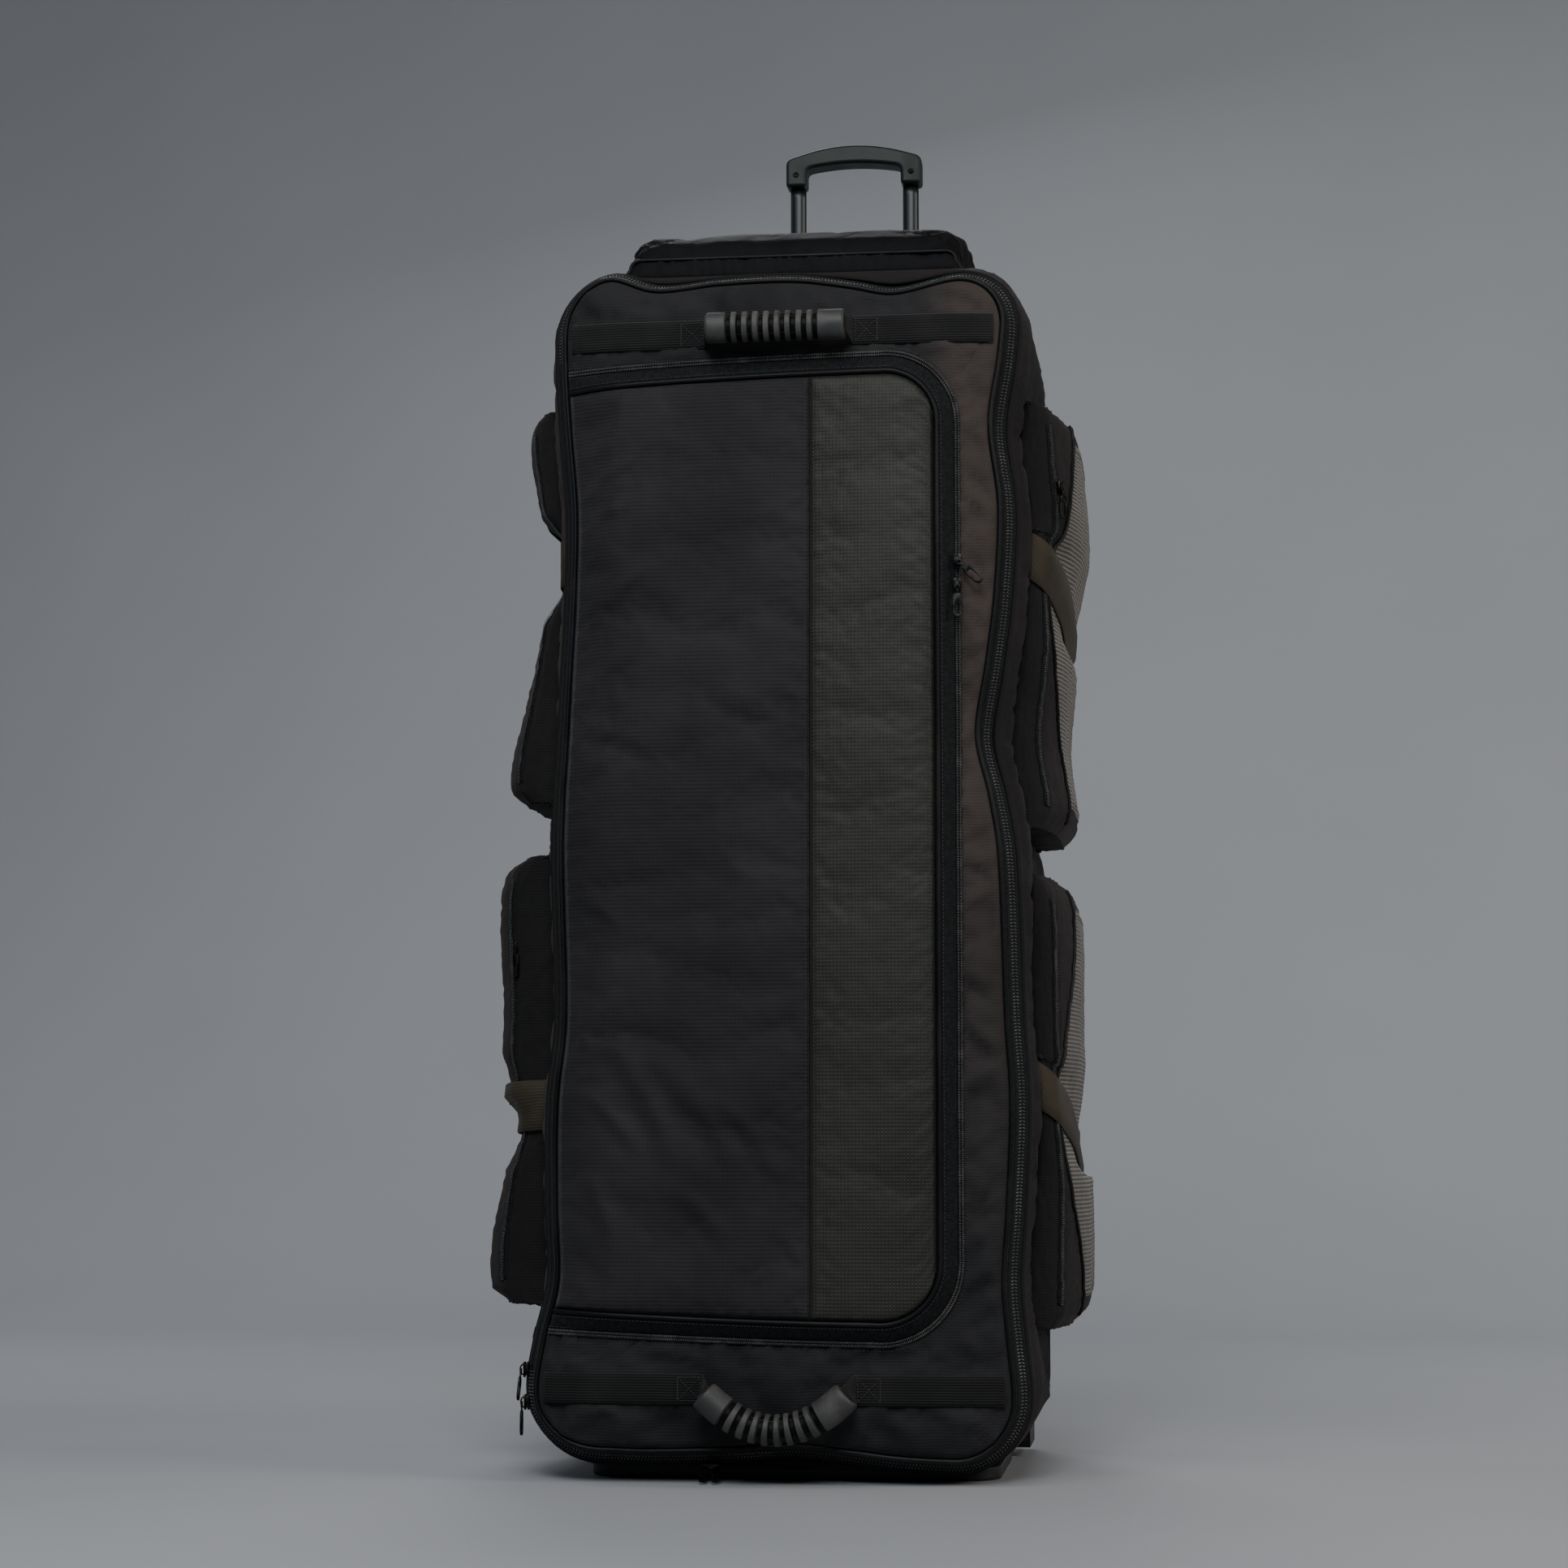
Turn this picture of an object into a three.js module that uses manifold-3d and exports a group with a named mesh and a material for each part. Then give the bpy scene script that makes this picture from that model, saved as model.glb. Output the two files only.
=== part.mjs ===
// A wheeled cricket kit bag, standing upright on its base plate, in millimetres.
// +Z is up, the front panel faces -Y, and the origin is the centre of the base plate's underside.
import * as THREE from 'three';
import { mergeVertices } from 'three/addons/utils/BufferGeometryUtils.js';
import Module from 'manifold-3d';

const wasm = await Module();
wasm.setup();

// Driving dimensions
const CLEAR = 0.3; // gap between pieces that touch
const CLOTH = 3; // padded cloth wall
const FRONT = { halfWidth: 180, bottom: 28, top: 977, corner: 42, y: -176, rim: 12, crown: 8, crownRun: 70 };
const TUB = { front: -145, back: 175, grow: 17, topRise: 8, follow: 0.7 };
const TAPE = { wall: 2.5, growFront: 2, growBack: 14 };
const TEETH = { width: 7, height: 3 };
const PIPING = { radius: 2.2 };
const HOOD = { front: -120, back: 108, halfWidth: 138, flare: 8, corner: 14 };
// Distances of the front pocket's flap from the front panel's edges
const FLAP_INSET = { left: 8, right: 56, top: 84, bottom: 102 };
const FLAP = {
  left: -FRONT.halfWidth + FLAP_INSET.left,
  right: FRONT.halfWidth - FLAP_INSET.right,
  top: FRONT.top - FLAP_INSET.top,
  bottom: FRONT.bottom + FLAP_INSET.bottom,
  cornerTop: 40,
  cornerBottom: 46,
  seam: 23,
};
const FLAP_WALL = 2.5;
const FLAP_LIFT = 9;
const SLIVER = 0.05; // edges shorter than this are dropped from a cut piece
const LOW_LIFT = 0.9; // gap under what lies on the curved front panel
const FLAP_EDGE = { piping: 2, tape: 11, teeth: 5, topSlope: 9, bottomSlope: 9 };
const WEBBING = { width: 24, thick: 2, topZ: 932, bottomZ: 76 };
const GRIP = { left: -63, right: 56, radius: 13, groove: 2.8, slots: 9, ribbedLeft: -46, ribbedRight: 34 };
const GRIP_GAP = 8; // finger gap between the front panel and a grab grip
const GRIP_SAG = 30; // how far the lower grab grip hangs
const POCKET = { front: -108, back: 112, wall: 2.5, panel: 1.2, strap: 2, strapWidth: 40, sunk: 9, zip: 0.8 };
const HANDLE = { x: 27, y: 140, spacing: 104, legBottom: 1147, up: 250, overlap: 60 };
const TUBE = { halfWide: 7.3, halfDeep: 5, wall: 2, slide: 0.4 };
const TROLLEY_GRIP = { width: 125, height: 38, bar: 16, leg: 19, depth: 24, arch: 11 };
const BEZEL = { halfLong: 74, halfDeep: 22, height: 16 };
const CHASSIS = { front: 95, back: 174, bottom: 8, top: 88, halfWidth: 182, wall: 4 };
const WHEEL = { radius: 40, width: 30, x: 146, y: 150, lift: 0.5, axle: 4, well: 6 };
const BASE = { halfWidth: 168, front: -122, back: 90, corner: 30 };
const FLAP_SLIDERS = { upper: 155, lower: 175, swing: -0.85 }; // distances below the flap's top
const PULL = { long: 24, wide: 7, thick: 1.8 };
const FOOT_SLIDER = { x: -61, long: 22, lean: 1.05, halfWide: 9, halfDeep: 5, thick: 3.5 };

const HEIGHT = FRONT.top - FRONT.bottom;

// Width of the bag at a height, as shares of the front panel's half width
const WAIST = [
  { v: 0.0, left: 1.06, right: 0.99 },
  { v: 0.05, left: 1.1, right: 1.0 },
  { v: 0.09, left: 1.07, right: 0.98 },
  { v: 0.14, left: 1.01, right: 0.96 },
  { v: 0.2, left: 1.02, right: 0.98 },
  { v: 0.29, left: 1.02, right: 1.0 },
  { v: 0.36, left: 0.985, right: 0.98 },
  { v: 0.5, left: 1.005, right: 0.955 },
  { v: 0.55, left: 1.0, right: 0.915 },
  { v: 0.6, left: 0.985, right: 0.86 },
  { v: 0.66, left: 0.97, right: 0.905 },
  { v: 0.72, left: 0.955, right: 0.945 },
  { v: 0.8, left: 0.95, right: 0.965 },
  { v: 0.87, left: 0.98, right: 0.925 },
  { v: 0.93, left: 1.0, right: 0.97 },
  { v: 1.0, left: 1.0, right: 1.0 },
];

// Dips of the front panel's top and bottom edges, across its width, as shares of DIP
const DIP = 14;
const EDGE_WAVE = [
  { u: -1.0, top: 0.3, bottom: -0.2 },
  { u: -0.8, top: 0.3, bottom: 0.1 },
  { u: -0.6, top: -0.5, bottom: 0.05 },
  { u: -0.3, top: -0.2, bottom: 0.15 },
  { u: 0.05, top: -0.15, bottom: 0.4 },
  { u: 0.3, top: -0.6, bottom: 0.1 },
  { u: 0.5, top: -1.05, bottom: -0.2 },
  { u: 0.75, top: -0.4, bottom: -0.35 },
  { u: 1.0, top: 0.0, bottom: -0.3 },
];

// Rings of the tub from its front rim to its back: how far along its depth, and how far it has swelled
const TUB_RINGS = [
  { depth: 0.0, swell: 0.8, rise: 0.0, wave: 0.8 },
  { depth: 0.07, swell: 1.0, rise: 0.1, wave: 0.0 },
  { depth: 0.12, swell: 1.0, rise: 0.2, wave: 0.0 },
  { depth: 0.62, swell: 1.0, rise: 1.0, wave: 0.0 },
  { depth: 0.93, swell: 1.0, rise: 1.0, wave: 0.0 },
  { depth: 0.98, swell: 0.6, rise: 1.0, wave: 0.0 },
  { depth: 1.0, swell: -0.1, rise: 1.0, wave: 0.0 },
];

// Top line of the hood from front to back, as shares of its depth and of its height
const HOOD_HEIGHT = 70;
const HOOD_LINE = [
  { depth: 0.0, height: 0.22 },
  { depth: 0.05, height: 0.48 },
  { depth: 0.13, height: 0.62 },
  { depth: 0.35, height: 0.78 },
  { depth: 0.53, height: 0.88 },
  { depth: 0.7, height: 0.97 },
  { depth: 0.88, height: 1.0 },
  { depth: 0.96, height: 0.88 },
  { depth: 1.0, height: 0.6 },
];

// The side pockets: where each lies, how far it stands out, and how hard its strap pulls it in
const SIDE_POCKETS = [
  {
    name: 'left_upper', side: -1, bottom: 556, top: 886, low: 60, high: 42,
    strapAt: 0.6, pinch: 0.72, slant: 8, slider: false,
  },
  {
    name: 'left_lower', side: -1, bottom: 140, top: 508, low: 62, high: 56,
    strapAt: 0.43, pinch: 0.2, slant: 8, slider: true,
  },
  {
    name: 'right_upper', side: 1, bottom: 530, top: 884, low: 46, high: 52,
    strapAt: 0.56, pinch: 0.32, slant: 60, slider: true,
  },
  {
    name: 'right_lower', side: 1, bottom: 122, top: 488, low: 48, high: 40,
    strapAt: 0.46, pinch: 0.3, slant: 60, slider: false,
  },
];

// Plan of a side pocket, front to back: share of how far it stands out, share of its depth
const POCKET_PLAN = [
  { out: 0.0, depth: 0.0 },
  { out: 0.3, depth: 0.0 },
  { out: 0.5, depth: 0.02 },
  { out: 0.64, depth: 0.07 },
  { out: 0.88, depth: 0.25 },
  { out: 1.0, depth: 0.48 },
  { out: 1.0, depth: 0.88 },
  { out: 0.8, depth: 0.97 },
  { out: 0.0, depth: 1.0 },
];
const PANEL_FROM = 3;
const PANEL_TO = 6;
const SLIDER_LEVEL = 0.8;
const ZIP_GAP = 0.9; // gap under a side pocket's zip, which crosses its folds
const ZIP_REACH = 0.85; // share of the way from the pocket's front seam to the outer panel
const STRAP_SLANT = [0, 0.1, 0.2, 0.3, 0.55, 0.85, 1, 1, 1];

// Levels of a side pocket's shape: share of its height, and how full it is there
const POCKET_LEVELS = [
  { v: 0.0, full: 0.62 },
  { v: 0.03, full: 0.88 },
  { v: 0.12, full: 1.0 },
  { v: 0.22, full: 0.98 },
  { v: 0.34, full: 0.94 },
  { v: 0.66, full: 0.94 },
  { v: 0.8, full: 0.98 },
  { v: 0.92, full: 0.97 },
  { v: 0.98, full: 0.84 },
  { v: 1.0, full: 0.6 },
];

const COLOURS = {
  shell: { color: 0x26262a, roughness: 0.75, metalness: 0 },
  olive: { color: 0x34372f, roughness: 0.6, metalness: 0 },
  tape: { color: 0x1e2022, roughness: 0.85, metalness: 0 },
  teeth: { color: 0x2b2d2f, roughness: 0.45, metalness: 0 },
  piping: { color: 0x232427, roughness: 0.5, metalness: 0 },
  webbing: { color: 0x2c2f2c, roughness: 0.9, metalness: 0 },
  strap: { color: 0x3a362c, roughness: 0.8, metalness: 0 },
  ribbed: { color: 0x77746c, roughness: 0.8, metalness: 0 },
  rubber: { color: 0x4a4c4c, roughness: 0.6, metalness: 0 },
  handle: { color: 0x3c4441, roughness: 0.5, metalness: 0 },
  tube: { color: 0x4b524f, roughness: 0.4, metalness: 0.7 },
  plastic: { color: 0x18191b, roughness: 0.5, metalness: 0 },
  metal: { color: 0x8c8b88, roughness: 0.3, metalness: 1 },
  tyre: { color: 0x1b1b1b, roughness: 0.8, metalness: 0 },
};

const bag = new THREE.Group();
export default bag;

// Value of one column of a table at a place between its rows, on a smooth curve through them
function readTable(rows, key, column, at) {
  let i = 0;
  while (i < rows.length - 2 && at > rows[i + 1][key]) i += 1;
  const slope = (a, b) => (rows[b][column] - rows[a][column]) / (rows[b][key] - rows[a][key]);
  const span = rows[i + 1][key] - rows[i][key];
  const t = Math.min(1, Math.max(0, (at - rows[i][key]) / span));
  const slopeIn = slope(Math.max(0, i - 1), i + 1) * span;
  const slopeOut = slope(i, Math.min(rows.length - 1, i + 2)) * span;
  const start = rows[i][column] * (2 * t ** 3 - 3 * t ** 2 + 1) + slopeIn * (t ** 3 - 2 * t ** 2 + t);
  const end = rows[i + 1][column] * (3 * t ** 2 - 2 * t ** 3) + slopeOut * (t ** 3 - t ** 2);
  return start + end;
}

// Closed indexed geometry whose faces point outwards
function closedGeometry(points, faces) {
  let volume = 0;
  for (const [a, b, c] of faces) {
    const [p, q, r] = [points[a], points[b], points[c]];
    volume += p[0] * (q[1] * r[2] - q[2] * r[1]) - p[1] * (q[0] * r[2] - q[2] * r[0]);
    volume += p[2] * (q[0] * r[1] - q[1] * r[0]);
  }
  const index = faces.flatMap(([a, b, c]) => (volume < 0 ? [a, c, b] : [a, b, c]));
  const geometry = new THREE.BufferGeometry();
  geometry.setAttribute('position', new THREE.Float32BufferAttribute(points.flat(), 3));
  geometry.setIndex(index);
  return geometry;
}

// Solid through rings of points, closed at both ends, or end to end where it goes all round
function loft(rings, joined = false) {
  const count = rings[0].length;
  const points = rings.flat();
  const faces = [];
  const spans = joined ? rings.length : rings.length - 1;
  for (let r = 0; r < spans; r += 1) {
    const near = r * count;
    const far = ((r + 1) % rings.length) * count;
    for (let i = 0; i < count; i += 1) {
      const next = (i + 1) % count;
      faces.push([near + i, near + next, far + next], [near + i, far + next, far + i]);
    }
  }
  if (!joined) {
    [0, rings.length - 1].forEach((r) => {
      const centre = [0, 1, 2].map((k) => rings[r].reduce((sum, p) => sum + p[k], 0) / count);
      points.push(centre);
      for (let i = 0; i < count; i += 1) {
        const [a, b] = [r * count + i, r * count + ((i + 1) % count)];
        faces.push(r === 0 ? [b, a, points.length - 1] : [a, b, points.length - 1]);
      }
    });
  }
  return closedGeometry(points, faces);
}

// Slab between two grids of points: over is its outer skin, under its inner one
function slab(over, under) {
  const rows = over.length;
  const wide = over[0].length;
  const faces = [];
  const top = (r, k) => r * wide + k;
  const base = (r, k) => (rows + r) * wide + k;
  const quad = (a, b, c, d) => faces.push([a, b, c], [a, c, d]);
  for (let r = 0; r < rows - 1; r += 1) {
    for (let k = 0; k < wide - 1; k += 1) {
      quad(top(r, k), top(r, k + 1), top(r + 1, k + 1), top(r + 1, k));
      faces.push([base(r, k), base(r + 1, k + 1), base(r, k + 1)]);
      faces.push([base(r, k), base(r + 1, k), base(r + 1, k + 1)]);
    }
    quad(top(r, 0), top(r + 1, 0), base(r + 1, 0), base(r, 0));
    quad(top(r + 1, wide - 1), top(r, wide - 1), base(r, wide - 1), base(r + 1, wide - 1));
  }
  for (let k = 0; k < wide - 1; k += 1) {
    quad(top(0, k + 1), top(0, k), base(0, k), base(0, k + 1));
    quad(top(rows - 1, k), top(rows - 1, k + 1), base(rows - 1, k + 1), base(rows - 1, k));
  }
  return closedGeometry([...over.flat(), ...under.flat()], faces);
}

function toSolid(geometry) {
  const plain = geometry.clone();
  plain.deleteAttribute('normal');
  plain.deleteAttribute('uv');
  const merged = mergeVertices(plain, 1e-4);
  const vertProperties = new Float32Array(merged.attributes.position.array);
  const triVerts = new Uint32Array(merged.index.array);
  return new wasm.Manifold(new wasm.Mesh({ numProp: 3, vertProperties, triVerts }));
}

function fromSolid(solid) {
  const mesh = solid.getMesh();
  const geometry = new THREE.BufferGeometry();
  geometry.setAttribute('position', new THREE.Float32BufferAttribute(mesh.vertProperties, 3));
  geometry.setIndex(Array.from(mesh.triVerts));
  return geometry;
}

function addMesh(name, geometry, finish) {
  const mesh = new THREE.Mesh(geometry, new THREE.MeshStandardMaterial(COLOURS[finish]));
  mesh.name = name;
  bag.add(mesh);
  return mesh;
}

// Box solid from its two corners
function boxSolid(low, high) {
  const size = high.map((value, k) => value - low[k]);
  const geometry = new THREE.BoxGeometry(...size);
  geometry.translate(...low.map((value, k) => value + size[k] / 2));
  return toSolid(geometry);
}

// Rod along X or Z, with an oval section where its two half sizes differ
function rod(along, half, from, to, sides, place) {
  const geometry = new THREE.CylinderGeometry(1, 1, to - from, sides);
  geometry.scale(half[0], 1, half[1]);
  if (along === 'z') geometry.rotateX(Math.PI / 2);
  if (along === 'x') geometry.rotateZ(Math.PI / 2);
  const middle = (from + to) / 2;
  if (along === 'z') geometry.translate(place[0], place[1], middle);
  else geometry.translate(middle, place[0], place[1]);
  return geometry;
}

// Plain rounded rectangle of the bag seen from the front, grown outwards, with shares of where each point is
const CORNER_STEPS = 3;
const SIDE_STEPS = 10;
const END_STEPS = 6;
function plainOutline(grow) {
  const half = FRONT.halfWidth + grow;
  const low = FRONT.bottom - grow;
  const high = FRONT.top + grow;
  const radius = Math.max(FRONT.corner + grow, 3);
  const points = [];
  const addLine = (from, to, steps) => {
    for (let i = 1; i < steps; i += 1) {
      points.push([from[0] + ((to[0] - from[0]) * i) / steps, from[1] + ((to[1] - from[1]) * i) / steps]);
    }
  };
  const addArc = (x, z, start) => {
    for (let i = 0; i <= CORNER_STEPS; i += 1) {
      const angle = start + (Math.PI / 2) * (i / CORNER_STEPS);
      points.push([x + radius * Math.cos(angle), z + radius * Math.sin(angle)]);
    }
  };
  addArc(-half + radius, low + radius, Math.PI);
  addLine([-half + radius, low], [half - radius, low], END_STEPS);
  addArc(half - radius, low + radius, -Math.PI / 2);
  addLine([half, low + radius], [half, high - radius], SIDE_STEPS);
  addArc(half - radius, high - radius, 0);
  addLine([half - radius, high], [-half + radius, high], END_STEPS);
  addArc(-half + radius, high - radius, Math.PI / 2);
  addLine([-half, high - radius], [-half, low + radius], SIDE_STEPS);
  return points;
}

// Share by which the bag is drawn in or pushed out at a height
function waistShare(z, left, follow) {
  const v = Math.min(1, Math.max(0, (z - FRONT.bottom) / HEIGHT));
  return 1 + (readTable(WAIST, 'v', left ? 'left' : 'right', v) - 1) * follow;
}

// Ring of the bag at a depth, with its waist and with the waves of its two ends
function bagRing({ y, grow, follow = 1, wave = 1, rise = 0 }) {
  return plainOutline(grow).map(([x, z]) => {
    const v = Math.min(1, Math.max(0, (z - FRONT.bottom) / HEIGHT));
    const u = Math.min(1, Math.max(-1, x / FRONT.halfWidth));
    const topWave = readTable(EDGE_WAVE, 'u', 'top', u) * v ** 6;
    const bottomWave = readTable(EDGE_WAVE, 'u', 'bottom', u) * (1 - v) ** 6;
    const lift = DIP * wave * (topWave + bottomWave) + rise * v ** 6;
    return [x * waistShare(z, x < 0, follow), y, z + lift];
  });
}

// Depth of the front panel's outer face at an inset from its edge
function crownAt(inset) {
  const run = Math.min(1, Math.max(0, inset / FRONT.crownRun));
  return FRONT.y - FRONT.crown * (1 - (1 - run) ** 2);
}

// Depth of the front panel's outer face at a place
function panelFace(x, z) {
  const plainX = Math.abs(x) / waistShare(z, x < 0, 1);
  const inset = Math.min(FRONT.halfWidth - plainX, z - FRONT.bottom, FRONT.top - z);
  return crownAt(inset);
}

// The tub: a swelled shell, open to the front, stepped over the wheels and pierced for the handle
const tubDepth = TUB.back - TUB.front;
const tubRing = (row, shrink, y) => bagRing({
  y,
  grow: TUB.grow * row.swell - shrink,
  follow: TUB.follow + (1 - TUB.follow) * row.wave,
  wave: row.wave,
  rise: TUB.topRise * row.rise,
});
const tubOuterRings = TUB_RINGS.map((row) => tubRing(row, 0, TUB.front + tubDepth * row.depth));
const tubInnerRings = TUB_RINGS.map((row) => {
  const y = Math.min(TUB.front + tubDepth * row.depth, TUB.back - CLOTH);
  return tubRing(row, CLOTH, y);
});
tubInnerRings.unshift(tubRing(TUB_RINGS[0], CLOTH, TUB.front - 5));
const tubTop = FRONT.top + TUB.grow + TUB.topRise;
const tubBottom = FRONT.bottom - TUB.grow;
const wide = FRONT.halfWidth * 2;
const stepOuter = boxSolid([-wide, CHASSIS.front, -wide], [wide, TUB.back + wide, CHASSIS.top]);
const stepInner = boxSolid(
  [-wide, CHASSIS.front - CLOTH, -wide],
  [wide, TUB.back + wide, CHASSIS.top + CLOTH],
);
const tubeX = [-1, 1].map((side) => HANDLE.x + (side * HANDLE.spacing) / 2);
const guideHalf = [TUBE.halfWide + TUBE.slide + TUBE.wall, TUBE.halfDeep + TUBE.slide + TUBE.wall];
const holeHalf = guideHalf.map((half) => half + CLEAR);
let tub = toSolid(loft(tubOuterRings)).subtract(stepOuter);
tub = tub.subtract(toSolid(loft(tubInnerRings)).subtract(stepInner));
for (const x of tubeX) {
  tub = tub.subtract(toSolid(rod('z', holeHalf, tubTop - 30, tubTop + 30, 16, [x, HANDLE.y])));
}
addMesh('rear_tub', fromSolid(tub), 'shell');

// The front panel: a shallow tray whose face is crowned
const rimY = FRONT.y + FRONT.rim;
const panelInsets = [14, 34, FRONT.crownRun];
const panelOuter = [
  bagRing({ y: rimY, grow: 1 }),
  bagRing({ y: FRONT.y + 3, grow: 0 }),
  bagRing({ y: FRONT.y, grow: -3 }),
  ...panelInsets.map((inset) => bagRing({ y: crownAt(inset), grow: -inset })),
];
const panelInner = [
  bagRing({ y: rimY + 5, grow: 1 - CLOTH }),
  bagRing({ y: rimY, grow: 1 - CLOTH }),
  bagRing({ y: FRONT.y + 3 + CLOTH, grow: -CLOTH }),
  bagRing({ y: FRONT.y + CLOTH, grow: -3 - CLOTH }),
  ...panelInsets.map((inset) => bagRing({ y: crownAt(inset) + CLOTH, grow: -inset - 1 })),
];
addMesh('front_panel', fromSolid(toSolid(loft(panelOuter)).subtract(toSolid(loft(panelInner)))), 'shell');

// The main zip: a slanting tape all round, and teeth on it round all but the hinge side
const tapeFront = rimY + CLEAR;
const tapeBack = TUB.front - CLEAR;
const tapeGrow = (y) => {
  const share = (y - tapeFront) / (tapeBack - tapeFront);
  return TAPE.growFront + (TAPE.growBack - TAPE.growFront) * share;
};
const tapeRing = (y, lift) => bagRing({ y, grow: tapeGrow(y) + lift });
addMesh('main_zip_tape', loft([
  tapeRing(tapeFront, -TAPE.wall),
  tapeRing(tapeFront, 0),
  tapeRing(tapeBack, 0),
  tapeRing(tapeBack, -TAPE.wall),
], true), 'tape');
const teethMiddle = (tapeFront + tapeBack) / 2 + 1;
const teethFront = teethMiddle - TEETH.width / 2;
const teethBack = teethMiddle + TEETH.width / 2;
const teethRings = [
  tapeRing(teethFront, 2 * CLEAR),
  tapeRing(teethFront, 2 * CLEAR + TEETH.height),
  tapeRing(teethBack, 2 * CLEAR + TEETH.height),
  tapeRing(teethBack, 2 * CLEAR),
];
const outlineCount = teethRings[0].length;
const hingeSkip = 1; // outline points of the hinge side that carry teeth at each of its ends
const teethCount = outlineCount - (SIDE_STEPS - 1) + 2 * hingeSkip;
const teethSections = [];
for (let i = 0; i < teethCount; i += 1) {
  const at = (i + outlineCount - hingeSkip) % outlineCount;
  teethSections.push(teethRings.map((ring) => ring[at]));
}
addMesh('main_zip_teeth', loft(teethSections), 'teeth');

// Piping: a cord in the seam round the front edge and round the back edge
const PIPING_SIDES = 5;
function pipingRings(y, grow, follow, rise, wave) {
  const rings = [];
  for (let i = 0; i < PIPING_SIDES; i += 1) {
    const angle = (Math.PI * 2 * i) / PIPING_SIDES;
    rings.push(bagRing({
      y: y + PIPING.radius * Math.sin(angle),
      grow: grow + PIPING.radius * Math.cos(angle),
      follow,
      rise,
      wave,
    }));
  }
  return rings;
}
const pipingOut = PIPING.radius + 2 * CLEAR;
addMesh('front_piping', loft(pipingRings(FRONT.y + 2, pipingOut, 1, 0, 1), true), 'piping');
const rearRow = TUB_RINGS[TUB_RINGS.length - 1];
const rearGrow = TUB.grow * rearRow.swell;
const rearFollow = TUB.follow + (1 - TUB.follow) * rearRow.wave;
const rearPiping = toSolid(loft(
  pipingRings(TUB.back + PIPING.radius + CLEAR, rearGrow + 1, rearFollow, TUB.topRise, 0),
  true,
));
const overWheels = boxSolid([-wide, TUB.front, -wide], [wide, TUB.back + wide, CHASSIS.top + CLEAR]);
addMesh('rear_piping', fromSolid(rearPiping.subtract(overWheels)), 'piping');

// The hood: a padded cap that stands on the tub's top end
const hoodDepth = HOOD.back - HOOD.front;
const SWELL_REACH = 0.05; // the hood clears the tub's highest ring this near to it, as a share of its depth
const tubTopAt = (y) => {
  const depth = (y - TUB.front) / tubDepth;
  const near = [depth - SWELL_REACH, depth, depth + SWELL_REACH];
  const swell = Math.max(...near.map((d) => lineTable(TUB_RINGS, 'depth', 'swell', d)));
  const rise = lineTable(TUB_RINGS, 'depth', 'rise', depth);
  return FRONT.top + TUB.grow * swell + TUB.topRise * rise;
};
function lineTable(rows, key, column, at) {
  let i = 0;
  while (i < rows.length - 2 && at > rows[i + 1][key]) i += 1;
  const t = Math.min(1, Math.max(0, (at - rows[i][key]) / (rows[i + 1][key] - rows[i][key])));
  return rows[i][column] + (rows[i + 1][column] - rows[i][column]) * t;
}
// Arch of the hood at a depth: up the left side, over the top and down the right
function hoodArch(y, floor, height, shrink) {
  const radius = Math.min(HOOD.corner, height * 0.45);
  const half = HOOD.halfWidth - shrink;
  const top = floor + height - shrink;
  const points = [[-half - HOOD.flare, y, floor - (shrink > 0 ? 5 : 0)]];
  for (const side of [-1, 1]) {
    for (let i = 0; i <= 3; i += 1) {
      const angle = (Math.PI / 2) * (side < 0 ? 1 - i / 3 : i / 3);
      const x = side * (half - radius + radius * Math.sin(angle));
      points.push([x, y, top - radius + radius * Math.cos(angle)]);
    }
    if (side < 0) points.push([0, y, top]);
  }
  points.push([half + HOOD.flare, y, floor - (shrink > 0 ? 5 : 0)]);
  return points;
}
const hoodArches = (shrink) => HOOD_LINE.map((row) => {
  const y = HOOD.front + hoodDepth * row.depth;
  const inside = Math.min(HOOD.back - shrink, Math.max(HOOD.front + shrink, y));
  return hoodArch(inside, tubTopAt(inside) + CLEAR, HOOD_HEIGHT * row.height, shrink);
});
const hood = toSolid(loft(hoodArches(0))).subtract(toSolid(loft(hoodArches(CLOTH))));
addMesh('hood', fromSolid(hood), 'shell');

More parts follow.
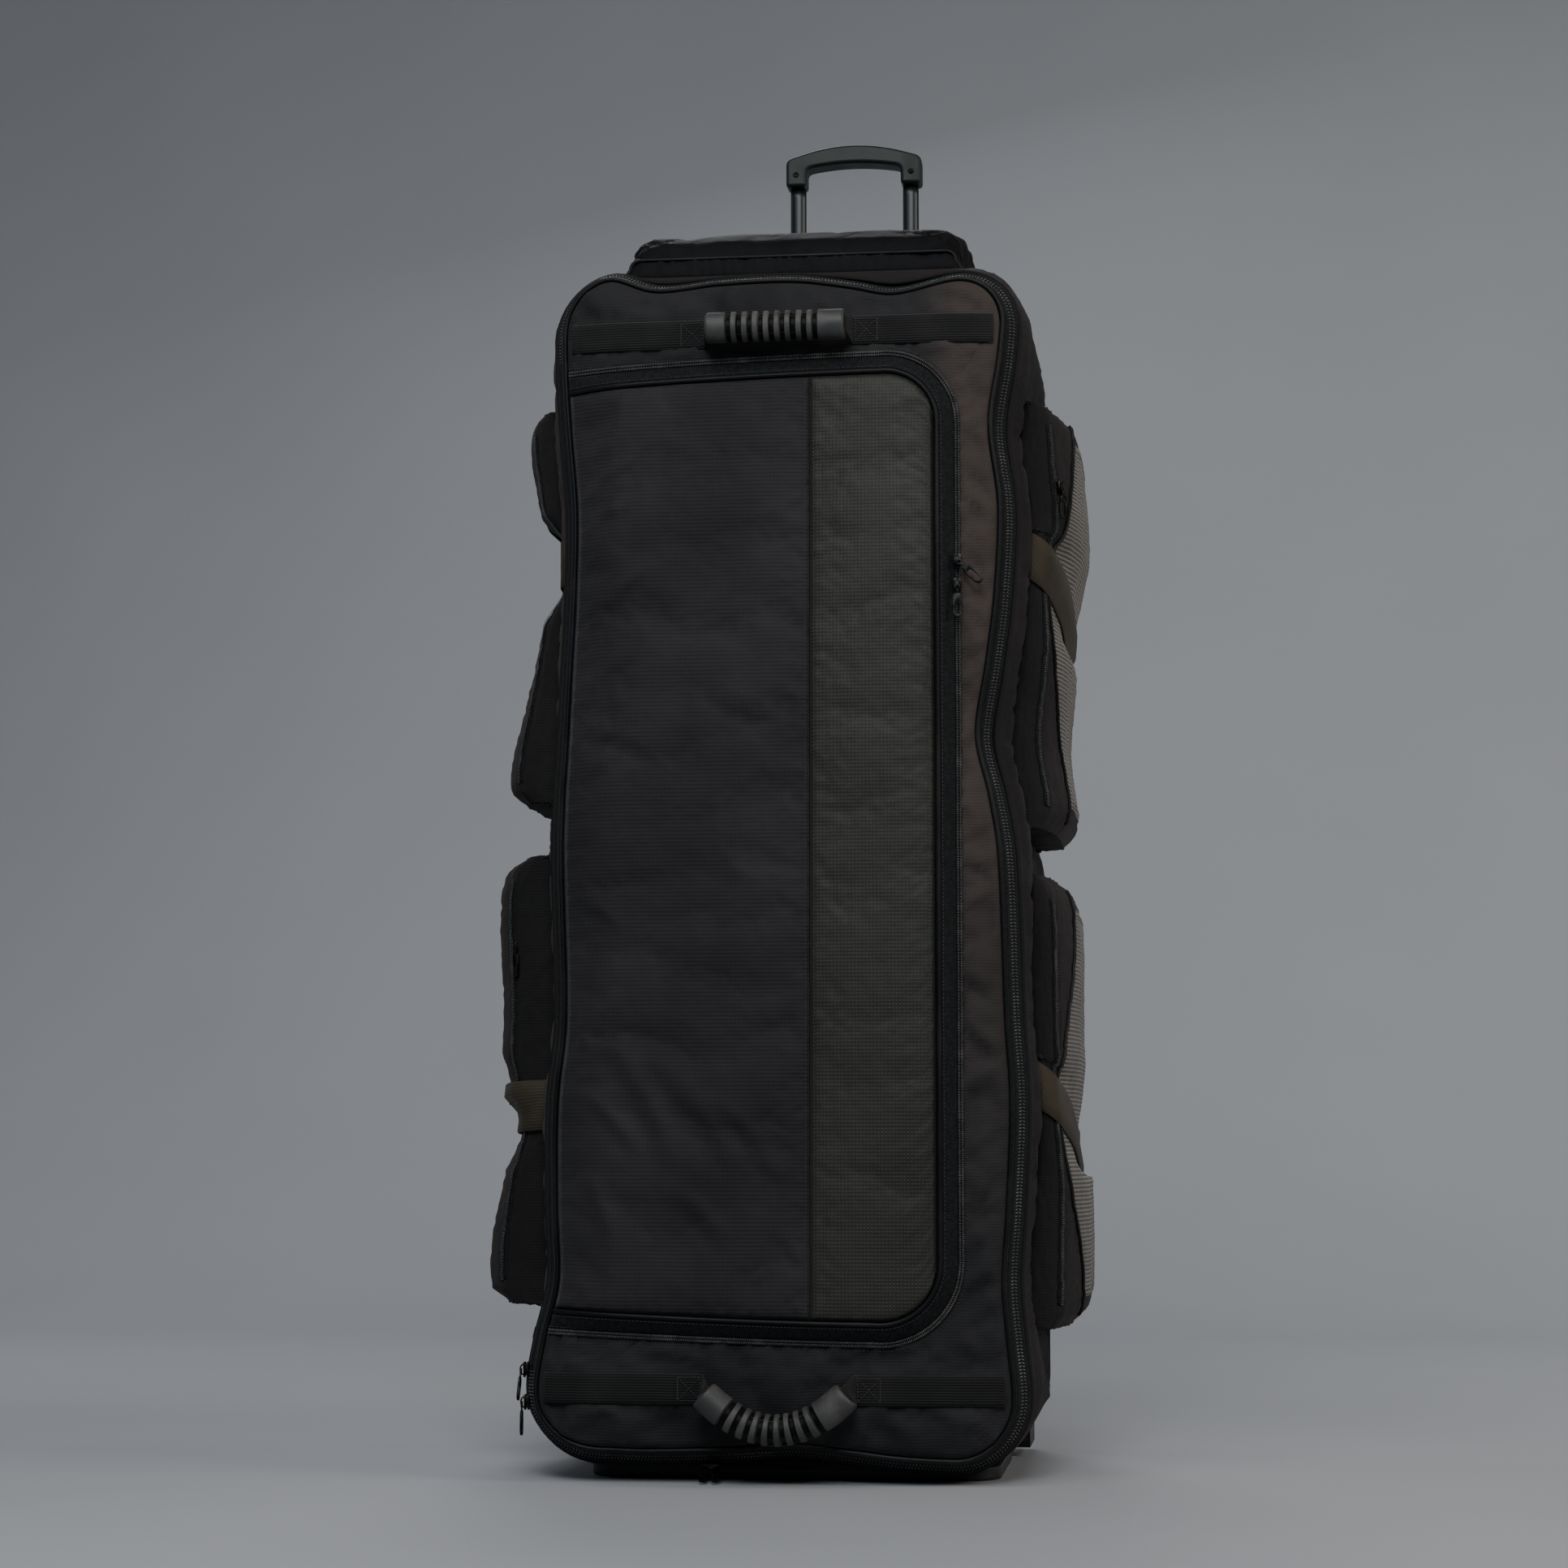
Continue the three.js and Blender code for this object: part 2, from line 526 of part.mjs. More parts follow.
// Edge of the front pocket at a distance outside its flap: top left, round the right side, bottom left
const FLAP_ARC_STEPS = 6;
const FLAP_LINE_STEPS = 8;
function flapPath(out) {
  const points = [];
  const right = FLAP.right + out;
  const top = FLAP.top + out;
  const bottom = FLAP.bottom - out;
  const topRadius = FLAP.cornerTop + out;
  const bottomRadius = FLAP.cornerBottom + out;
  const slope = (x) => 1 - (x - FLAP.left) / (FLAP.right - FLAP.left);
  for (let i = 0; i < FLAP_LINE_STEPS; i += 1) {
    const x = FLAP.left + ((right - topRadius - FLAP.left) * i) / FLAP_LINE_STEPS;
    points.push([x, top - FLAP_EDGE.topSlope * slope(x) ** 2]);
  }
  for (let i = 0; i <= FLAP_ARC_STEPS; i += 1) {
    const angle = (Math.PI / 2) * (1 - i / FLAP_ARC_STEPS);
    points.push([right - topRadius * (1 - Math.cos(angle)), top - topRadius * (1 - Math.sin(angle))]);
  }
  for (let i = 1; i < FLAP_LINE_STEPS; i += 1) {
    points.push([right, top - topRadius - ((top - topRadius - bottom - bottomRadius) * i) / FLAP_LINE_STEPS]);
  }
  for (let i = 0; i <= FLAP_ARC_STEPS; i += 1) {
    const angle = (-Math.PI / 2) * (i / FLAP_ARC_STEPS);
    const x = right - bottomRadius * (1 - Math.cos(angle));
    points.push([x, bottom + bottomRadius * (1 + Math.sin(angle))]);
  }
  for (let i = FLAP_LINE_STEPS - 1; i >= 0; i -= 1) {
    const x = FLAP.left + ((right - bottomRadius - FLAP.left) * i) / FLAP_LINE_STEPS;
    points.push([x, bottom + FLAP_EDGE.bottomSlope * slope(x) ** 2]);
  }
  return points;
}

// Height of the flap's face over the front panel: full in the middle, low at its hinge
function flapLift(x) {
  const share = Math.min(1, (x - FLAP.left) / 45);
  return 2 * LOW_LIFT + FLAP_WALL + (FLAP_LIFT - 2 * LOW_LIFT) * Math.sin((share * Math.PI) / 2);
}

// A flap panel: a curved sheet between two places across the flap, cut to the flap's outline
function flapPanel(from, to, columns) {
  const rows = 8;
  const over = [];
  const under = [];
  for (let i = 0; i <= columns; i += 1) {
    const t = i / columns;
    const x = from + (to - from) * (to > FLAP.seam ? Math.sin((t * Math.PI) / 2) : t);
    const [low, high] = flapEnds(x);
    over.push([]);
    under.push([]);
    for (let j = 0; j <= rows; j += 1) {
      const z = low + ((high - low) * j) / rows;
      const y = panelFace(x, z) - flapLift(x);
      over[i].push([x, y, z]);
      under[i].push([x, y + FLAP_WALL, z]);
    }
  }
  return slab(over, under);
}
function flapEnds(x) {
  const slope = 1 - (x - FLAP.left) / (FLAP.right - FLAP.left);
  const drop = (radius) => {
    const past = Math.max(0, x - (FLAP.right - radius));
    return radius - Math.sqrt(Math.max(0, radius ** 2 - past ** 2));
  };
  const low = FLAP.bottom + FLAP_EDGE.bottomSlope * slope ** 2 + drop(FLAP.cornerBottom);
  const high = FLAP.top - FLAP_EDGE.topSlope * slope ** 2 - drop(FLAP.cornerTop);
  return [low, high];
}
addMesh('flap_dark', flapPanel(FLAP.left, FLAP.seam - CLEAR / 2, 8), 'shell');
addMesh('flap_olive', flapPanel(FLAP.seam + CLEAR / 2, FLAP.right - 0.5, 8), 'olive');

// A band along the flap's edge: a row for each corner of its section, outwards and above the front panel
function flapBand(corners) {
  const paths = corners.map((corner) => flapPath(corner.out));
  const sections = paths[0].map((point, i) => corners.map((corner, k) => {
    const [x, z] = paths[k][i];
    return [x, panelFace(x, z) - corner.lift(x), z];
  }));
  return loft(sections);
}
const cordOut = 2 * CLEAR + FLAP_EDGE.piping;
const cordCorners = [];
for (let i = 0; i < PIPING_SIDES; i += 1) {
  const angle = (Math.PI * 2 * i) / PIPING_SIDES;
  cordCorners.push({
    out: cordOut + FLAP_EDGE.piping * Math.cos(angle),
    lift: (x) => flapLift(x) - FLAP_WALL / 2 + FLAP_EDGE.piping * Math.sin(angle),
  });
}
addMesh('flap_piping', flapBand(cordCorners), 'piping');
const tapeIn = cordOut + FLAP_EDGE.piping + CLEAR;
const tapeOut = tapeIn + FLAP_EDGE.tape;
addMesh('flap_zip_tape', flapBand([
  { out: tapeIn, lift: (x) => flapLift(x) - 3 },
  { out: tapeIn, lift: (x) => flapLift(x) - 1 },
  { out: tapeOut, lift: () => 2.5 },
  { out: tapeOut, lift: () => LOW_LIFT },
]), 'tape');
const FLAP_TEETH_TOP = 3.4;
const teethIn = tapeOut + CLEAR;
const teethOut = teethIn + FLAP_EDGE.teeth;
addMesh('flap_zip_teeth', flapBand([
  { out: teethIn, lift: () => LOW_LIFT },
  { out: teethIn, lift: () => FLAP_TEETH_TOP },
  { out: teethOut, lift: () => FLAP_TEETH_TOP },
  { out: teethOut, lift: () => LOW_LIFT },
]), 'teeth');

// Path of a grab handle's webbing: flat on the panel, then out through the grip
function webbingPath(z, sag) {
  const half = (GRIP.right - GRIP.left) / 2;
  const middle = (GRIP.right + GRIP.left) / 2;
  const reach = FRONT.halfWidth - 12;
  const stand = GRIP_GAP + GRIP.radius;
  const stops = [-reach, -reach * 0.8, -reach * 0.6, middle - half - 6, middle - half + 1];
  for (let i = 1; i < 10; i += 1) stops.push(middle - half + 1 + ((2 * half - 2) * i) / 10);
  stops.push(middle + half - 1, middle + half + 6, reach * 0.6, reach * 0.8, reach);
  return stops.map((x) => {
    const t = Math.abs(x - middle) / half;
    const inGrip = t < 1;
    const scale = waistShare(z, x < 0, 1);
    const place = Math.abs(x) > reach * 0.7 ? x * scale : x;
    const face = panelFace(place, z) - 0.5 - WEBBING.thick / 2;
    return { x: place, y: inGrip ? face - stand : face, z: z - (inGrip ? sag * (1 - t * t) : 0), inGrip };
  });
}
// Directions across a path that runs in X and Z
function acrossPath(path, i) {
  const before = path[Math.max(0, i - 1)];
  const after = path[Math.min(path.length - 1, i + 1)];
  const length = Math.hypot(after.x - before.x, after.z - before.z);
  return { x: -(after.z - before.z) / length, z: (after.x - before.x) / length };
}
function webbingSolid(path, grow) {
  const halfWide = WEBBING.width / 2 + grow;
  const halfThick = WEBBING.thick / 2 + grow;
  return loft(path.map((p, i) => {
    const across = acrossPath(path, i);
    const corner = (wideways, deepways) => [
      p.x + across.x * wideways * halfWide * (p.inGrip ? 0.8 : 1.05),
      p.y + deepways * halfThick,
      p.z + across.z * wideways * halfWide * (p.inGrip ? 0.8 : 1.05),
    ];
    return [corner(-1, -1), corner(1, -1), corner(1, 1), corner(-1, 1)];
  }));
}
// A grab grip: a round rubber sleeve with grooves across its middle
const GRIP_SIDES = 8;
function gripSolid(path) {
  const inside = path.filter((p) => p.inGrip);
  const stations = [{ at: 0.015, radius: GRIP.radius }];
  const length = GRIP.right - GRIP.left;
  const from = (GRIP.ribbedLeft - GRIP.left) / length;
  const to = (GRIP.ribbedRight - GRIP.left) / length;
  for (let i = 0; i <= GRIP.slots * 2; i += 1) {
    const at = from + ((to - from) * i) / (GRIP.slots * 2);
    stations.push({ at, radius: GRIP.radius - (i % 2 ? GRIP.groove : 0) });
  }
  stations.push({ at: 0.985, radius: GRIP.radius });
  const spots = stations.map(({ at, radius }) => {
    const along = at * (inside.length - 1);
    const i = Math.min(inside.length - 2, Math.floor(along));
    const t = along - i;
    const mix = (key) => inside[i][key] + (inside[i + 1][key] - inside[i][key]) * t;
    return { x: mix('x'), y: mix('y'), z: mix('z'), radius };
  });
  const rings = spots.map((spot, i) => {
    const across = acrossPath(spots, i);
    const ring = [];
    for (let k = 0; k < GRIP_SIDES; k += 1) {
      const angle = (Math.PI * 2 * (k + 0.5)) / GRIP_SIDES;
      const out = spot.radius * Math.cos(angle);
      ring.push([spot.x + across.x * out, spot.y + spot.radius * Math.sin(angle), spot.z + across.z * out]);
    }
    return ring;
  });
  return toSolid(loft(rings));
}
for (const [name, z, sag] of [['top', WEBBING.topZ, 0], ['bottom', WEBBING.bottomZ, GRIP_SAG]]) {
  const path = webbingPath(z, sag);
  addMesh(`webbing_${name}`, webbingSolid(path, 0), 'webbing');
  const grip = gripSolid(path).subtract(toSolid(webbingSolid(path, CLEAR)));
  addMesh(`grip_${name}`, fromSolid(grip.simplify(SLIVER)), 'rubber');
}

// Outer face of the tub's side at a height
const tubSide = (z, side) => (FRONT.halfWidth + TUB.grow) * waistShare(z, side < 0, TUB.follow);

// Grid of a side pocket's outer skin, moved outwards by an offset, one row of points for each level
function pocketGrid(pocket, levels, offset, endInset) {
  const height = pocket.top - pocket.bottom;
  const depth = POCKET.back - POCKET.front;
  return levels.map((level) => {
    const fullness = pocket.low + (pocket.high - pocket.low) * level.v;
    const out = fullness * level.full * (1 - pocket.pinch * level.pinch);
    const plan = POCKET_PLAN.map((row) => [out * row.out, POCKET.front + depth * row.depth]);
    return plan.map(([away, y], k) => {
      const before = plan[Math.max(0, k - 1)];
      const after = plan[Math.min(plan.length - 1, k + 1)];
      const length = Math.hypot(after[0] - before[0], after[1] - before[1]);
      const normal = [(after[1] - before[1]) / length, -(after[0] - before[0]) / length];
      const edge = k === 0 || k === plan.length - 1;
      const push = edge ? [0, k === 0 ? -offset : offset] : [normal[0] * offset, normal[1] * offset];
      const tilt = pocket.slant * level.pinch * (0.5 - STRAP_SLANT[k]);
      const plainZ = pocket.bottom + height * level.v + tilt;
      const z = Math.min(pocket.top - endInset, Math.max(pocket.bottom + endInset, plainZ));
      return [away + push[0], y + push[1], z];
    });
  });
}
// Levels of a pocket, with those at its strap between the others
function pocketLevels(pocket) {
  const height = pocket.top - pocket.bottom;
  const half = POCKET.strapWidth / 2 / height;
  const soft = half + 0.09;
  const strapRows = [-half, 0, half].map((step) => ({ v: pocket.strapAt + step, full: 0.94, pinch: 1 }));
  const rows = POCKET_LEVELS.filter((row) => Math.abs(row.v - pocket.strapAt) > soft);
  const all = [...rows.map((row) => ({ ...row, pinch: 0 })), ...strapRows];
  return all.sort((a, b) => a.v - b.v);
}
// Place a pocket grid on its side of the bag, its two edges sunk into the tub, to be cut off at its face
function onSide(pocket, grid) {
  return grid.map((row) => row.map(([away, y, z], k) => {
    const sunk = k === 0 || k === row.length - 1 ? POCKET.sunk : 0;
    return [pocket.side * (tubSide(z, pocket.side) + CLEAR + away - sunk), y, z];
  }));
}
const tubFace = toSolid(loft(TUB_RINGS.map((row) => tubRing(row, -CLEAR, TUB.front + tubDepth * row.depth))));
for (const pocket of SIDE_POCKETS) {
  const levels = pocketLevels(pocket);
  const skin = onSide(pocket, pocketGrid(pocket, levels, 0, 0));
  const innerGrid = pocketGrid(pocket, levels, -POCKET.wall, POCKET.wall);
  const hollow = onSide(pocket, innerGrid);
  hollow.forEach((row) => {
    for (const end of [0, row.length - 1]) row[end][0] -= pocket.side * POCKET.sunk;
  });
  const body = toSolid(loft(skin)).subtract(toSolid(loft(hollow))).subtract(tubFace);
  addMesh(`${pocket.name}_pocket`, fromSolid(body), 'shell');
  const layer = (from, to, firstRow, lastRow, firstPoint, lastPoint, reach = 1) => {
    const cut = (offset) => {
      const rows = levels.slice(firstRow, lastRow + 1);
      const grid = onSide(pocket, pocketGrid(pocket, rows, offset, 0));
      return grid.map((row) => {
        const part = row.slice(firstPoint, lastPoint + 1);
        const [before, end] = part.slice(-2);
        part[part.length - 1] = end.map((value, i) => before[i] + (value - before[i]) * reach);
        return part;
      });
    };
    return slab(cut(to), cut(from));
  };
  const last = levels.length - 2;
  const strapRow = levels.findIndex((level) => level.pinch === 1);
  const over = CLEAR + POCKET.panel;
  addMesh(`${pocket.name}_panel`, layer(CLEAR, over, 2, last - 1, PANEL_FROM, PANEL_TO), 'ribbed');
  const zip = layer(ZIP_GAP, ZIP_GAP + POCKET.zip, 2, last - 1, PANEL_FROM - 1, PANEL_FROM, ZIP_REACH);
  addMesh(`${pocket.name}_zip`, zip, 'teeth');
  const strapFrom = over + 2 * CLEAR;
  const strap = layer(strapFrom, strapFrom + POCKET.strap, strapRow, strapRow + 2, 0, POCKET_PLAN.length - 1);
  addMesh(`${pocket.name}_strap`, fromSolid(toSolid(strap).subtract(tubFace)), 'strap');
  if (pocket.slider) {
    const row = [levels.find((level) => level.v === SLIDER_LEVEL)];
    const points = onSide(pocket, pocketGrid(pocket, row, ZIP_GAP + POCKET.zip + CLEAR, 0))[0];
    const [seam, edge] = [points[PANEL_FROM - 1], points[PANEL_FROM]];
    const place = seam.map((value, i) => value + ((edge[i] - value) * ZIP_REACH) / 2);
    const face = Math.atan2(edge[1] - seam[1], Math.abs(edge[0] - seam[0]));
    slider(`${pocket.name}_slider`, place, 0, pocket.side * face);
  }
}

// The pull-out handle: two guides in the tub, a bezel on its top, two tubes and a grip
const bezelBottom = tubTop + CLEAR;
const bezelTop = bezelBottom + BEZEL.height;
let bezel = boxSolid(
  [HANDLE.x - BEZEL.halfLong, HANDLE.y - BEZEL.halfDeep, bezelBottom],
  [HANDLE.x + BEZEL.halfLong, HANDLE.y + BEZEL.halfDeep, bezelTop],
);
const slideHalf = [TUBE.halfWide + TUBE.slide, TUBE.halfDeep + TUBE.slide];
const tubeTop = HANDLE.legBottom - CLEAR;
const tubeBottom = bezelTop - HANDLE.up - HANDLE.overlap;
const TUBE_SIDES = 12;
['left', 'right'].forEach((side, i) => {
  const place = [tubeX[i], HANDLE.y];
  const guideBottom = CHASSIS.top + CLOTH + CLEAR;
  const guide = toSolid(rod('z', guideHalf, guideBottom, tubTop, TUBE_SIDES, place));
  const bore = toSolid(rod('z', slideHalf, guideBottom + 4, tubTop + 4, TUBE_SIDES, place));
  bezel = bezel.subtract(toSolid(rod('z', slideHalf, bezelBottom - 5, bezelTop + 5, TUBE_SIDES, place)));
  addMesh(`trolley_guide_${side}`, fromSolid(guide.subtract(bore)), 'tube');
  const tubeShape = rod('z', [TUBE.halfWide, TUBE.halfDeep], tubeBottom, tubeTop, TUBE_SIDES, place);
  addMesh(`trolley_tube_${side}`, tubeShape, 'tube');
});
addMesh('trolley_bezel', fromSolid(bezel), 'plastic');

const gripHalf = TROLLEY_GRIP.width / 2;
const gripLeg = TROLLEY_GRIP.leg;
const gripOutline = new THREE.Shape();
gripOutline.moveTo(-gripHalf, 0);
gripOutline.lineTo(-gripHalf, TROLLEY_GRIP.height - TROLLEY_GRIP.arch - 6);
gripOutline.quadraticCurveTo(-gripHalf, TROLLEY_GRIP.height - TROLLEY_GRIP.arch, -gripHalf + 10,
  TROLLEY_GRIP.height - TROLLEY_GRIP.arch + 2);
gripOutline.quadraticCurveTo(0, TROLLEY_GRIP.height + TROLLEY_GRIP.arch - 2, gripHalf - 10,
  TROLLEY_GRIP.height - TROLLEY_GRIP.arch + 2);
gripOutline.quadraticCurveTo(gripHalf, TROLLEY_GRIP.height - TROLLEY_GRIP.arch, gripHalf,
  TROLLEY_GRIP.height - TROLLEY_GRIP.arch - 6);
gripOutline.lineTo(gripHalf, 0);
gripOutline.lineTo(gripHalf - gripLeg, 0);
gripOutline.lineTo(gripHalf - gripLeg - 2, TROLLEY_GRIP.height - TROLLEY_GRIP.arch - TROLLEY_GRIP.bar + 6);
gripOutline.quadraticCurveTo(0, TROLLEY_GRIP.height - TROLLEY_GRIP.bar + 2, -gripHalf + gripLeg + 2,
  TROLLEY_GRIP.height - TROLLEY_GRIP.arch - TROLLEY_GRIP.bar + 6);
gripOutline.lineTo(-gripHalf + gripLeg, 0);
const gripBevel = 4;
const gripShape = new THREE.ExtrudeGeometry(gripOutline, {
  depth: TROLLEY_GRIP.depth - 2 * gripBevel,
  bevelEnabled: true,
  bevelThickness: gripBevel,
  bevelSize: 2.5,
  bevelOffset: -2.5,
  bevelSegments: 1,
  curveSegments: 6,
});
gripShape.rotateX(Math.PI / 2);
gripShape.translate(HANDLE.x, HANDLE.y + TROLLEY_GRIP.depth / 2 - gripBevel, HANDLE.legBottom);
addMesh('trolley_grip', gripShape, 'handle');

// The foot: a rounded base plate under the tub
const foot = new THREE.Shape();
const footCentre = (BASE.front + BASE.back) / 2;
const footHalf = (BASE.back - BASE.front) / 2;
foot.absarc(BASE.halfWidth - BASE.corner, footHalf - BASE.corner, BASE.corner, 0, Math.PI / 2);
foot.absarc(-BASE.halfWidth + BASE.corner, footHalf - BASE.corner, BASE.corner, Math.PI / 2, Math.PI);
foot.absarc(-BASE.halfWidth + BASE.corner, -footHalf + BASE.corner, BASE.corner, Math.PI, Math.PI * 1.5);
foot.absarc(BASE.halfWidth - BASE.corner, -footHalf + BASE.corner, BASE.corner, Math.PI * 1.5, Math.PI * 2);
const plate = new THREE.ExtrudeGeometry(foot, {
  depth: tubBottom - CLEAR,
  bevelEnabled: false,
  curveSegments: 6,
});
plate.translate(0, footCentre, 0);
addMesh('base_plate', plate, 'plastic');

// The rear chassis: a hollow moulding under the tub's step, open below, with a well for each wheel
const chassisTop = CHASSIS.top - CLEAR;
const chassisFront = CHASSIS.front + CLEAR;
let chassis = boxSolid(
  [-CHASSIS.halfWidth, chassisFront, CHASSIS.bottom],
  [CHASSIS.halfWidth, CHASSIS.back, chassisTop],
);
const core = boxSolid(
  [-CHASSIS.halfWidth + CHASSIS.wall, chassisFront + CHASSIS.wall, CHASSIS.bottom - 5],
  [CHASSIS.halfWidth - CHASSIS.wall, CHASSIS.back - CHASSIS.wall, chassisTop - CHASSIS.wall],
);
chassis = chassis.subtract(core);
const wheelZ = WHEEL.radius + WHEEL.lift;
const AXLE_SIDES = 12;
const WHEEL_SIDES = 20;
for (const side of [-1, 1]) {
  const wellHalf = WHEEL.width / 2 + WHEEL.well;
  const middle = side * WHEEL.x;
  for (const cheek of [-1, 1]) {
    const face = middle + cheek * (wellHalf + CHASSIS.wall / 2);
    const plateSolid = boxSolid(
      [face - CHASSIS.wall / 2, chassisFront + 1, CHASSIS.bottom],
      [face + CHASSIS.wall / 2, CHASSIS.back - 1, chassisTop - 1],
    );
    chassis = chassis.add(plateSolid);
  }
  const well = boxSolid(
    [middle - wellHalf, chassisFront + CHASSIS.wall, CHASSIS.bottom - 5],
    [middle + wellHalf, CHASSIS.back + 5, chassisTop - CHASSIS.wall],
  );
  chassis = chassis.subtract(well);
  const name = side < 0 ? 'left' : 'right';
  const pinHalf = wellHalf + CHASSIS.wall;
  const pinHole = [WHEEL.axle + CLEAR, WHEEL.axle + CLEAR];
  const pinPlace = [WHEEL.y, wheelZ];
  const pinBore = rod('x', pinHole, middle - pinHalf - 1, middle + pinHalf + 1, AXLE_SIDES, pinPlace);
  chassis = chassis.subtract(toSolid(pinBore));
  const pinRound = [WHEEL.axle, WHEEL.axle];
  addMesh(`axle_${name}`, rod('x', pinRound, middle - pinHalf, middle + pinHalf, AXLE_SIDES, pinPlace), 'metal');
  const tread = [
    [WHEEL.axle + 0.5, -WHEEL.width / 2 - 3],
    [11, -WHEEL.width / 2 - 3],
    [12, -WHEEL.width / 2 + 4],
    [WHEEL.radius - 10, -WHEEL.width / 2 + 4],
    [WHEEL.radius - 9, -WHEEL.width / 2],
    [WHEEL.radius - 2, -WHEEL.width / 2],
    [WHEEL.radius, -WHEEL.width / 2 + 4],
  ];
  const mirrored = tread.map(([r, x]) => [r, -x]).reverse();
  const profile = [...tread, ...mirrored, tread[0]].map(([r, x]) => new THREE.Vector2(r, x));
  const wheel = new THREE.LatheGeometry(profile, WHEEL_SIDES);
  wheel.rotateZ(Math.PI / 2);
  const clean = mergeVertices(stripped(wheel), 1e-4);
  clean.translate(middle, WHEEL.y, wheelZ);
  addMesh(`wheel_${name}`, fromSolid(turnedOut(clean)), 'tyre');
}
addMesh('rear_chassis', fromSolid(chassis), 'plastic');

function stripped(geometry) {
  const plain = geometry.clone();
  plain.deleteAttribute('normal');
  plain.deleteAttribute('uv');
  return plain;
}
// A lathe turned the wrong way round is flipped so that its faces point out
function turnedOut(geometry) {
  const faces = [];
  const index = geometry.index.array;
  for (let i = 0; i < index.length; i += 3) {
    const face = [index[i], index[i + 1], index[i + 2]];
    if (new Set(face).size === 3) faces.push(face);
  }
  const points = [];
  const position = geometry.attributes.position;
  for (let i = 0; i < position.count; i += 1) {
    points.push([position.getX(i), position.getY(i), position.getZ(i)]);
  }
  return toSolid(closedGeometry(points, faces));
}

// A zip slider with its pull: swing turns the pull about the slider, face turns the whole to its side
function slider(name, place, swing, face) {
  const body = boxSolid([-3.2, -4.5, -6], [3.2, -0.3, 6]);
  const bridge = boxSolid([-1.5, -7, -5], [1.5, -4, 5]);
  const plateGeometry = new THREE.BoxGeometry(PULL.wide, PULL.thick, PULL.long);
  plateGeometry.translate(0, -6.5, -PULL.long / 2 - 1);
  let pull = toSolid(plateGeometry);
  const slot = new THREE.BoxGeometry(PULL.wide - 4, PULL.thick + 2, PULL.long * 0.28);
  slot.translate(0, -6.5, -PULL.long * 0.84);
  pull = pull.subtract(toSolid(slot));
  const turned = fromSolid(pull);
  turned.rotateY(swing);
  const geometry = fromSolid(body.add(bridge).add(toSolid(turned)));
  geometry.rotateZ(face);
  geometry.translate(...place);
  addMesh(name, geometry, 'metal');
}
// How far a ring reaches to one side at a height
function ringSide(ring, z, side) {
  let reach = 0;
  ring.forEach((a, i) => {
    const b = ring[(i + 1) % ring.length];
    const between = (a[2] - z) * (b[2] - z) <= 0 && a[2] !== b[2];
    if (between && a[0] * side > 0) reach = Math.abs(a[0] + ((b[0] - a[0]) * (z - a[2])) / (b[2] - a[2]));
  });
  return reach;
}
// The two sliders of the main zip rest at the lower left, and a third hangs from the zip under the front
const MAIN_SLIDERS = [
  { name: 'upper', z: 88, swing: -0.5 },
  { name: 'lower', z: 62, swing: 0 },
];
for (const { name, z, swing } of MAIN_SLIDERS) {
  const reach = Math.max(...[z - 6, z, z + 6].map((level) => ringSide(teethRings[2], level, -1)));
  slider(`main_slider_${name}`, [-reach, teethMiddle, z], swing, -Math.PI / 2);
}
const footZip = FRONT.bottom - tapeGrow(teethMiddle) - TEETH.height - 5 * CLEAR;
let footSlider = boxSolid(
  [FOOT_SLIDER.x - FOOT_SLIDER.halfWide, teethMiddle - FOOT_SLIDER.halfDeep, footZip - FOOT_SLIDER.thick],
  [FOOT_SLIDER.x + FOOT_SLIDER.halfWide, teethMiddle + FOOT_SLIDER.halfDeep, footZip],
);
for (const side of [-1, 1]) {
  const tab = new THREE.BoxGeometry(PULL.wide, PULL.thick, FOOT_SLIDER.long);
  tab.rotateX(-FOOT_SLIDER.lean);
  const reach = (FOOT_SLIDER.long / 2) * Math.sin(FOOT_SLIDER.lean);
  const drop = (FOOT_SLIDER.long / 2) * Math.cos(FOOT_SLIDER.lean);
  tab.translate(FOOT_SLIDER.x + side * 5, teethMiddle - 4 - reach, footZip - 1.5 - drop);
  footSlider = footSlider.add(toSolid(tab));
}
addMesh('foot_slider', fromSolid(footSlider), 'metal');

const flapTeethX = FLAP.right + (teethIn + teethOut) / 2;
const flapTeethY = (z) => panelFace(flapTeethX, z) - FLAP_TEETH_TOP;
const upperZ = FLAP.top - FLAP_SLIDERS.upper;
const lowerZ = FLAP.top - FLAP_SLIDERS.lower;
slider('flap_slider_upper', [flapTeethX, flapTeethY(upperZ), upperZ], FLAP_SLIDERS.swing, 0);
slider('flap_slider_lower', [flapTeethX, flapTeethY(lowerZ), lowerZ], 0, 0);
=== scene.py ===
import math
import bmesh
import bpy
import numpy as np
from mathutils import Matrix, Vector


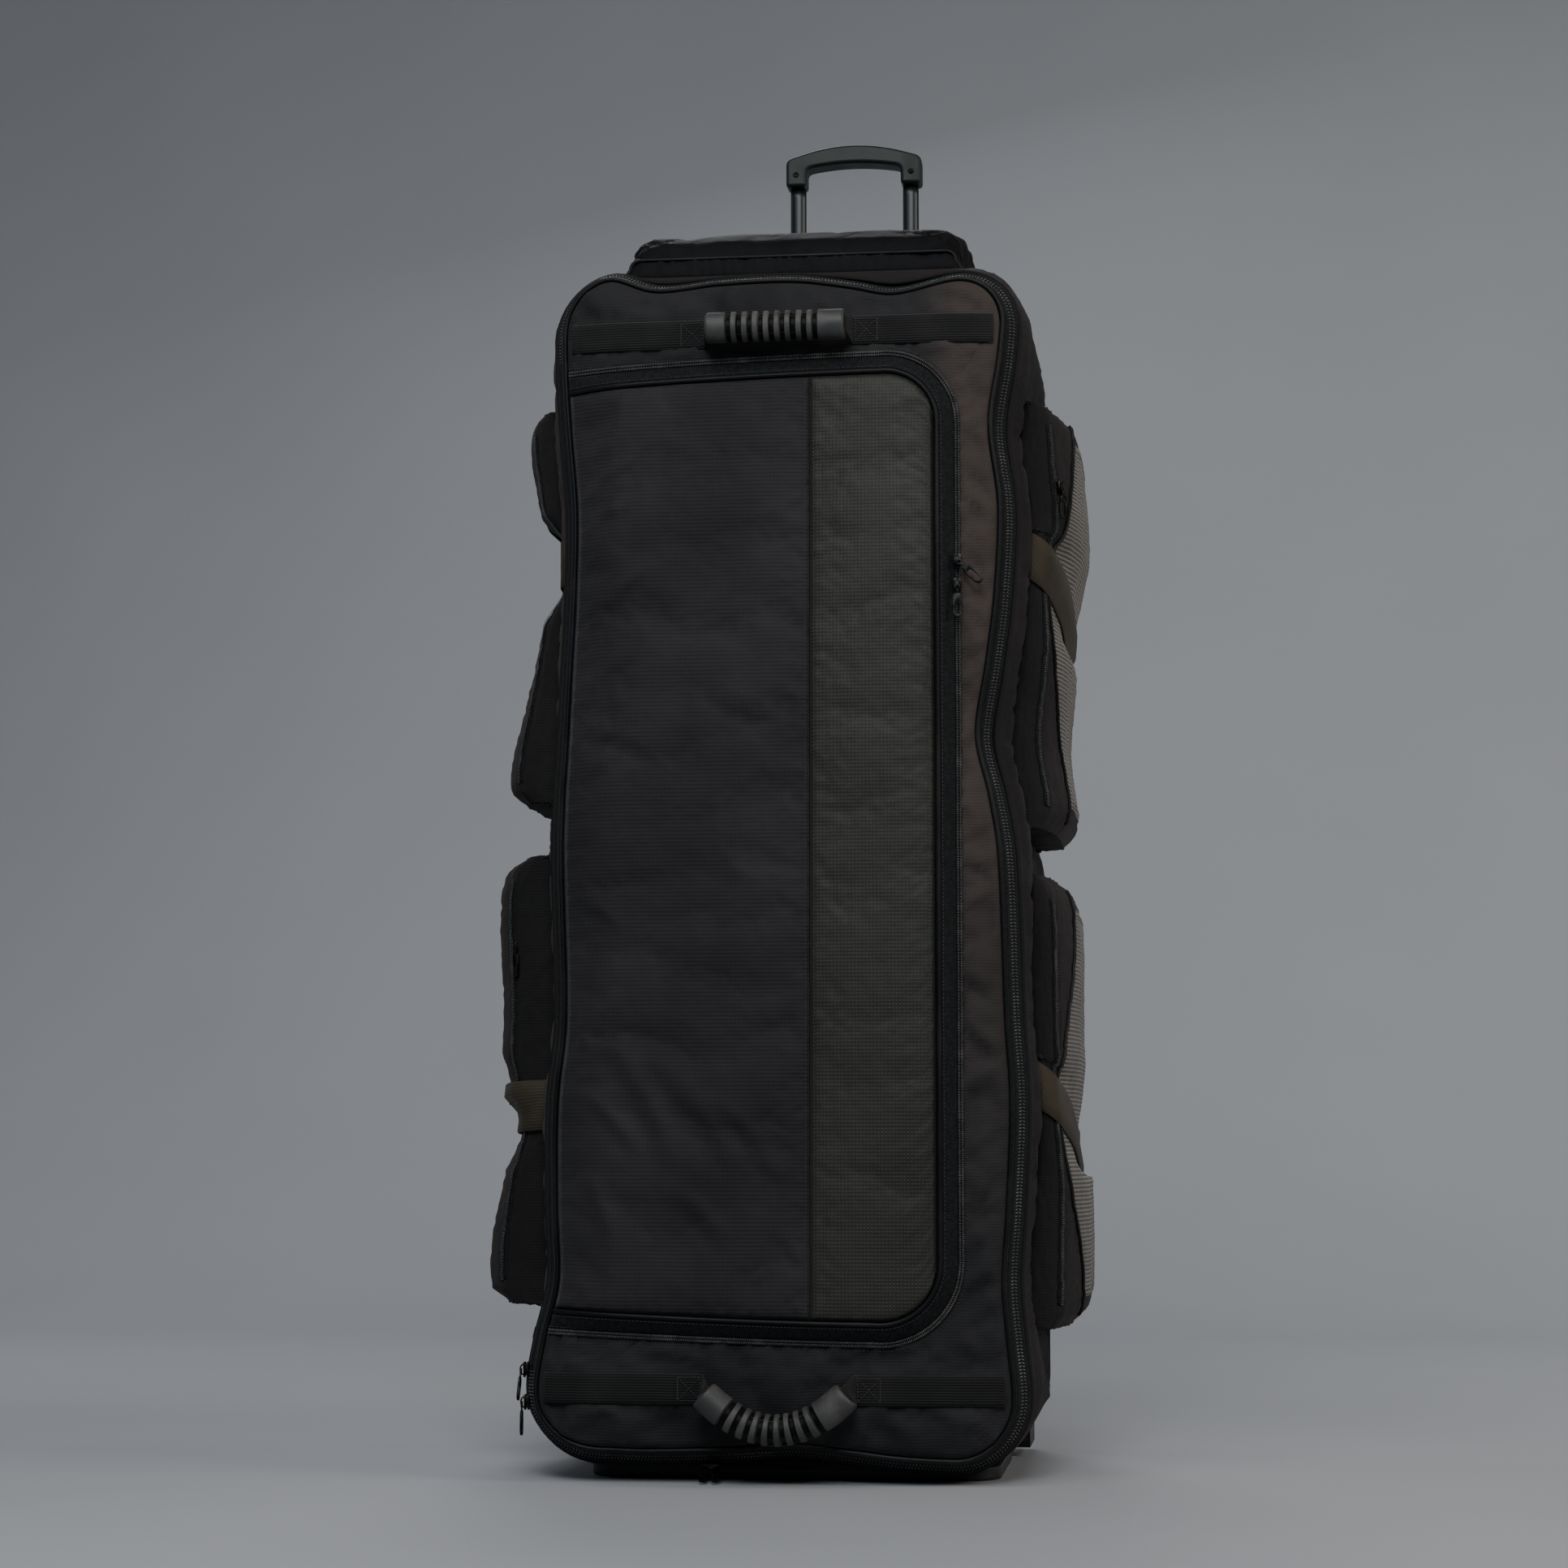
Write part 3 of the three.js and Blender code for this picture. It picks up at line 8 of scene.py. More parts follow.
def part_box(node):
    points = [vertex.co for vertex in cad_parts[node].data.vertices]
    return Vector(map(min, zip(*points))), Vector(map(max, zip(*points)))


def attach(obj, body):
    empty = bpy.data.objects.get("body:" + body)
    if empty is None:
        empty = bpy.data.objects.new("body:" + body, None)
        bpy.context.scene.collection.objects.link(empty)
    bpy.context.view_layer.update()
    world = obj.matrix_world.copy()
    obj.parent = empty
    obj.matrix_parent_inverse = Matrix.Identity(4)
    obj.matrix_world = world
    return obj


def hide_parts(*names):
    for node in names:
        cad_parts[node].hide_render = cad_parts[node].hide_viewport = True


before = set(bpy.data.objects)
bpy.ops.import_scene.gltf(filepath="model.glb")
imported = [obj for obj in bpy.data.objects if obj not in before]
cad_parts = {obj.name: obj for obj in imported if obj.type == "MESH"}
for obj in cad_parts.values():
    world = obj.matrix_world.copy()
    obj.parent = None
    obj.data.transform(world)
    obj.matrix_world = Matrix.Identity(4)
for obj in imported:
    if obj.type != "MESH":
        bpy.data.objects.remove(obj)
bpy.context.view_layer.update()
scene = bpy.context.scene

# The camera: a long lens a little above the floor, seven degrees round to the bag's right,
# tipped slightly up, as the bag was photographed.
CAMERA = {"distance": 2.67, "round": math.radians(7), "tip_up": math.radians(6.2), "height": 0.27,
          "front": -0.175, "lens": 76, "film": 36}
camera_data = bpy.data.cameras.new("camera")
camera_data.lens = CAMERA["lens"]
camera_data.sensor_width = CAMERA["film"]
camera = bpy.data.objects.new("camera", camera_data)
camera.location = (CAMERA["distance"] * math.sin(CAMERA["round"]),
                   CAMERA["front"] - CAMERA["distance"] * math.cos(CAMERA["round"]),
                   CAMERA["height"])
camera.rotation_euler = (math.pi / 2 + CAMERA["tip_up"], 0, CAMERA["round"])
scene.collection.objects.link(camera)
scene.camera = camera


# The studio: a pale grey paper sweep, that lies on the floor and curves up behind the bag,
# and large soft lamps. The sweep takes a finish as the bag's pieces do, so the finish tools come here.
class Value:
    """One output of a finish's nodes. Reckoning with it adds Math nodes."""

    def __init__(self, finish, socket):
        self.finish = finish
        self.socket = socket

    def reckon(self, operation, *numbers):
        sockets = dict(enumerate(numbers))
        return self.finish.node("ShaderNodeMath", {"operation": operation}, sockets)

    def __add__(self, other):
        return self.reckon("ADD", self, other)

    def __sub__(self, other):
        return self.reckon("SUBTRACT", self, other)

    def __rsub__(self, other):
        return self.reckon("SUBTRACT", other, self)

    def __mul__(self, other):
        return self.reckon("MULTIPLY", self, other)

    __radd__ = __add__
    __rmul__ = __mul__

    def sine(self):
        return self.reckon("SINE", self)

    def size(self):
        return self.reckon("ABSOLUTE", self)

    def least(self, other):
        return self.reckon("MINIMUM", self, other)

    def most(self, other):
        return self.reckon("MAXIMUM", self, other)

    def share(self, start, end, low=0.0, high=1.0):
        """How far this value is from start to end, eased, from low to high."""
        settings = {"interpolation_type": "SMOOTHSTEP"}
        sockets = {"Value": self, "From Min": start, "From Max": end, "To Min": low, "To Max": high}
        return self.finish.node("ShaderNodeMapRange", settings, sockets)


NOISE_ROUGHNESS = 0.55


class Nodes:
    """A node tree, whose nodes are added with their settings first and then their sockets' values or links."""

    def add(self, kind, settings, sockets, output):
        made = self.tree.nodes.new(kind)
        for key, value in (settings or {}).items():
            setattr(made, key, value)
        for key, value in (sockets or {}).items():
            self.feed(made.inputs[key], value)
        return made.outputs[output]


class Finish(Nodes):
    """A procedural material with one Principled shader."""

    def __init__(self, name, **fixed):
        self.material = bpy.data.materials.new(name)
        self.material.use_nodes = True
        self.tree = self.material.node_tree
        self.shader = self.tree.nodes["Principled BSDF"]
        for key, value in fixed.items():
            self.feed(self.shader.inputs[key.replace("_", " ")], value)

    def feed(self, socket, value):
        if isinstance(value, Value):
            self.tree.links.new(value.socket, socket)
        elif hasattr(value, "__len__") and len(value) == 3 and socket.type == "RGBA":
            socket.default_value = (*value, 1)
        else:
            socket.default_value = value

    def node(self, kind, settings=None, sockets=None, output=0):
        return Value(self, self.add(kind, settings, sockets, output))

    def place(self, output="Object"):
        return self.node("ShaderNodeTexCoord", output=output)

    def part(self, vector, axis):
        return self.node("ShaderNodeSeparateXYZ", sockets={0: vector}, output="XYZ".index(axis))

    def noise(self, vector, scale, detail=3.0, stretch=None):
        if stretch:
            vector = self.node("ShaderNodeMapping", sockets={"Vector": vector, "Scale": stretch})
        sockets = {"Vector": vector, "Scale": scale, "Detail": detail, "Roughness": NOISE_ROUGHNESS}
        return self.node("ShaderNodeTexNoise", sockets=sockets, output="Fac")

    def mix(self, share, first, second):
        settings = {"data_type": "RGBA"}
        sockets = {0: share, 6: first, 7: second}
        return self.node("ShaderNodeMix", settings, sockets, output=2)

    def bump(self, height, distance, strength=1.0, under=None):
        sockets = {"Strength": strength, "Distance": distance, "Height": height}
        if under:
            sockets["Normal"] = under
        return self.node("ShaderNodeBump", sockets=sockets)

    def wear(self, **links):
        """Links values to the shader's sockets, named with _ for each space."""
        for key, value in links.items():
            self.feed(self.shader.inputs[key.replace("_", " ")], value)
        return self.material


def belongs(piece, node=None):
    """Attaches a piece to the case's body, and hides the CAD node that it stands for, if one is given."""
    if node:
        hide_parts(node)
    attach(piece, "case")


def new_piece(name, points, faces, material=None, smooth=True):
    """A new object at the origin, its place in its mesh."""
    mesh = bpy.data.meshes.new(name)
    mesh.from_pydata([tuple(point) for point in points], [], faces)
    mesh.update()
    if material:
        mesh.materials.append(material)
    if smooth:
        mesh.shade_smooth()
    piece = bpy.data.objects.new(name, mesh)
    scene.collection.objects.link(piece)
    return piece


SWEEP = {"half": 6.0, "front": -4.5, "bend_from": 1.9, "radius": 1.6, "top": 5.0, "steps": 16}
sweep_line = [(SWEEP["front"], 0.0)]
for step in range(SWEEP["steps"] + 1):
    turn = math.pi / 2 * step / SWEEP["steps"]
    sweep_line.append((SWEEP["bend_from"] + SWEEP["radius"] * math.sin(turn),
                       SWEEP["radius"] * (1 - math.cos(turn))))
sweep_line.append((SWEEP["bend_from"] + SWEEP["radius"], SWEEP["top"]))
sweep_points = [(side * SWEEP["half"], y, z) for y, z in sweep_line for side in (-1, 1)]
sweep_faces = [(2 * i, 2 * i + 1, 2 * i + 3, 2 * i + 2) for i in range(len(sweep_line) - 1)]
paper = Finish("studio_paper", Roughness=0.62, Specular_IOR_Level=0.25)
mottle = paper.noise(paper.place(), 2.5, detail=2.0)
paper.wear(Base_Color=paper.mix(mottle, (0.33, 0.345, 0.37), (0.36, 0.375, 0.40)))
sweep = new_piece("studio_sweep", sweep_points, sweep_faces, paper.material)

AIR = {"tint": (0.55, 0.6, 0.68, 1), "strength": 0.09}
LAMPS = [
    {"name": "key_lamp", "at": (-0.5, -1.7, 2.55), "to": (0, 0, 0.75), "wide": 1.4, "power": 23,
     "tint": (1.0, 0.98, 0.96)},
    {"name": "side_lamp", "at": (2.4, -1.0, 1.7), "to": (0.1, 0, 0.7), "wide": 1.0, "power": 27,
     "tint": (1.0, 0.90, 0.80)},
    {"name": "rim_lamp", "at": (-2.6, 0.6, 2.0), "to": (0, 0, 0.7), "wide": 1.2, "power": 5,
     "tint": (0.92, 0.96, 1.0)},
    {"name": "back_lamp", "at": (-0.5, 2.5, 3.1), "to": (0, 0.2, 0.6), "wide": 1.3, "power": 28,
     "tint": (0.96, 0.98, 1.0)},
    {"name": "floor_lamp", "at": (0.3, -3.0, 2.2), "to": (0.3, -1.75, 0), "wide": 1.2, "power": 62,
     "tint": (0.95, 0.98, 1.0)},
    {"name": "backdrop_lamp", "at": (2.7, 0.6, 0.9), "to": (1.9, 3.3, 0.1), "wide": 1.1, "power": 42,
     "tint": (1.0, 0.98, 0.96)},
    {"name": "backdrop_lamp_left", "at": (-2.4, 0.6, 1.2), "to": (-1.6, 3.3, 0.3), "wide": 1.2, "power": 11,
     "tint": (0.96, 0.98, 1.0)},
]
for row in LAMPS:
    lamp_data = bpy.data.lights.new(row["name"], "AREA")
    lamp_data.shape = "SQUARE"
    lamp_data.size = row["wide"]
    lamp_data.energy = row["power"]
    lamp_data.color = row["tint"]
    lamp = bpy.data.objects.new(row["name"], lamp_data)
    lamp.location = row["at"]
    lamp.rotation_euler = (Vector(row["to"]) - Vector(row["at"])).to_track_quat("-Z", "Y").to_euler()
    scene.collection.objects.link(lamp)
world = bpy.data.worlds.new("studio_air")
world.use_nodes = True
world.node_tree.nodes["Background"].inputs["Color"].default_value = AIR["tint"]
world.node_tree.nodes["Background"].inputs["Strength"].default_value = AIR["strength"]
scene.world = world


# The front lid: padded black polyester over foam, sewn into corded seams all round.
# It is crowned, drawn in at the waist, and creases where the pocket and the grab handles pull on it.
MM = 0.001
LID = {"half": 180, "bottom": 28, "top": 977, "corner": 42, "y": -176, "rim": 12, "crown": 8,
       "crown_run": 70, "cell": 5.0, "dip": 14, "wall": 0.0024}
WAIST = [  # share of the height, then the width on the left and right as shares of the lid's own
    (0.0, 1.06, 0.99), (0.05, 1.1, 1.0), (0.09, 1.07, 0.98), (0.14, 1.01, 0.96), (0.2, 1.02, 0.98),
    (0.29, 1.02, 1.0), (0.36, 0.985, 0.98), (0.5, 1.005, 0.955), (0.55, 1.0, 0.915), (0.6, 0.985, 0.86),
    (0.66, 0.97, 0.905), (0.72, 0.955, 0.945), (0.8, 0.95, 0.965), (0.87, 0.98, 0.925),
    (0.93, 1.0, 0.97), (1.0, 1.0, 1.0),
]
END_WAVES = [  # share of the half width, then the dips of the top and of the bottom edge
    (-1.0, 0.3, -0.2), (-0.8, 0.3, 0.1), (-0.6, -0.5, 0.05), (-0.3, -0.2, 0.15), (0.05, -0.15, 0.4),
    (0.3, -0.6, 0.1), (0.5, -1.05, -0.2), (0.75, -0.4, -0.35), (1.0, 0.0, -0.3),
]


def read_table(rows, column, at):
    """Smooth curve through one column of a table, read at many places at once."""
    at = np.asarray(at, dtype=float)
    keys = np.array([row[0] for row in rows], dtype=float)
    values = np.array([row[column] for row in rows], dtype=float)
    last = len(keys) - 1
    i = np.clip(np.searchsorted(keys, at, side="left") - 1, 0, last - 1)
    span = keys[i + 1] - keys[i]
    t = np.clip((at - keys[i]) / span, 0, 1)

    def slope(a, b):
        return (values[b] - values[a]) / (keys[b] - keys[a])

    slope_in = slope(np.maximum(i - 1, 0), i + 1) * span
    slope_out = slope(i, np.minimum(i + 2, last)) * span
    start = values[i] * (2 * t**3 - 3 * t**2 + 1) + slope_in * (t**3 - 2 * t**2 + t)
    end = values[i + 1] * (3 * t**2 - 2 * t**3) + slope_out * (t**3 - t**2)
    return start + end


def waist(x, z, follow=1.0):
    """Share by which the bag is drawn in or out at a height, on the side that x is on."""
    v = np.clip((z - LID["bottom"]) / (LID["top"] - LID["bottom"]), 0, 1)
    share = np.where(np.asarray(x) < 0, read_table(WAIST, 1, v), read_table(WAIST, 2, v))
    return 1 + (share - 1) * follow


def bag_warp(x, y, z, follow=1.0, wave=1.0, rise=0.0):
    """Gives plain outline points the bag's waist and the waves of its two ends."""
    v = np.clip((z - LID["bottom"]) / (LID["top"] - LID["bottom"]), 0, 1)
    u = np.clip(x / LID["half"], -1, 1)
    waves = read_table(END_WAVES, 1, u) * v**6 + read_table(END_WAVES, 2, u) * (1 - v) ** 6
    lift = LID["dip"] * wave * waves + rise * v**6
    return np.stack([x * waist(x, z, follow), np.broadcast_to(y, x.shape), z + lift], axis=-1)


def crown_at(inset):
    """Depth of the lid's crowned face at a distance in from its edge."""
    run = np.clip(inset / LID["crown_run"], 0, 1)
    return LID["y"] - LID["crown"] * (1 - (1 - run) ** 2)


def lid_face(x, z):
    """Depth of the lid's outer face at a place."""
    plain = np.abs(x) / waist(x, z)
    inset = np.minimum(np.minimum(LID["half"] - plain, z - LID["bottom"]), LID["top"] - z)
    return crown_at(inset)


def round_corners(x, z, half, low, high, radius):
    """Moves the corners of a grid inwards on to a rounded outline."""
    middle = (low + high) / 2
    a = np.clip((np.abs(x) - (half - radius)) / radius, 0, 1)
    b = np.clip((np.abs(z - middle) - ((high - low) / 2 - radius)) / radius, 0, 1)
    turned_a = a * np.sqrt(1 - b**2 / 2)
    turned_b = b * np.sqrt(1 - a**2 / 2)
    return x + np.sign(x) * (turned_a - a) * radius, z + np.sign(z - middle) * (turned_b - b) * radius


def grid_faces(rows, columns, start=0, closed=False, flip=False):
    """Faces of a grid of points, row by row; closed joins each row's ends."""
    faces = []
    for r in range(rows - 1):
        for c in range(columns if closed else columns - 1):
            d = (c + 1) % columns
            face = (start + r * columns + c, start + r * columns + d,
                    start + (r + 1) * columns + d, start + (r + 1) * columns + c)
            faces.append(face[::-1] if flip else face)
    return faces


def cloth_map(piece, across, along):
    """A UV map in metres on the cloth, so that its weave follows it."""
    layer = piece.data.uv_layers.new(name="cloth")
    loops = np.empty(len(piece.data.loops), dtype=np.int32)
    piece.data.loops.foreach_get("vertex_index", loops)
    flat = np.stack([np.asarray(across).ravel()[loops], np.asarray(along).ravel()[loops]], axis=-1)
    layer.data.foreach_set("uv", flat.astype(np.float32).ravel())


def spots_of(piece, kind="co"):
    """The points of a piece as rows of three in metres, or their normals."""
    spots = np.empty(len(piece.data.vertices) * 3)
    piece.data.vertices.foreach_get(kind, spots)
    return spots.reshape(-1, 3)


def put_spots(piece, spots):
    piece.data.vertices.foreach_set("co", np.ravel(spots))
    piece.data.update()


CLOTH = {"quality": 5, "mass": 0.15, "tension_stiffness": 30, "compression_stiffness": 30,
         "shear_stiffness": 12, "air_damping": 4, "vertex_group_mass": "sewn", "use_pressure": True}
CLOTH_RUN = {"steps": 20, "nudge": 0.0004}


def settle(piece, sewn, slack, swell, cap, stiff, seed):
    """Lets the cloth swell and crease between its sewn points; no point moves further than its cap.

    sewn is 1 where a point is held and 0 where it is free, slack is the spare cloth as a share,
    swell the pressure from inside, cap the most that a point may move, in metres, and stiff how
    hard the cloth is to bend.
    """
    start = spots_of(piece)
    count = len(start)
    shaker = np.random.default_rng(seed)
    nudge = shaker.normal(0, CLOTH_RUN["nudge"], count) * (1 - np.asarray(sewn))
    nudged = start + spots_of(piece, "normal") * nudge[:, None]
    piece.data.vertices.foreach_set("co", nudged.ravel())
    group = piece.vertex_groups.new(name="sewn")
    for weight in np.unique(np.round(sewn, 2)):
        chosen = np.flatnonzero(np.round(sewn, 2) == weight)
        group.add(chosen.tolist(), float(weight), "REPLACE")
    cloth = piece.modifiers.new("cloth", "CLOTH")
    for key, value in CLOTH.items():
        setattr(cloth.settings, key, value)
    cloth.settings.bending_stiffness = stiff
    cloth.settings.shrink_min = -slack
    cloth.settings.uniform_pressure_force = swell
    cloth.settings.effector_weights.gravity = 0
    cloth.collision_settings.use_collision = False
    cloth.point_cache.frame_start = 1
    cloth.point_cache.frame_end = CLOTH_RUN["steps"]
    for step in range(1, CLOTH_RUN["steps"] + 1):
        scene.frame_set(step)
    settled = piece.evaluated_get(bpy.context.evaluated_depsgraph_get())
    end = spots_of(settled)
    piece.modifiers.remove(cloth)
    piece.vertex_groups.remove(group)
    scene.frame_set(1)
    move = end - start
    reach = np.linalg.norm(move, axis=1)
    limit = np.asarray(cap) * np.ones(count)
    allowed = limit * np.tanh(reach / np.maximum(limit, 1e-6))
    scale = np.where(reach > 1e-9, allowed / np.maximum(reach, 1e-9), 0)
    put_spots(piece, start + move * scale[:, None])


CREASE = {"bow": 0.06, "dip": 0.55, "dip_at": 1.7, "high": 1.5, "taper": 0.7}


def creased(x, z, creases):
    """How far creases lift cloth, in millimetres.

    Each is a row of the places across and up where it starts and ends, its width and its height:
    a bowed ridge that tapers to both ends, with a dip beside it.
    """
    lift = np.zeros(np.shape(x))
    for start_x, start_z, end_x, end_z, wide, high in creases:
        run_x, run_z = end_x - start_x, end_z - start_z
        long = math.hypot(run_x, run_z)
        share = ((x - start_x) * run_x + (z - start_z) * run_z) / long**2
        bow = CREASE["bow"] * long * np.sin(np.clip(share, 0, 1) * math.pi)
        away = ((z - start_z) * run_x - (x - start_x) * run_z) / long - bow
        dip = np.exp(-(((away + CREASE["dip_at"] * wide) / wide) ** 2))
        ridge = np.exp(-((away / wide) ** 2)) - CREASE["dip"] * dip
        lift += CREASE["high"] * high * np.sin(np.clip(share, 0, 1) * math.pi) ** CREASE["taper"] * ridge
    return lift


def press_out(piece, lift):
    """Moves each point of a piece towards the front, by millimetres."""
    spots = spots_of(piece)
    spots[:, 1] -= lift * MM
    put_spots(piece, spots)


def apply_all(piece):
    """Turns a piece with its modifiers into a plain mesh."""
    depsgraph = bpy.context.evaluated_depsgraph_get()
    plain = bpy.data.meshes.new_from_object(piece.evaluated_get(depsgraph), depsgraph=depsgraph)
    piece.modifiers.clear()
    piece.data = plain
    plain.name = piece.name


def lid_spaces(low, high, cell):
    """Even places from low to high, about a cell apart."""
    return np.linspace(low, high, int(round((high - low) / cell)) + 1)


GRAB = {"top": 932, "bottom": 76, "cover": 13, "reach": 170, "middle": -3.5, "free": 52}
FLAP = {"left": -172, "right": 124, "top": 893, "bottom": 130, "corner_top": 40, "corner_bottom": 46,
        "seam": 23, "wall": 2.5, "lift": 9, "low_lift": 0.9, "top_slope": 9, "bottom_slope": 9,
        "edge": 22, "rise_run": 45, "drawn_from": -60, "hinge_in": 1.2, "cell": 3.6}
lid_x, lid_z = np.meshgrid(lid_spaces(-LID["half"], LID["half"], LID["cell"]),
                           lid_spaces(LID["bottom"], LID["top"], LID["cell"]))
lid_rows, lid_columns = lid_x.shape
lid_round = round_corners(lid_x, lid_z, LID["half"], LID["bottom"], LID["top"], LID["corner"])
lid_inset = np.minimum(np.minimum(LID["half"] - np.abs(lid_x), lid_z - LID["bottom"]), LID["top"] - lid_z)
lid_points = bag_warp(lid_round[0], crown_at(lid_inset), lid_round[1]).reshape(-1, 3)
edge_ring = list(range(lid_columns))
edge_ring += [r * lid_columns + lid_columns - 1 for r in range(1, lid_rows)]
edge_ring += [(lid_rows - 1) * lid_columns + c for c in range(lid_columns - 2, -1, -1)]
edge_ring += [r * lid_columns for r in range(lid_rows - 2, 0, -1)]
lid_faces = grid_faces(lid_rows, lid_columns)
lid_edge = lid_points[edge_ring]
lid_rim = [lid_edge + [0, 1.5, 0], lid_edge + [0, 6, 0], lid_edge + [0, LID["rim"], 0]]
lid_all = np.concatenate([lid_points] + lid_rim)
before = edge_ring
for step in range(len(lid_rim)):
    first = len(lid_points) + step * len(edge_ring)
    after = list(range(first, first + len(edge_ring)))
    for i in range(len(edge_ring)):
        j = (i + 1) % len(edge_ring)
        lid_faces.append((before[j], before[i], after[i], after[j]))
    before = after
front_lid = new_piece("front_lid", lid_all * MM, lid_faces)
cloth_map(front_lid, lid_all[:, 0] * MM, lid_all[:, 2] * MM)
flap_in_x = np.minimum(lid_all[:, 0] - FLAP["left"], FLAP["right"] + FLAP["edge"] - lid_all[:, 0])
flap_in_z = np.minimum(lid_all[:, 2] - (FLAP["bottom"] - FLAP["edge"]),
                       FLAP["top"] + FLAP["edge"] - lid_all[:, 2])
under_flap = np.clip(np.minimum(flap_in_x, flap_in_z) / 6, 0, 1)
at_edge = np.zeros(len(lid_all))
at_edge[len(lid_points):] = 1
at_edge[edge_ring] = 1
under_strap = np.zeros(len(lid_all))
for strap_z in (GRAB["top"], GRAB["bottom"]):
    on_strap = (np.abs(lid_all[:, 2] - strap_z) < GRAB["cover"]) & (np.abs(lid_all[:, 0]) < GRAB["reach"])
    beside_grip = np.abs(lid_all[:, 0] - GRAB["middle"]) > GRAB["free"]
    under_strap = np.maximum(under_strap, on_strap * beside_grip)
lid_sewn = np.maximum(np.maximum(under_flap, at_edge), under_strap)
lid_cap = np.where(lid_sewn > 0.9, 0.0002, 0.006)
settle(front_lid, lid_sewn, slack=0.06, swell=0.7, cap=lid_cap, stiff=1.2, seed=1)
# Creases of the lid: start across and up, end across and up, how wide, how high
LID_CREASES = [
    (-168, 962, -118, 948, 5, 1.6), (-150, 971, -90, 958, 5, 1.3), (78, 961, 152, 966, 5, 1.5),
    (120, 972, 168, 950, 5, 1.5), (-112, 905, -58, 919, 5, 1.6), (-60, 912, -20, 905, 4, 1.2),
    (48, 918, 84, 905, 4, 1.6), (96, 908, 158, 918, 5, 1.6), (140, 880, 172, 902, 5, 1.7),
    (142, 846, 172, 866, 4, 1.5), (140, 832, 172, 800, 4, 1.7), (142, 806, 172, 770, 4, 1.7),
    (146, 772, 172, 748, 4, 1.5), (144, 706, 170, 686, 4, 1.6), (140, 636, 162, 656, 4, 1.5),
    (140, 588, 158, 604, 3.5, 1.4), (142, 534, 160, 554, 4, 1.5), (144, 500, 166, 488, 3.5, 1.2),
    (143, 456, 172, 477, 4, 1.7), (144, 409, 174, 380, 4, 1.6), (144, 372, 172, 340, 4, 1.6),
    (148, 314, 175, 335, 4, 1.5), (144, 261, 174, 282, 4, 1.7), (144, 219, 174, 245, 4, 1.7),
    (140, 180, 174, 213, 5, 1.9), (126, 145, 174, 171, 5, 2.0), (100, 119, 164, 107, 5, 1.8),
    (70, 102, 124, 118, 4, 1.5), (-184, 112, -140, 98, 4, 1.5), (-120, 110, -70, 100, 4, 1.5),
    (-40, 102, 20, 96, 4, 1.3), (-176, 62, -120, 50, 5, 1.3), (-60, 58, -98, 38, 4, 1.5),
    (62, 60, 104, 40, 4, 1.5), (120, 56, 172, 44, 5, 1.4),
]
# Where its edge is sewn to the cord the lid puckers in small waves that die out inwards
PUCKER = {"high": 0.55, "turns": 0.33, "drift": 1.7, "drift_turns": 0.027, "run": 9}
from_edge = lid_inset.ravel()
along_edge = np.where((LID["half"] - np.abs(lid_x)).ravel() <= from_edge + 1e-6, lid_z.ravel(), lid_x.ravel())
drift = PUCKER["drift"] * np.sin(along_edge * PUCKER["drift_turns"])
pucker = PUCKER["high"] * np.sin(along_edge * PUCKER["turns"] + drift) * np.exp(-from_edge / PUCKER["run"])
lid_lift = np.zeros(len(lid_all))
lid_lift[:len(lid_points)] = creased(lid_points[:, 0], lid_points[:, 2], LID_CREASES) + pucker
press_out(front_lid, lid_lift * (1 - lid_sewn))
lid_now = spots_of(front_lid)[:len(lid_points)] / MM


LID_REACH = 7


def settled_lid(x, z):
    """Depth of the creased lid at places on it, the nearest of its points to the front there."""
    depth = []
    for place_x, place_z in zip(np.ravel(x), np.ravel(z)):
        near = (lid_now[:, 0] - place_x) ** 2 + (lid_now[:, 2] - place_z) ** 2
        close = near < LID_REACH**2
        depth.append(lid_now[close, 1].min() if close.any() else lid_face(place_x, place_z))
    return np.array(depth).reshape(np.shape(x))


WEAVE_PITCH = 0.0011


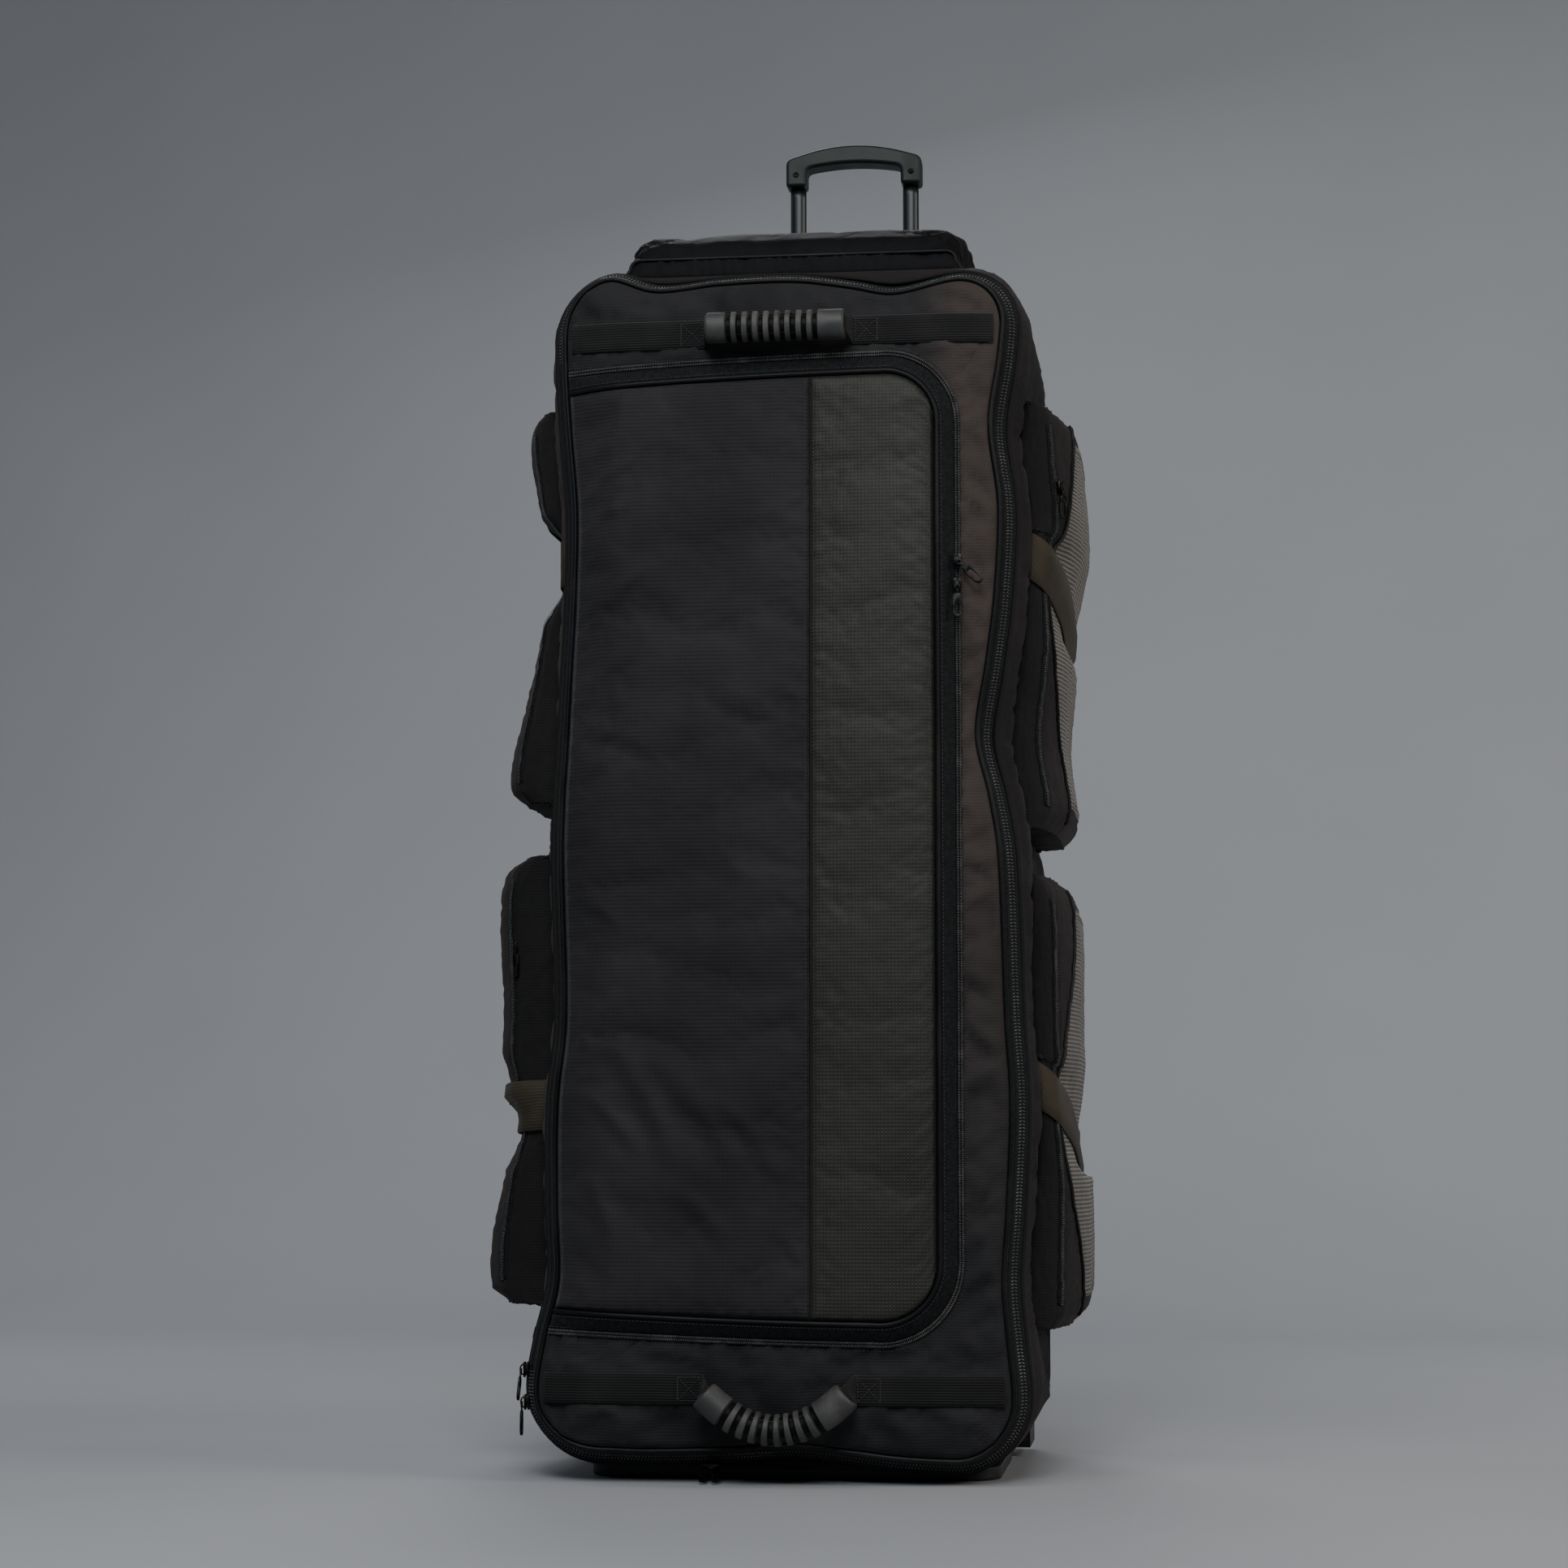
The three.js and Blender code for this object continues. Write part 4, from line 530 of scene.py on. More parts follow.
def cloth_finish(name, dark, light, pitch=None, ribs=0.0, grid=0.0, sheen=0.08, roughness=0.72,
                 tint=(0.6, 0.5, 0.45), painted_sheen=None, gloss=0.2):
    """Woven cloth: a fine weave, with ribs or a ripstop grid at a pitch in metres, a soft sheen
    and faint dust in blotches. It can also mix a painted warm highlight into the colour, in blotches, over a
    patch set by place on the object."""
    cloth = Finish(name, Sheen_Weight=sheen, Sheen_Roughness=0.45, Sheen_Tint=tint, Specular_IOR_Level=gloss)
    spot = cloth.place()
    flat = cloth.place("UV")
    across = cloth.part(flat, "X")
    along = cloth.part(flat, "Y")
    blotch = cloth.noise(spot, 9, detail=4)
    fleck = cloth.noise(spot, 420, detail=2)
    shade = blotch.share(0.3, 0.72) * 0.65 + fleck * 0.35
    weave = (across * (2 * math.pi / WEAVE_PITCH)).sine() * (along * (2 * math.pi / WEAVE_PITCH)).sine()
    height = weave * 0.18 + fleck * 0.3
    if ribs:
        rib = (along * (2 * math.pi / pitch)).sine().share(-0.6, 0.9)
        height = height + rib * ribs
        shade = shade + (rib - 0.5) * 0.5 * ribs
    if grid:
        line_across = (across * (math.pi / pitch)).sine().size().share(0.9, 1.0)
        line_along = (along * (math.pi / pitch)).sine().size().share(0.9, 1.0)
        line = line_across.most(line_along)
        height = height + line * grid
        shade = shade + line * 0.45 * grid
    colour = cloth.mix(shade.least(1.0).most(0.0), dark, light)
    # Painted highlight: a warm brownish sheen is painted into the colour over this patch, for light falling on
    # the lid's right side
    if painted_sheen:
        sheen_share = cloth.part(spot, "X").share(*painted_sheen["across"]) * cloth.part(spot, "Z").share(*painted_sheen["up"])
        colour = cloth.mix(sheen_share * (0.15 + blotch * 0.9), colour, painted_sheen["colour"])
    wrinkle = cloth.bump(cloth.noise(spot, 34, detail=3), 0.0035, strength=0.35)
    cloth.wear(Base_Color=colour, Roughness=(fleck * 0.12 + roughness),
               Normal=cloth.bump(height, 0.0005, strength=0.55, under=wrinkle))
    return cloth.material


BLACK_CLOTH = cloth_finish("black_polyester", (0.0045, 0.0047, 0.0053), (0.0115, 0.0112, 0.012),
                           pitch=0.0024, ribs=0.35)
# Painted highlight: the lid's right strip gets a warm brownish colour, in blotches, for the sheen that the
# light from the right raises there
LID_PAINTED_SHEEN = {"across": (0.105, 0.15), "up": (0.14, 0.62), "colour": (0.060, 0.046, 0.040)}
LID_CLOTH = cloth_finish("lid_polyester", (0.0075, 0.008, 0.0095), (0.022, 0.0225, 0.025),
                         pitch=0.0024, ribs=0.35, painted_sheen=LID_PAINTED_SHEEN)
front_lid.data.materials.append(LID_CLOTH)


def lined(piece, wall, inwards=-1.0):
    """Gives a sheet of cloth its thickness."""
    solid = piece.modifiers.new("wall", "SOLIDIFY")
    solid.thickness = wall
    solid.offset = inwards
    solid.use_rim = True
    apply_all(piece)


lined(front_lid, LID["wall"])
belongs(front_lid, "front_panel")


# The main compartment: one deep shell of the same black polyester, sewn to the zip in front and to
# a corded seam behind. Its long sides sag and crumple, and it steps up over the wheels.
TUB = {"front": -145, "back": 175, "grow": 17, "top_rise": 8, "follow": 0.7, "cell": 6.0}
TUB_RINGS = [  # depth, swell, rise and wave, as shares
    (0.0, 0.8, 0.0, 0.8), (0.07, 1.0, 0.1, 0.0), (0.12, 1.0, 0.2, 0.0), (0.62, 1.0, 1.0, 0.0),
    (0.93, 1.0, 1.0, 0.0), (0.98, 0.6, 1.0, 0.0), (1.0, -0.1, 1.0, 0.0),
]
WHEEL_STEP = {"front": 95, "top": 88, "blend": 160}
OUTLINE_STEPS = {"corner": 12, "side": 140, "end": 48}
# Where the tub is held: low down over the foot, behind over the wheels, and on top under the hood
TUB_HELD = {"foot": 60, "foot_blend": 20, "wheels_y": 85, "wheels_blend": 10, "wheels_z": 175,
            "hood_z": 975, "hood_half": 150}
# The part of its sides that the pockets cover, where it may hardly swell
COVERED = {"front": -112, "back": 116, "low": 118, "high": 890}


def bag_outline(grow):
    """Plain rounded rectangle of the bag from the front, grown outwards."""
    half = LID["half"] + grow
    low = LID["bottom"] - grow
    high = LID["top"] + grow
    radius = max(LID["corner"] + grow, 3)
    parts = []
    corners = [(-1, low + radius, math.pi), (1, low + radius, 1.5 * math.pi), (1, high - radius, 0),
               (-1, high - radius, 0.5 * math.pi)]
    counts = [OUTLINE_STEPS["end"], OUTLINE_STEPS["side"]] * 2
    for (side, z, start), count in zip(corners, counts):
        turn = start + np.linspace(0, math.pi / 2, OUTLINE_STEPS["corner"] + 1)
        arc_x = side * (half - radius) + radius * np.cos(turn)
        parts.append(np.stack([arc_x, z + radius * np.sin(turn)], -1))
        parts.append(count)
    line = []
    for k in range(0, len(parts), 2):
        line.append(parts[k])
        end, begin = parts[k][-1], parts[(k + 2) % len(parts)][0]
        share = (np.arange(1, parts[k + 1]) / parts[k + 1])[:, None]
        line.append(end + (begin - end) * share)
    return np.concatenate(line)


def bag_ring(y, grow, follow=1.0, wave=1.0, rise=0.0):
    """The bag's outline at a depth, grown outwards, with its waist and waves."""
    plain = bag_outline(grow)
    return bag_warp(plain[:, 0], y, plain[:, 1], follow, wave, rise)


def over_wheels(points):
    """Lifts the bottom of the tub over the wheels, behind the step."""
    low = LID["bottom"] - TUB["grow"]
    share = np.clip((points[..., 2] - low) / (WHEEL_STEP["blend"] - low), 0, None)
    lifted = WHEEL_STEP["top"] + share * (WHEEL_STEP["blend"] - WHEEL_STEP["top"])
    behind = (points[..., 1] > WHEEL_STEP["front"] - 1) & (points[..., 2] < WHEEL_STEP["blend"])
    return np.where(behind, lifted, points[..., 2])


tub_depth = TUB["back"] - TUB["front"]
tub_y = lid_spaces(TUB["front"], TUB["back"], TUB["cell"])
tub_columns = [[row[k] for row in TUB_RINGS] for k in range(4)]
tub_rings = []
for y in tub_y:
    share = (y - TUB["front"]) / tub_depth
    swell, rise, wave = (np.interp(share, tub_columns[0], tub_columns[k]) for k in (1, 2, 3))
    follow = TUB["follow"] + (1 - TUB["follow"]) * wave
    tub_rings.append(bag_ring(y, TUB["grow"] * swell, follow, wave, TUB["top_rise"] * rise))
tub_points = np.array(tub_rings)
tub_points[..., 2] = over_wheels(tub_points)
ring_count = tub_points.shape[1]
tub_faces = grid_faces(len(tub_y), ring_count, closed=True)
back_grow = TUB["grow"] * TUB_RINGS[-1][1]
back_x, back_z = np.meshgrid(lid_spaces(-LID["half"] - back_grow, LID["half"] + back_grow, 8),
                             lid_spaces(LID["bottom"] - back_grow, LID["top"] + back_grow, 8))
back_round = round_corners(back_x, back_z, LID["half"] + back_grow, LID["bottom"] - back_grow,
                           LID["top"] + back_grow, LID["corner"] + back_grow)
back_points = bag_warp(back_round[0], float(TUB["back"]), back_round[1], TUB["follow"], 0.0, TUB["top_rise"])
back_points[..., 2] = over_wheels(back_points)
back_edge = np.minimum(LID["half"] - np.abs(back_x),
                       np.minimum(back_z - LID["bottom"], LID["top"] - back_z))
back_wall = new_piece("back_wall", back_points.reshape(-1, 3) * MM, grid_faces(*back_x.shape, flip=True),
                      BLACK_CLOTH)
cloth_map(back_wall, back_points[..., 0] * MM, back_points[..., 2] * MM)
back_sewn = (back_edge.ravel() < 4).astype(float)
settle(back_wall, back_sewn, slack=0.02, swell=-1.0, cap=0.004, stiff=3.0, seed=3)
lined(back_wall, 0.002, inwards=1.0)
belongs(back_wall)

main_tub = new_piece("main_tub", tub_points.reshape(-1, 3) * MM, tub_faces, BLACK_CLOTH)
ring_length = np.concatenate([[0], np.cumsum(np.linalg.norm(np.diff(tub_points[10], axis=0), axis=1))])
tub_along = np.repeat(tub_y[:, None], ring_count, axis=1)
tub_around = np.repeat(ring_length[None], len(tub_y), axis=0)
cloth_map(main_tub, tub_along * MM, tub_around * MM)
tub_at = tub_points.reshape(-1, 3)
at_ends = np.zeros(tub_points.shape[:2])
at_ends[:2] = 1
at_ends[-3:] = 1
over_foot = np.clip((TUB_HELD["foot"] - tub_at[:, 2]) / TUB_HELD["foot_blend"], 0, 1)
rearward = np.clip((tub_at[:, 1] - TUB_HELD["wheels_y"]) / TUB_HELD["wheels_blend"], 0, 1)
low_down = over_foot + rearward * (tub_at[:, 2] < TUB_HELD["wheels_z"])
high_up = (tub_at[:, 2] > TUB_HELD["hood_z"]) & (np.abs(tub_at[:, 0]) < TUB_HELD["hood_half"])
behind_pockets = ((tub_at[:, 1] > COVERED["front"]) & (tub_at[:, 1] < COVERED["back"])
                  & (tub_at[:, 2] > COVERED["low"]) & (tub_at[:, 2] < COVERED["high"]))
tub_sewn = np.clip(at_ends.ravel() + low_down + high_up, 0, 1)
tub_cap = np.where(behind_pockets, 0.0015, 0.0075) * np.where(tub_sewn > 0.5, 0.05, 1.0)
settle(main_tub, tub_sewn, slack=0.03, swell=0.8, cap=tub_cap, stiff=2.5, seed=5)
lined(main_tub, 0.003)
belongs(main_tub, "rear_tub")


# The corded seams: a thin cord in a satin bias tape, sewn in round the lid and round the back.
# Each follows its seam all the way round; the back one stops above the wheels.
PIPING = {"radius": 2.2, "out": 2.8, "sides": 10, "behind": 0.3, "clear": 3}


class Tree(Nodes):
    """A Geometry Nodes tree with named inputs."""

    def __init__(self, name, inputs):
        self.tree = bpy.data.node_groups.new(name, "GeometryNodeTree")
        face = self.tree.interface
        face.new_socket("Geometry", in_out="INPUT", socket_type="NodeSocketGeometry")
        face.new_socket("Geometry", in_out="OUTPUT", socket_type="NodeSocketGeometry")
        self.names = {}
        for key, kind in inputs:
            self.names[key] = face.new_socket(key, in_out="INPUT", socket_type=kind).identifier
        self.entry = self.tree.nodes.new("NodeGroupInput")
        self.exit = self.tree.nodes.new("NodeGroupOutput")

    def feed(self, socket, value):
        if hasattr(value, "is_output"):
            self.tree.links.new(value, socket)
        else:
            socket.default_value = value

    def node(self, kind, settings=None, sockets=None, output=0):
        return self.add(kind, settings, sockets, output)

    def asked(self, key):
        return self.entry.outputs[key]

    def close(self, geometry, material):
        plain = self.node("GeometryNodeRealizeInstances", sockets={"Geometry": geometry})
        coloured = self.node("GeometryNodeSetMaterial",
                             sockets={"Geometry": plain, "Material": self.asked(material)})
        self.feed(self.exit.inputs[0], coloured)

    def grow(self, piece, **values):
        """Runs the tree on a piece and leaves the result as its plain mesh."""
        work = piece.modifiers.new("nodes", "NODES")
        work.node_group = self.tree
        for key, value in values.items():
            work[self.names[key]] = value
        apply_all(piece)
        return piece


cord_tree = Tree("cord_along_a_line", [("Radius", "NodeSocketFloat"), ("Sides", "NodeSocketInt"),
                                       ("Material", "NodeSocketMaterial")])
cord_line = cord_tree.node("GeometryNodeMeshToCurve", sockets={"Mesh": cord_tree.asked("Geometry")})
cord_ring = cord_tree.node("GeometryNodeCurvePrimitiveCircle", {"mode": "RADIUS"},
                           {"Resolution": cord_tree.asked("Sides"), "Radius": cord_tree.asked("Radius")})
cord_skin = cord_tree.node("GeometryNodeCurveToMesh",
                           sockets={"Curve": cord_line, "Profile Curve": cord_ring, "Fill Caps": True})
cord_tree.close(cord_skin, "Material")


def line_piece(name, points, closed=False, out=None):
    """A piece that is only a line of edges, for a tree to grow on. out is which way is up, at each point."""
    mesh = bpy.data.meshes.new(name)
    edges = [(i, i + 1) for i in range(len(points) - 1)]
    if closed:
        edges.append((len(points) - 1, 0))
    mesh.from_pydata([tuple(point) for point in points], edges, [])
    if out is not None:
        layer = mesh.attributes.new("out", "FLOAT_VECTOR", "POINT")
        layer.data.foreach_set("vector", np.asarray(out, dtype=np.float32).ravel())
    piece = bpy.data.objects.new(name, mesh)
    scene.collection.objects.link(piece)
    return piece


def cord_on(name, points, radius, material, closed=False):
    """A round cord along a line of points in mm."""
    piece = line_piece(name, np.asarray(points) * MM, closed)
    cord_tree.grow(piece, Radius=radius * MM, Sides=PIPING["sides"], Material=material)
    piece.data.shade_smooth()
    return piece


satin = Finish("satin_piping", Specular_IOR_Level=0.16, Sheen_Weight=0.03, Sheen_Roughness=0.4)
satin_spot = satin.place()
satin_grain = satin.noise(satin_spot, 260, detail=2)
satin_wear = satin.noise(satin_spot, 14, detail=4).share(0.45, 0.7)
satin.wear(Base_Color=satin.mix(satin_wear, (0.0042, 0.0046, 0.0054), (0.011, 0.0112, 0.012)),
           Roughness=satin_grain * 0.2 + 0.36,
           Normal=satin.bump(satin_grain, 0.0004, strength=0.5))
SATIN = satin.material


def seam_waves(at, seed, reach):
    """Small slow waves along a seam, so that it isn't machine straight. at is places along it, as shares."""
    dice = np.random.default_rng(seed)
    total = np.zeros(len(at))
    for wave in range(3, 15):
        total += np.sin(2 * np.pi * wave * at + dice.uniform(0, 6.28)) * dice.uniform(0.2, 1) / wave
    return total * reach


front_cord = bag_ring(LID["y"] + 2, PIPING["out"])
front_piping = cord_on("front_piping_cord", front_cord, PIPING["radius"], SATIN, closed=True)
belongs(front_piping, "front_piping")
rear_y = TUB["back"] + PIPING["radius"] + PIPING["behind"]
rear_cord = bag_ring(rear_y, back_grow + 1, TUB["follow"], 0.0, TUB["top_rise"])
above = np.flatnonzero(rear_cord[:, 2] > WHEEL_STEP["top"] + PIPING["clear"])
first = above[np.argmax(np.diff(above)) + 1] if np.max(np.diff(above)) > 1 else above[0]
order = [(first + i) % len(rear_cord) for i in range(len(above))]
rear_piping = cord_on("rear_piping_cord", rear_cord[order], PIPING["radius"], SATIN)
belongs(rear_piping, "rear_piping")


# The main zip: a coil zip on a woven slate tape, that runs round the bag between lid and tub.
# The hinge side on the left has tape alone, and a row of stitches holds each edge of the tape.
ZIP = {"front": -163.7, "back": -145.3, "grow_front": 2, "grow_back": 14, "pitch": 2.7,
       "tooth": (1.6, 4.3, 1.9), "lean": 0.25, "apart": 2.1, "lift": 1.2, "hinge_low": 90, "hinge_high": 915}
TAPE_LINES = [  # depth, lift
    (ZIP["front"], -0.6), (-160.5, -0.1), (-157.6, 0.1), (-157.0, -0.5), (-150.4, -0.5), (-149.8, 0.1),
    (-147.5, -0.1), (ZIP["back"], -0.6),
]
STITCH = {"pitch": 3.2, "size": (2.3, 0.6, 0.6), "fine": (2.3, 0.55, 0.5)}
tape = Finish("zip_tape", Sheen_Weight=0.03, Specular_IOR_Level=0.12)
tape_flat = tape.place("UV")
tape_rib = (tape.part(tape_flat, "Y") * (2 * math.pi / 0.0016)).sine().share(-0.8, 0.8)
tape_fleck = tape.noise(tape.place(), 320, detail=2)
tape_tone = tape.mix(tape_fleck.share(0.35, 0.7), (0.0048, 0.0058, 0.0064), (0.0105, 0.0125, 0.0138))
tape.wear(Base_Color=tape_tone,
          Roughness=tape_fleck * 0.15 + 0.68,
          Normal=tape.bump(tape_rib + tape_fleck * 0.4, 0.0003, strength=0.5))
TAPE = tape.material
coil = Finish("nylon_coil", Specular_IOR_Level=0.55)
coil_rub = coil.noise(coil.place(), 55, detail=3).share(0.45, 0.75)
coil.wear(Base_Color=coil.mix(coil_rub, (0.042, 0.042, 0.043), (0.105, 0.104, 0.104)),
          Roughness=0.30 + coil_rub * 0.25,
          Normal=coil.bump(coil.noise(coil.place(), 900), 0.0002, strength=0.3))
COIL = coil.material
thread = Finish("sewing_thread", Specular_IOR_Level=0.35, Sheen_Weight=0.2)
thread_twist = thread.noise(thread.place(), 700, detail=2)
thread.wear(Base_Color=thread.mix(thread_twist, (0.012, 0.012, 0.013), (0.028, 0.028, 0.029)),
            Roughness=thread_twist * 0.2 + 0.5)
THREAD = thread.material

row_tree = Tree("row_along_a_line", [
    ("Pitch", "NodeSocketFloat"), ("Size", "NodeSocketVector"), ("Lean", "NodeSocketFloat"),
    ("Rings", "NodeSocketInt"), ("Material", "NodeSocketMaterial")])
row_line = row_tree.node("GeometryNodeMeshToCurve", sockets={"Mesh": row_tree.asked("Geometry")})
row_spots = row_tree.node("GeometryNodeResampleCurve", {"mode": "LENGTH"},
                          {"Curve": row_line, "Length": row_tree.asked("Pitch")})
row_up = row_tree.node("GeometryNodeInputNamedAttribute", {"data_type": "FLOAT_VECTOR"}, {"Name": "out"})
row_turn = row_tree.node("FunctionNodeAxesToRotation", {"primary_axis": "Z", "secondary_axis": "X"},
                         {0: row_up, 1: row_tree.node("GeometryNodeInputTangent")})
row_lean = row_tree.node("ShaderNodeCombineXYZ", sockets={"Z": row_tree.asked("Lean")})
row_turned = row_tree.node("FunctionNodeRotateRotation", {"rotation_space": "LOCAL"},
                           {0: row_turn, 1: row_lean})
row_bead = row_tree.node("GeometryNodeMeshUVSphere",
                         sockets={"Segments": 6, "Rings": row_tree.asked("Rings"), "Radius": 0.5})
row_shape = row_tree.node("GeometryNodeTransform",
                          sockets={"Geometry": row_bead, "Scale": row_tree.asked("Size")})
row_all = row_tree.node("GeometryNodeInstanceOnPoints",
                        sockets={"Points": row_spots, "Instance": row_shape, "Rotation": row_turned})
row_tree.close(row_all, "Material")


BEAD_RINGS = 4


def row_on(name, points, out, pitch, size, material, lean=0.0, closed=False):
    """A row of small beads along a line, such as stitches or a coil. size is along, across and up, in mm."""
    piece = line_piece(name, np.asarray(points) * MM, closed, out)
    row_tree.grow(piece, Pitch=pitch * MM, Size=tuple(value * MM for value in size), Lean=lean,
                  Rings=BEAD_RINGS, Material=material)
    piece.data.shade_smooth()
    return piece


def band_on(name, rows, material, closed=False, wall=None):
    """A woven band through rows of points that run along it, each row one line across the band's width."""
    rows = np.asarray(rows)
    across, along = rows.shape[:2]
    piece = new_piece(name, rows.reshape(-1, 3) * MM, grid_faces(across, along, closed=closed), material)
    run = np.concatenate([[0], np.cumsum(np.linalg.norm(np.diff(rows[across // 2], axis=0), axis=1))])
    width = np.concatenate([[0], np.cumsum(np.linalg.norm(np.diff(rows[:, 0], axis=0), axis=1))])
    cloth_map(piece, np.repeat(width[:, None], along, axis=1) * MM, np.repeat(run[None], across, axis=0) * MM)
    if wall:
        lined(piece, wall)
    return piece


def zip_ring(y, lift):
    """A line round the bag on the zip's slope, lifted off it."""
    share = (y - ZIP["front"]) / (ZIP["back"] - ZIP["front"])
    grow = ZIP["grow_front"] + (ZIP["grow_back"] - ZIP["grow_front"]) * share
    return bag_ring(y, grow + lift)


tape_rows = [zip_ring(y, lift) for y, lift in TAPE_LINES]
main_tape = band_on("main_tape", tape_rows, TAPE, closed=True, wall=0.0016)
belongs(main_tape, "main_zip_tape")
chain_y = (ZIP["front"] + ZIP["back"]) / 2 + 1
plain_x, plain_z = bag_outline(0).T
on_hinge = (plain_x < -LID["half"] + 1) & (plain_z > ZIP["hinge_low"]) & (plain_z < ZIP["hinge_high"])
toothed = [int(i) for i in np.flatnonzero(~on_hinge)]
jump = int(np.argmax(np.diff(toothed))) + 1 if np.max(np.diff(toothed)) > 1 else 0
toothed = toothed[jump:] + toothed[:jump]
outward = np.array([0, -0.55, 0]) + bag_ring(0, 10, 0, 0) - bag_ring(0, 9, 0, 0)
outward = outward / np.linalg.norm(outward, axis=1)[:, None]
for place, side in [("front", 1), ("back", -1)]:
    coil_points = zip_ring(chain_y - side * ZIP["apart"], ZIP["lift"])[toothed]
    main_coil = row_on(f"main_coil_{place}", coil_points, outward[toothed], ZIP["pitch"], ZIP["tooth"], COIL,
                       lean=side * ZIP["lean"])
    belongs(main_coil, "main_zip_teeth")
for k, y in enumerate((-161.6, -147.3)):
    tape_seam = row_on(f"main_tape_stitches_{k}", zip_ring(y, 0.35), outward, STITCH["pitch"],
                       STITCH["size"], THREAD, closed=True)
    belongs(tape_seam)


# The big front pocket: a dark ripstop panel and an olive coated panel, sewn together down one line,
# hinged at the left and zipped round the other three sides.
def flap_slope(x):
    """How far a place is towards the flap's hinge, as a share."""
    return 1 - (x - FLAP["left"]) / (FLAP["right"] - FLAP["left"])


def flap_ends(x):
    """Lowest and highest point of the flap at a place across it."""
    slope = flap_slope(x)

    def drop(radius):
        past = np.maximum(0, x - (FLAP["right"] - radius))
        return radius - np.sqrt(np.maximum(0, radius**2 - past**2))

    low = FLAP["bottom"] + FLAP["bottom_slope"] * slope**2 + drop(FLAP["corner_bottom"])
    high = FLAP["top"] - FLAP["top_slope"] * slope**2 - drop(FLAP["corner_top"])
    return low, high


def flap_lift(x):
    """How far the flap's face stands off the lid: little at the hinge, fully past its rise."""
    share = np.minimum(1, (np.asarray(x) - FLAP["left"]) / FLAP["rise_run"])
    rise = (FLAP["lift"] - 2 * FLAP["low_lift"]) * np.sin(share * math.pi / 2)
    return 2 * FLAP["low_lift"] + FLAP["wall"] + rise


def to_hinge(x, z):
    """Draws the flap's left side out to the corded seam of the lid, which waves with the waist."""
    share = np.clip((FLAP["drawn_from"] - x) / (FLAP["drawn_from"] - FLAP["left"]), 0, None) ** 2
    seam = -(LID["half"] - FLAP["hinge_in"]) * waist(np.full(np.shape(x), -1.0), z)
    return x + (seam - FLAP["left"]) * share


def flap_panel(name, start, end, cell, material):
    """A panel of the flap, dished a little at its edges, where its seams pull it down."""
    x_line = lid_spaces(start, end, cell)
    rows = int(round((FLAP["top"] - FLAP["bottom"]) / cell)) + 1
    share = np.linspace(0, 1, rows)[:, None]
    low, high = flap_ends(x_line)
    z = low + (high - low) * share
    x = np.broadcast_to(x_line, z.shape)
    edge = np.minimum(np.minimum(x - start, end - x), np.minimum(z - low, high - z))
    dish = 1.4 * np.exp(-edge / 2.2) + 0.8 * np.exp(-edge / 9)
    drawn = to_hinge(x, z)
    y = lid_face(drawn, z) - flap_lift(x) + dish
    points = np.stack([drawn, y, z], axis=-1)
    piece = new_piece(name, points.reshape(-1, 3) * MM, grid_faces(*z.shape), material)
    cloth_map(piece, x * MM, z * MM)
    return piece, edge.ravel()


RIPSTOP = cloth_finish("charcoal_ripstop", (0.0085, 0.0083, 0.010), (0.023, 0.0222, 0.0245), pitch=0.0031,
                       ribs=0.55, grid=0.35, sheen=0.14, roughness=0.66, tint=(0.5, 0.5, 0.6))
GRID_PITCH = 0.0029
coated = Finish("olive_coated_cloth", Specular_IOR_Level=0.3, Coat_Weight=0.03, Coat_Roughness=0.4,
                Sheen_Weight=0.08, Sheen_Tint=(0.7, 0.72, 0.6))
coated_flat = coated.place("UV")
coated_across = (coated.part(coated_flat, "X") * (math.pi / GRID_PITCH)).sine().size().share(0.55, 0.95)
coated_along = (coated.part(coated_flat, "Y") * (math.pi / GRID_PITCH)).sine().size().share(0.55, 0.95)
coated_line = coated_across.most(coated_along)
coated_blotch = coated.noise(coated.place(), 7, detail=5)
coated_fleck = coated.noise(coated.place(), 500, detail=3)
coated_tone = coated.mix(coated_blotch.share(0.3, 0.7), (0.0135, 0.0145, 0.0115), (0.024, 0.0255, 0.0205))
coated_wrinkle = coated.bump(coated.noise(coated.place(), 26, detail=3), 0.004, strength=0.3)
coated.wear(Base_Color=coated.mix(coated_line * 0.42, coated_tone, (0.010, 0.011, 0.009)),
            Roughness=0.40 + coated_fleck * 0.14 + coated_line * 0.12,
            Normal=coated.bump(coated_fleck * 0.35 - coated_line * 0.8, 0.0005, strength=0.6,
                               under=coated_wrinkle))
OLIVE = coated.material
flap_dark, dark_edge = flap_panel("flap_dark_cloth", FLAP["left"], FLAP["seam"] - 0.2, FLAP["cell"], RIPSTOP)
settle(flap_dark, (dark_edge < 1).astype(float), slack=0.014, swell=0.9, cap=0.004, stiff=5.0, seed=11)
# Creases of the dark panel, in the lid's columns
PANEL_CREASES = [
    (-166, 796, -122, 826, 5, 1.3), (-168, 766, -130, 790, 5, 1.2), (-128, 884, -154, 826, 7, 1.2),
    (-164, 684, -106, 740, 6, 1.5), (-168, 622, -124, 670, 6, 1.4), (-166, 560, -130, 590, 5, 1.1),
    (-168, 470, -126, 440, 5, 1.1), (-172, 330, -128, 392, 6, 1.5), (-168, 316, -112, 262, 6, 1.5),
    (-140, 356, -84, 250, 9, 1.8), (-112, 344, -32, 252, 10, 1.7), (-60, 312, 2, 242, 8, 1.3),
    (-96, 238, -38, 190, 8, 1.3), (-164, 258, -134, 178, 7, 1.4), (-60, 640, 10, 600, 9, 0.9),
    (-90, 520, -10, 470, 9, 0.9),
]
flap_spots = spots_of(flap_dark) / MM
flap_creased = creased(flap_spots[:, 0], flap_spots[:, 2], PANEL_CREASES)
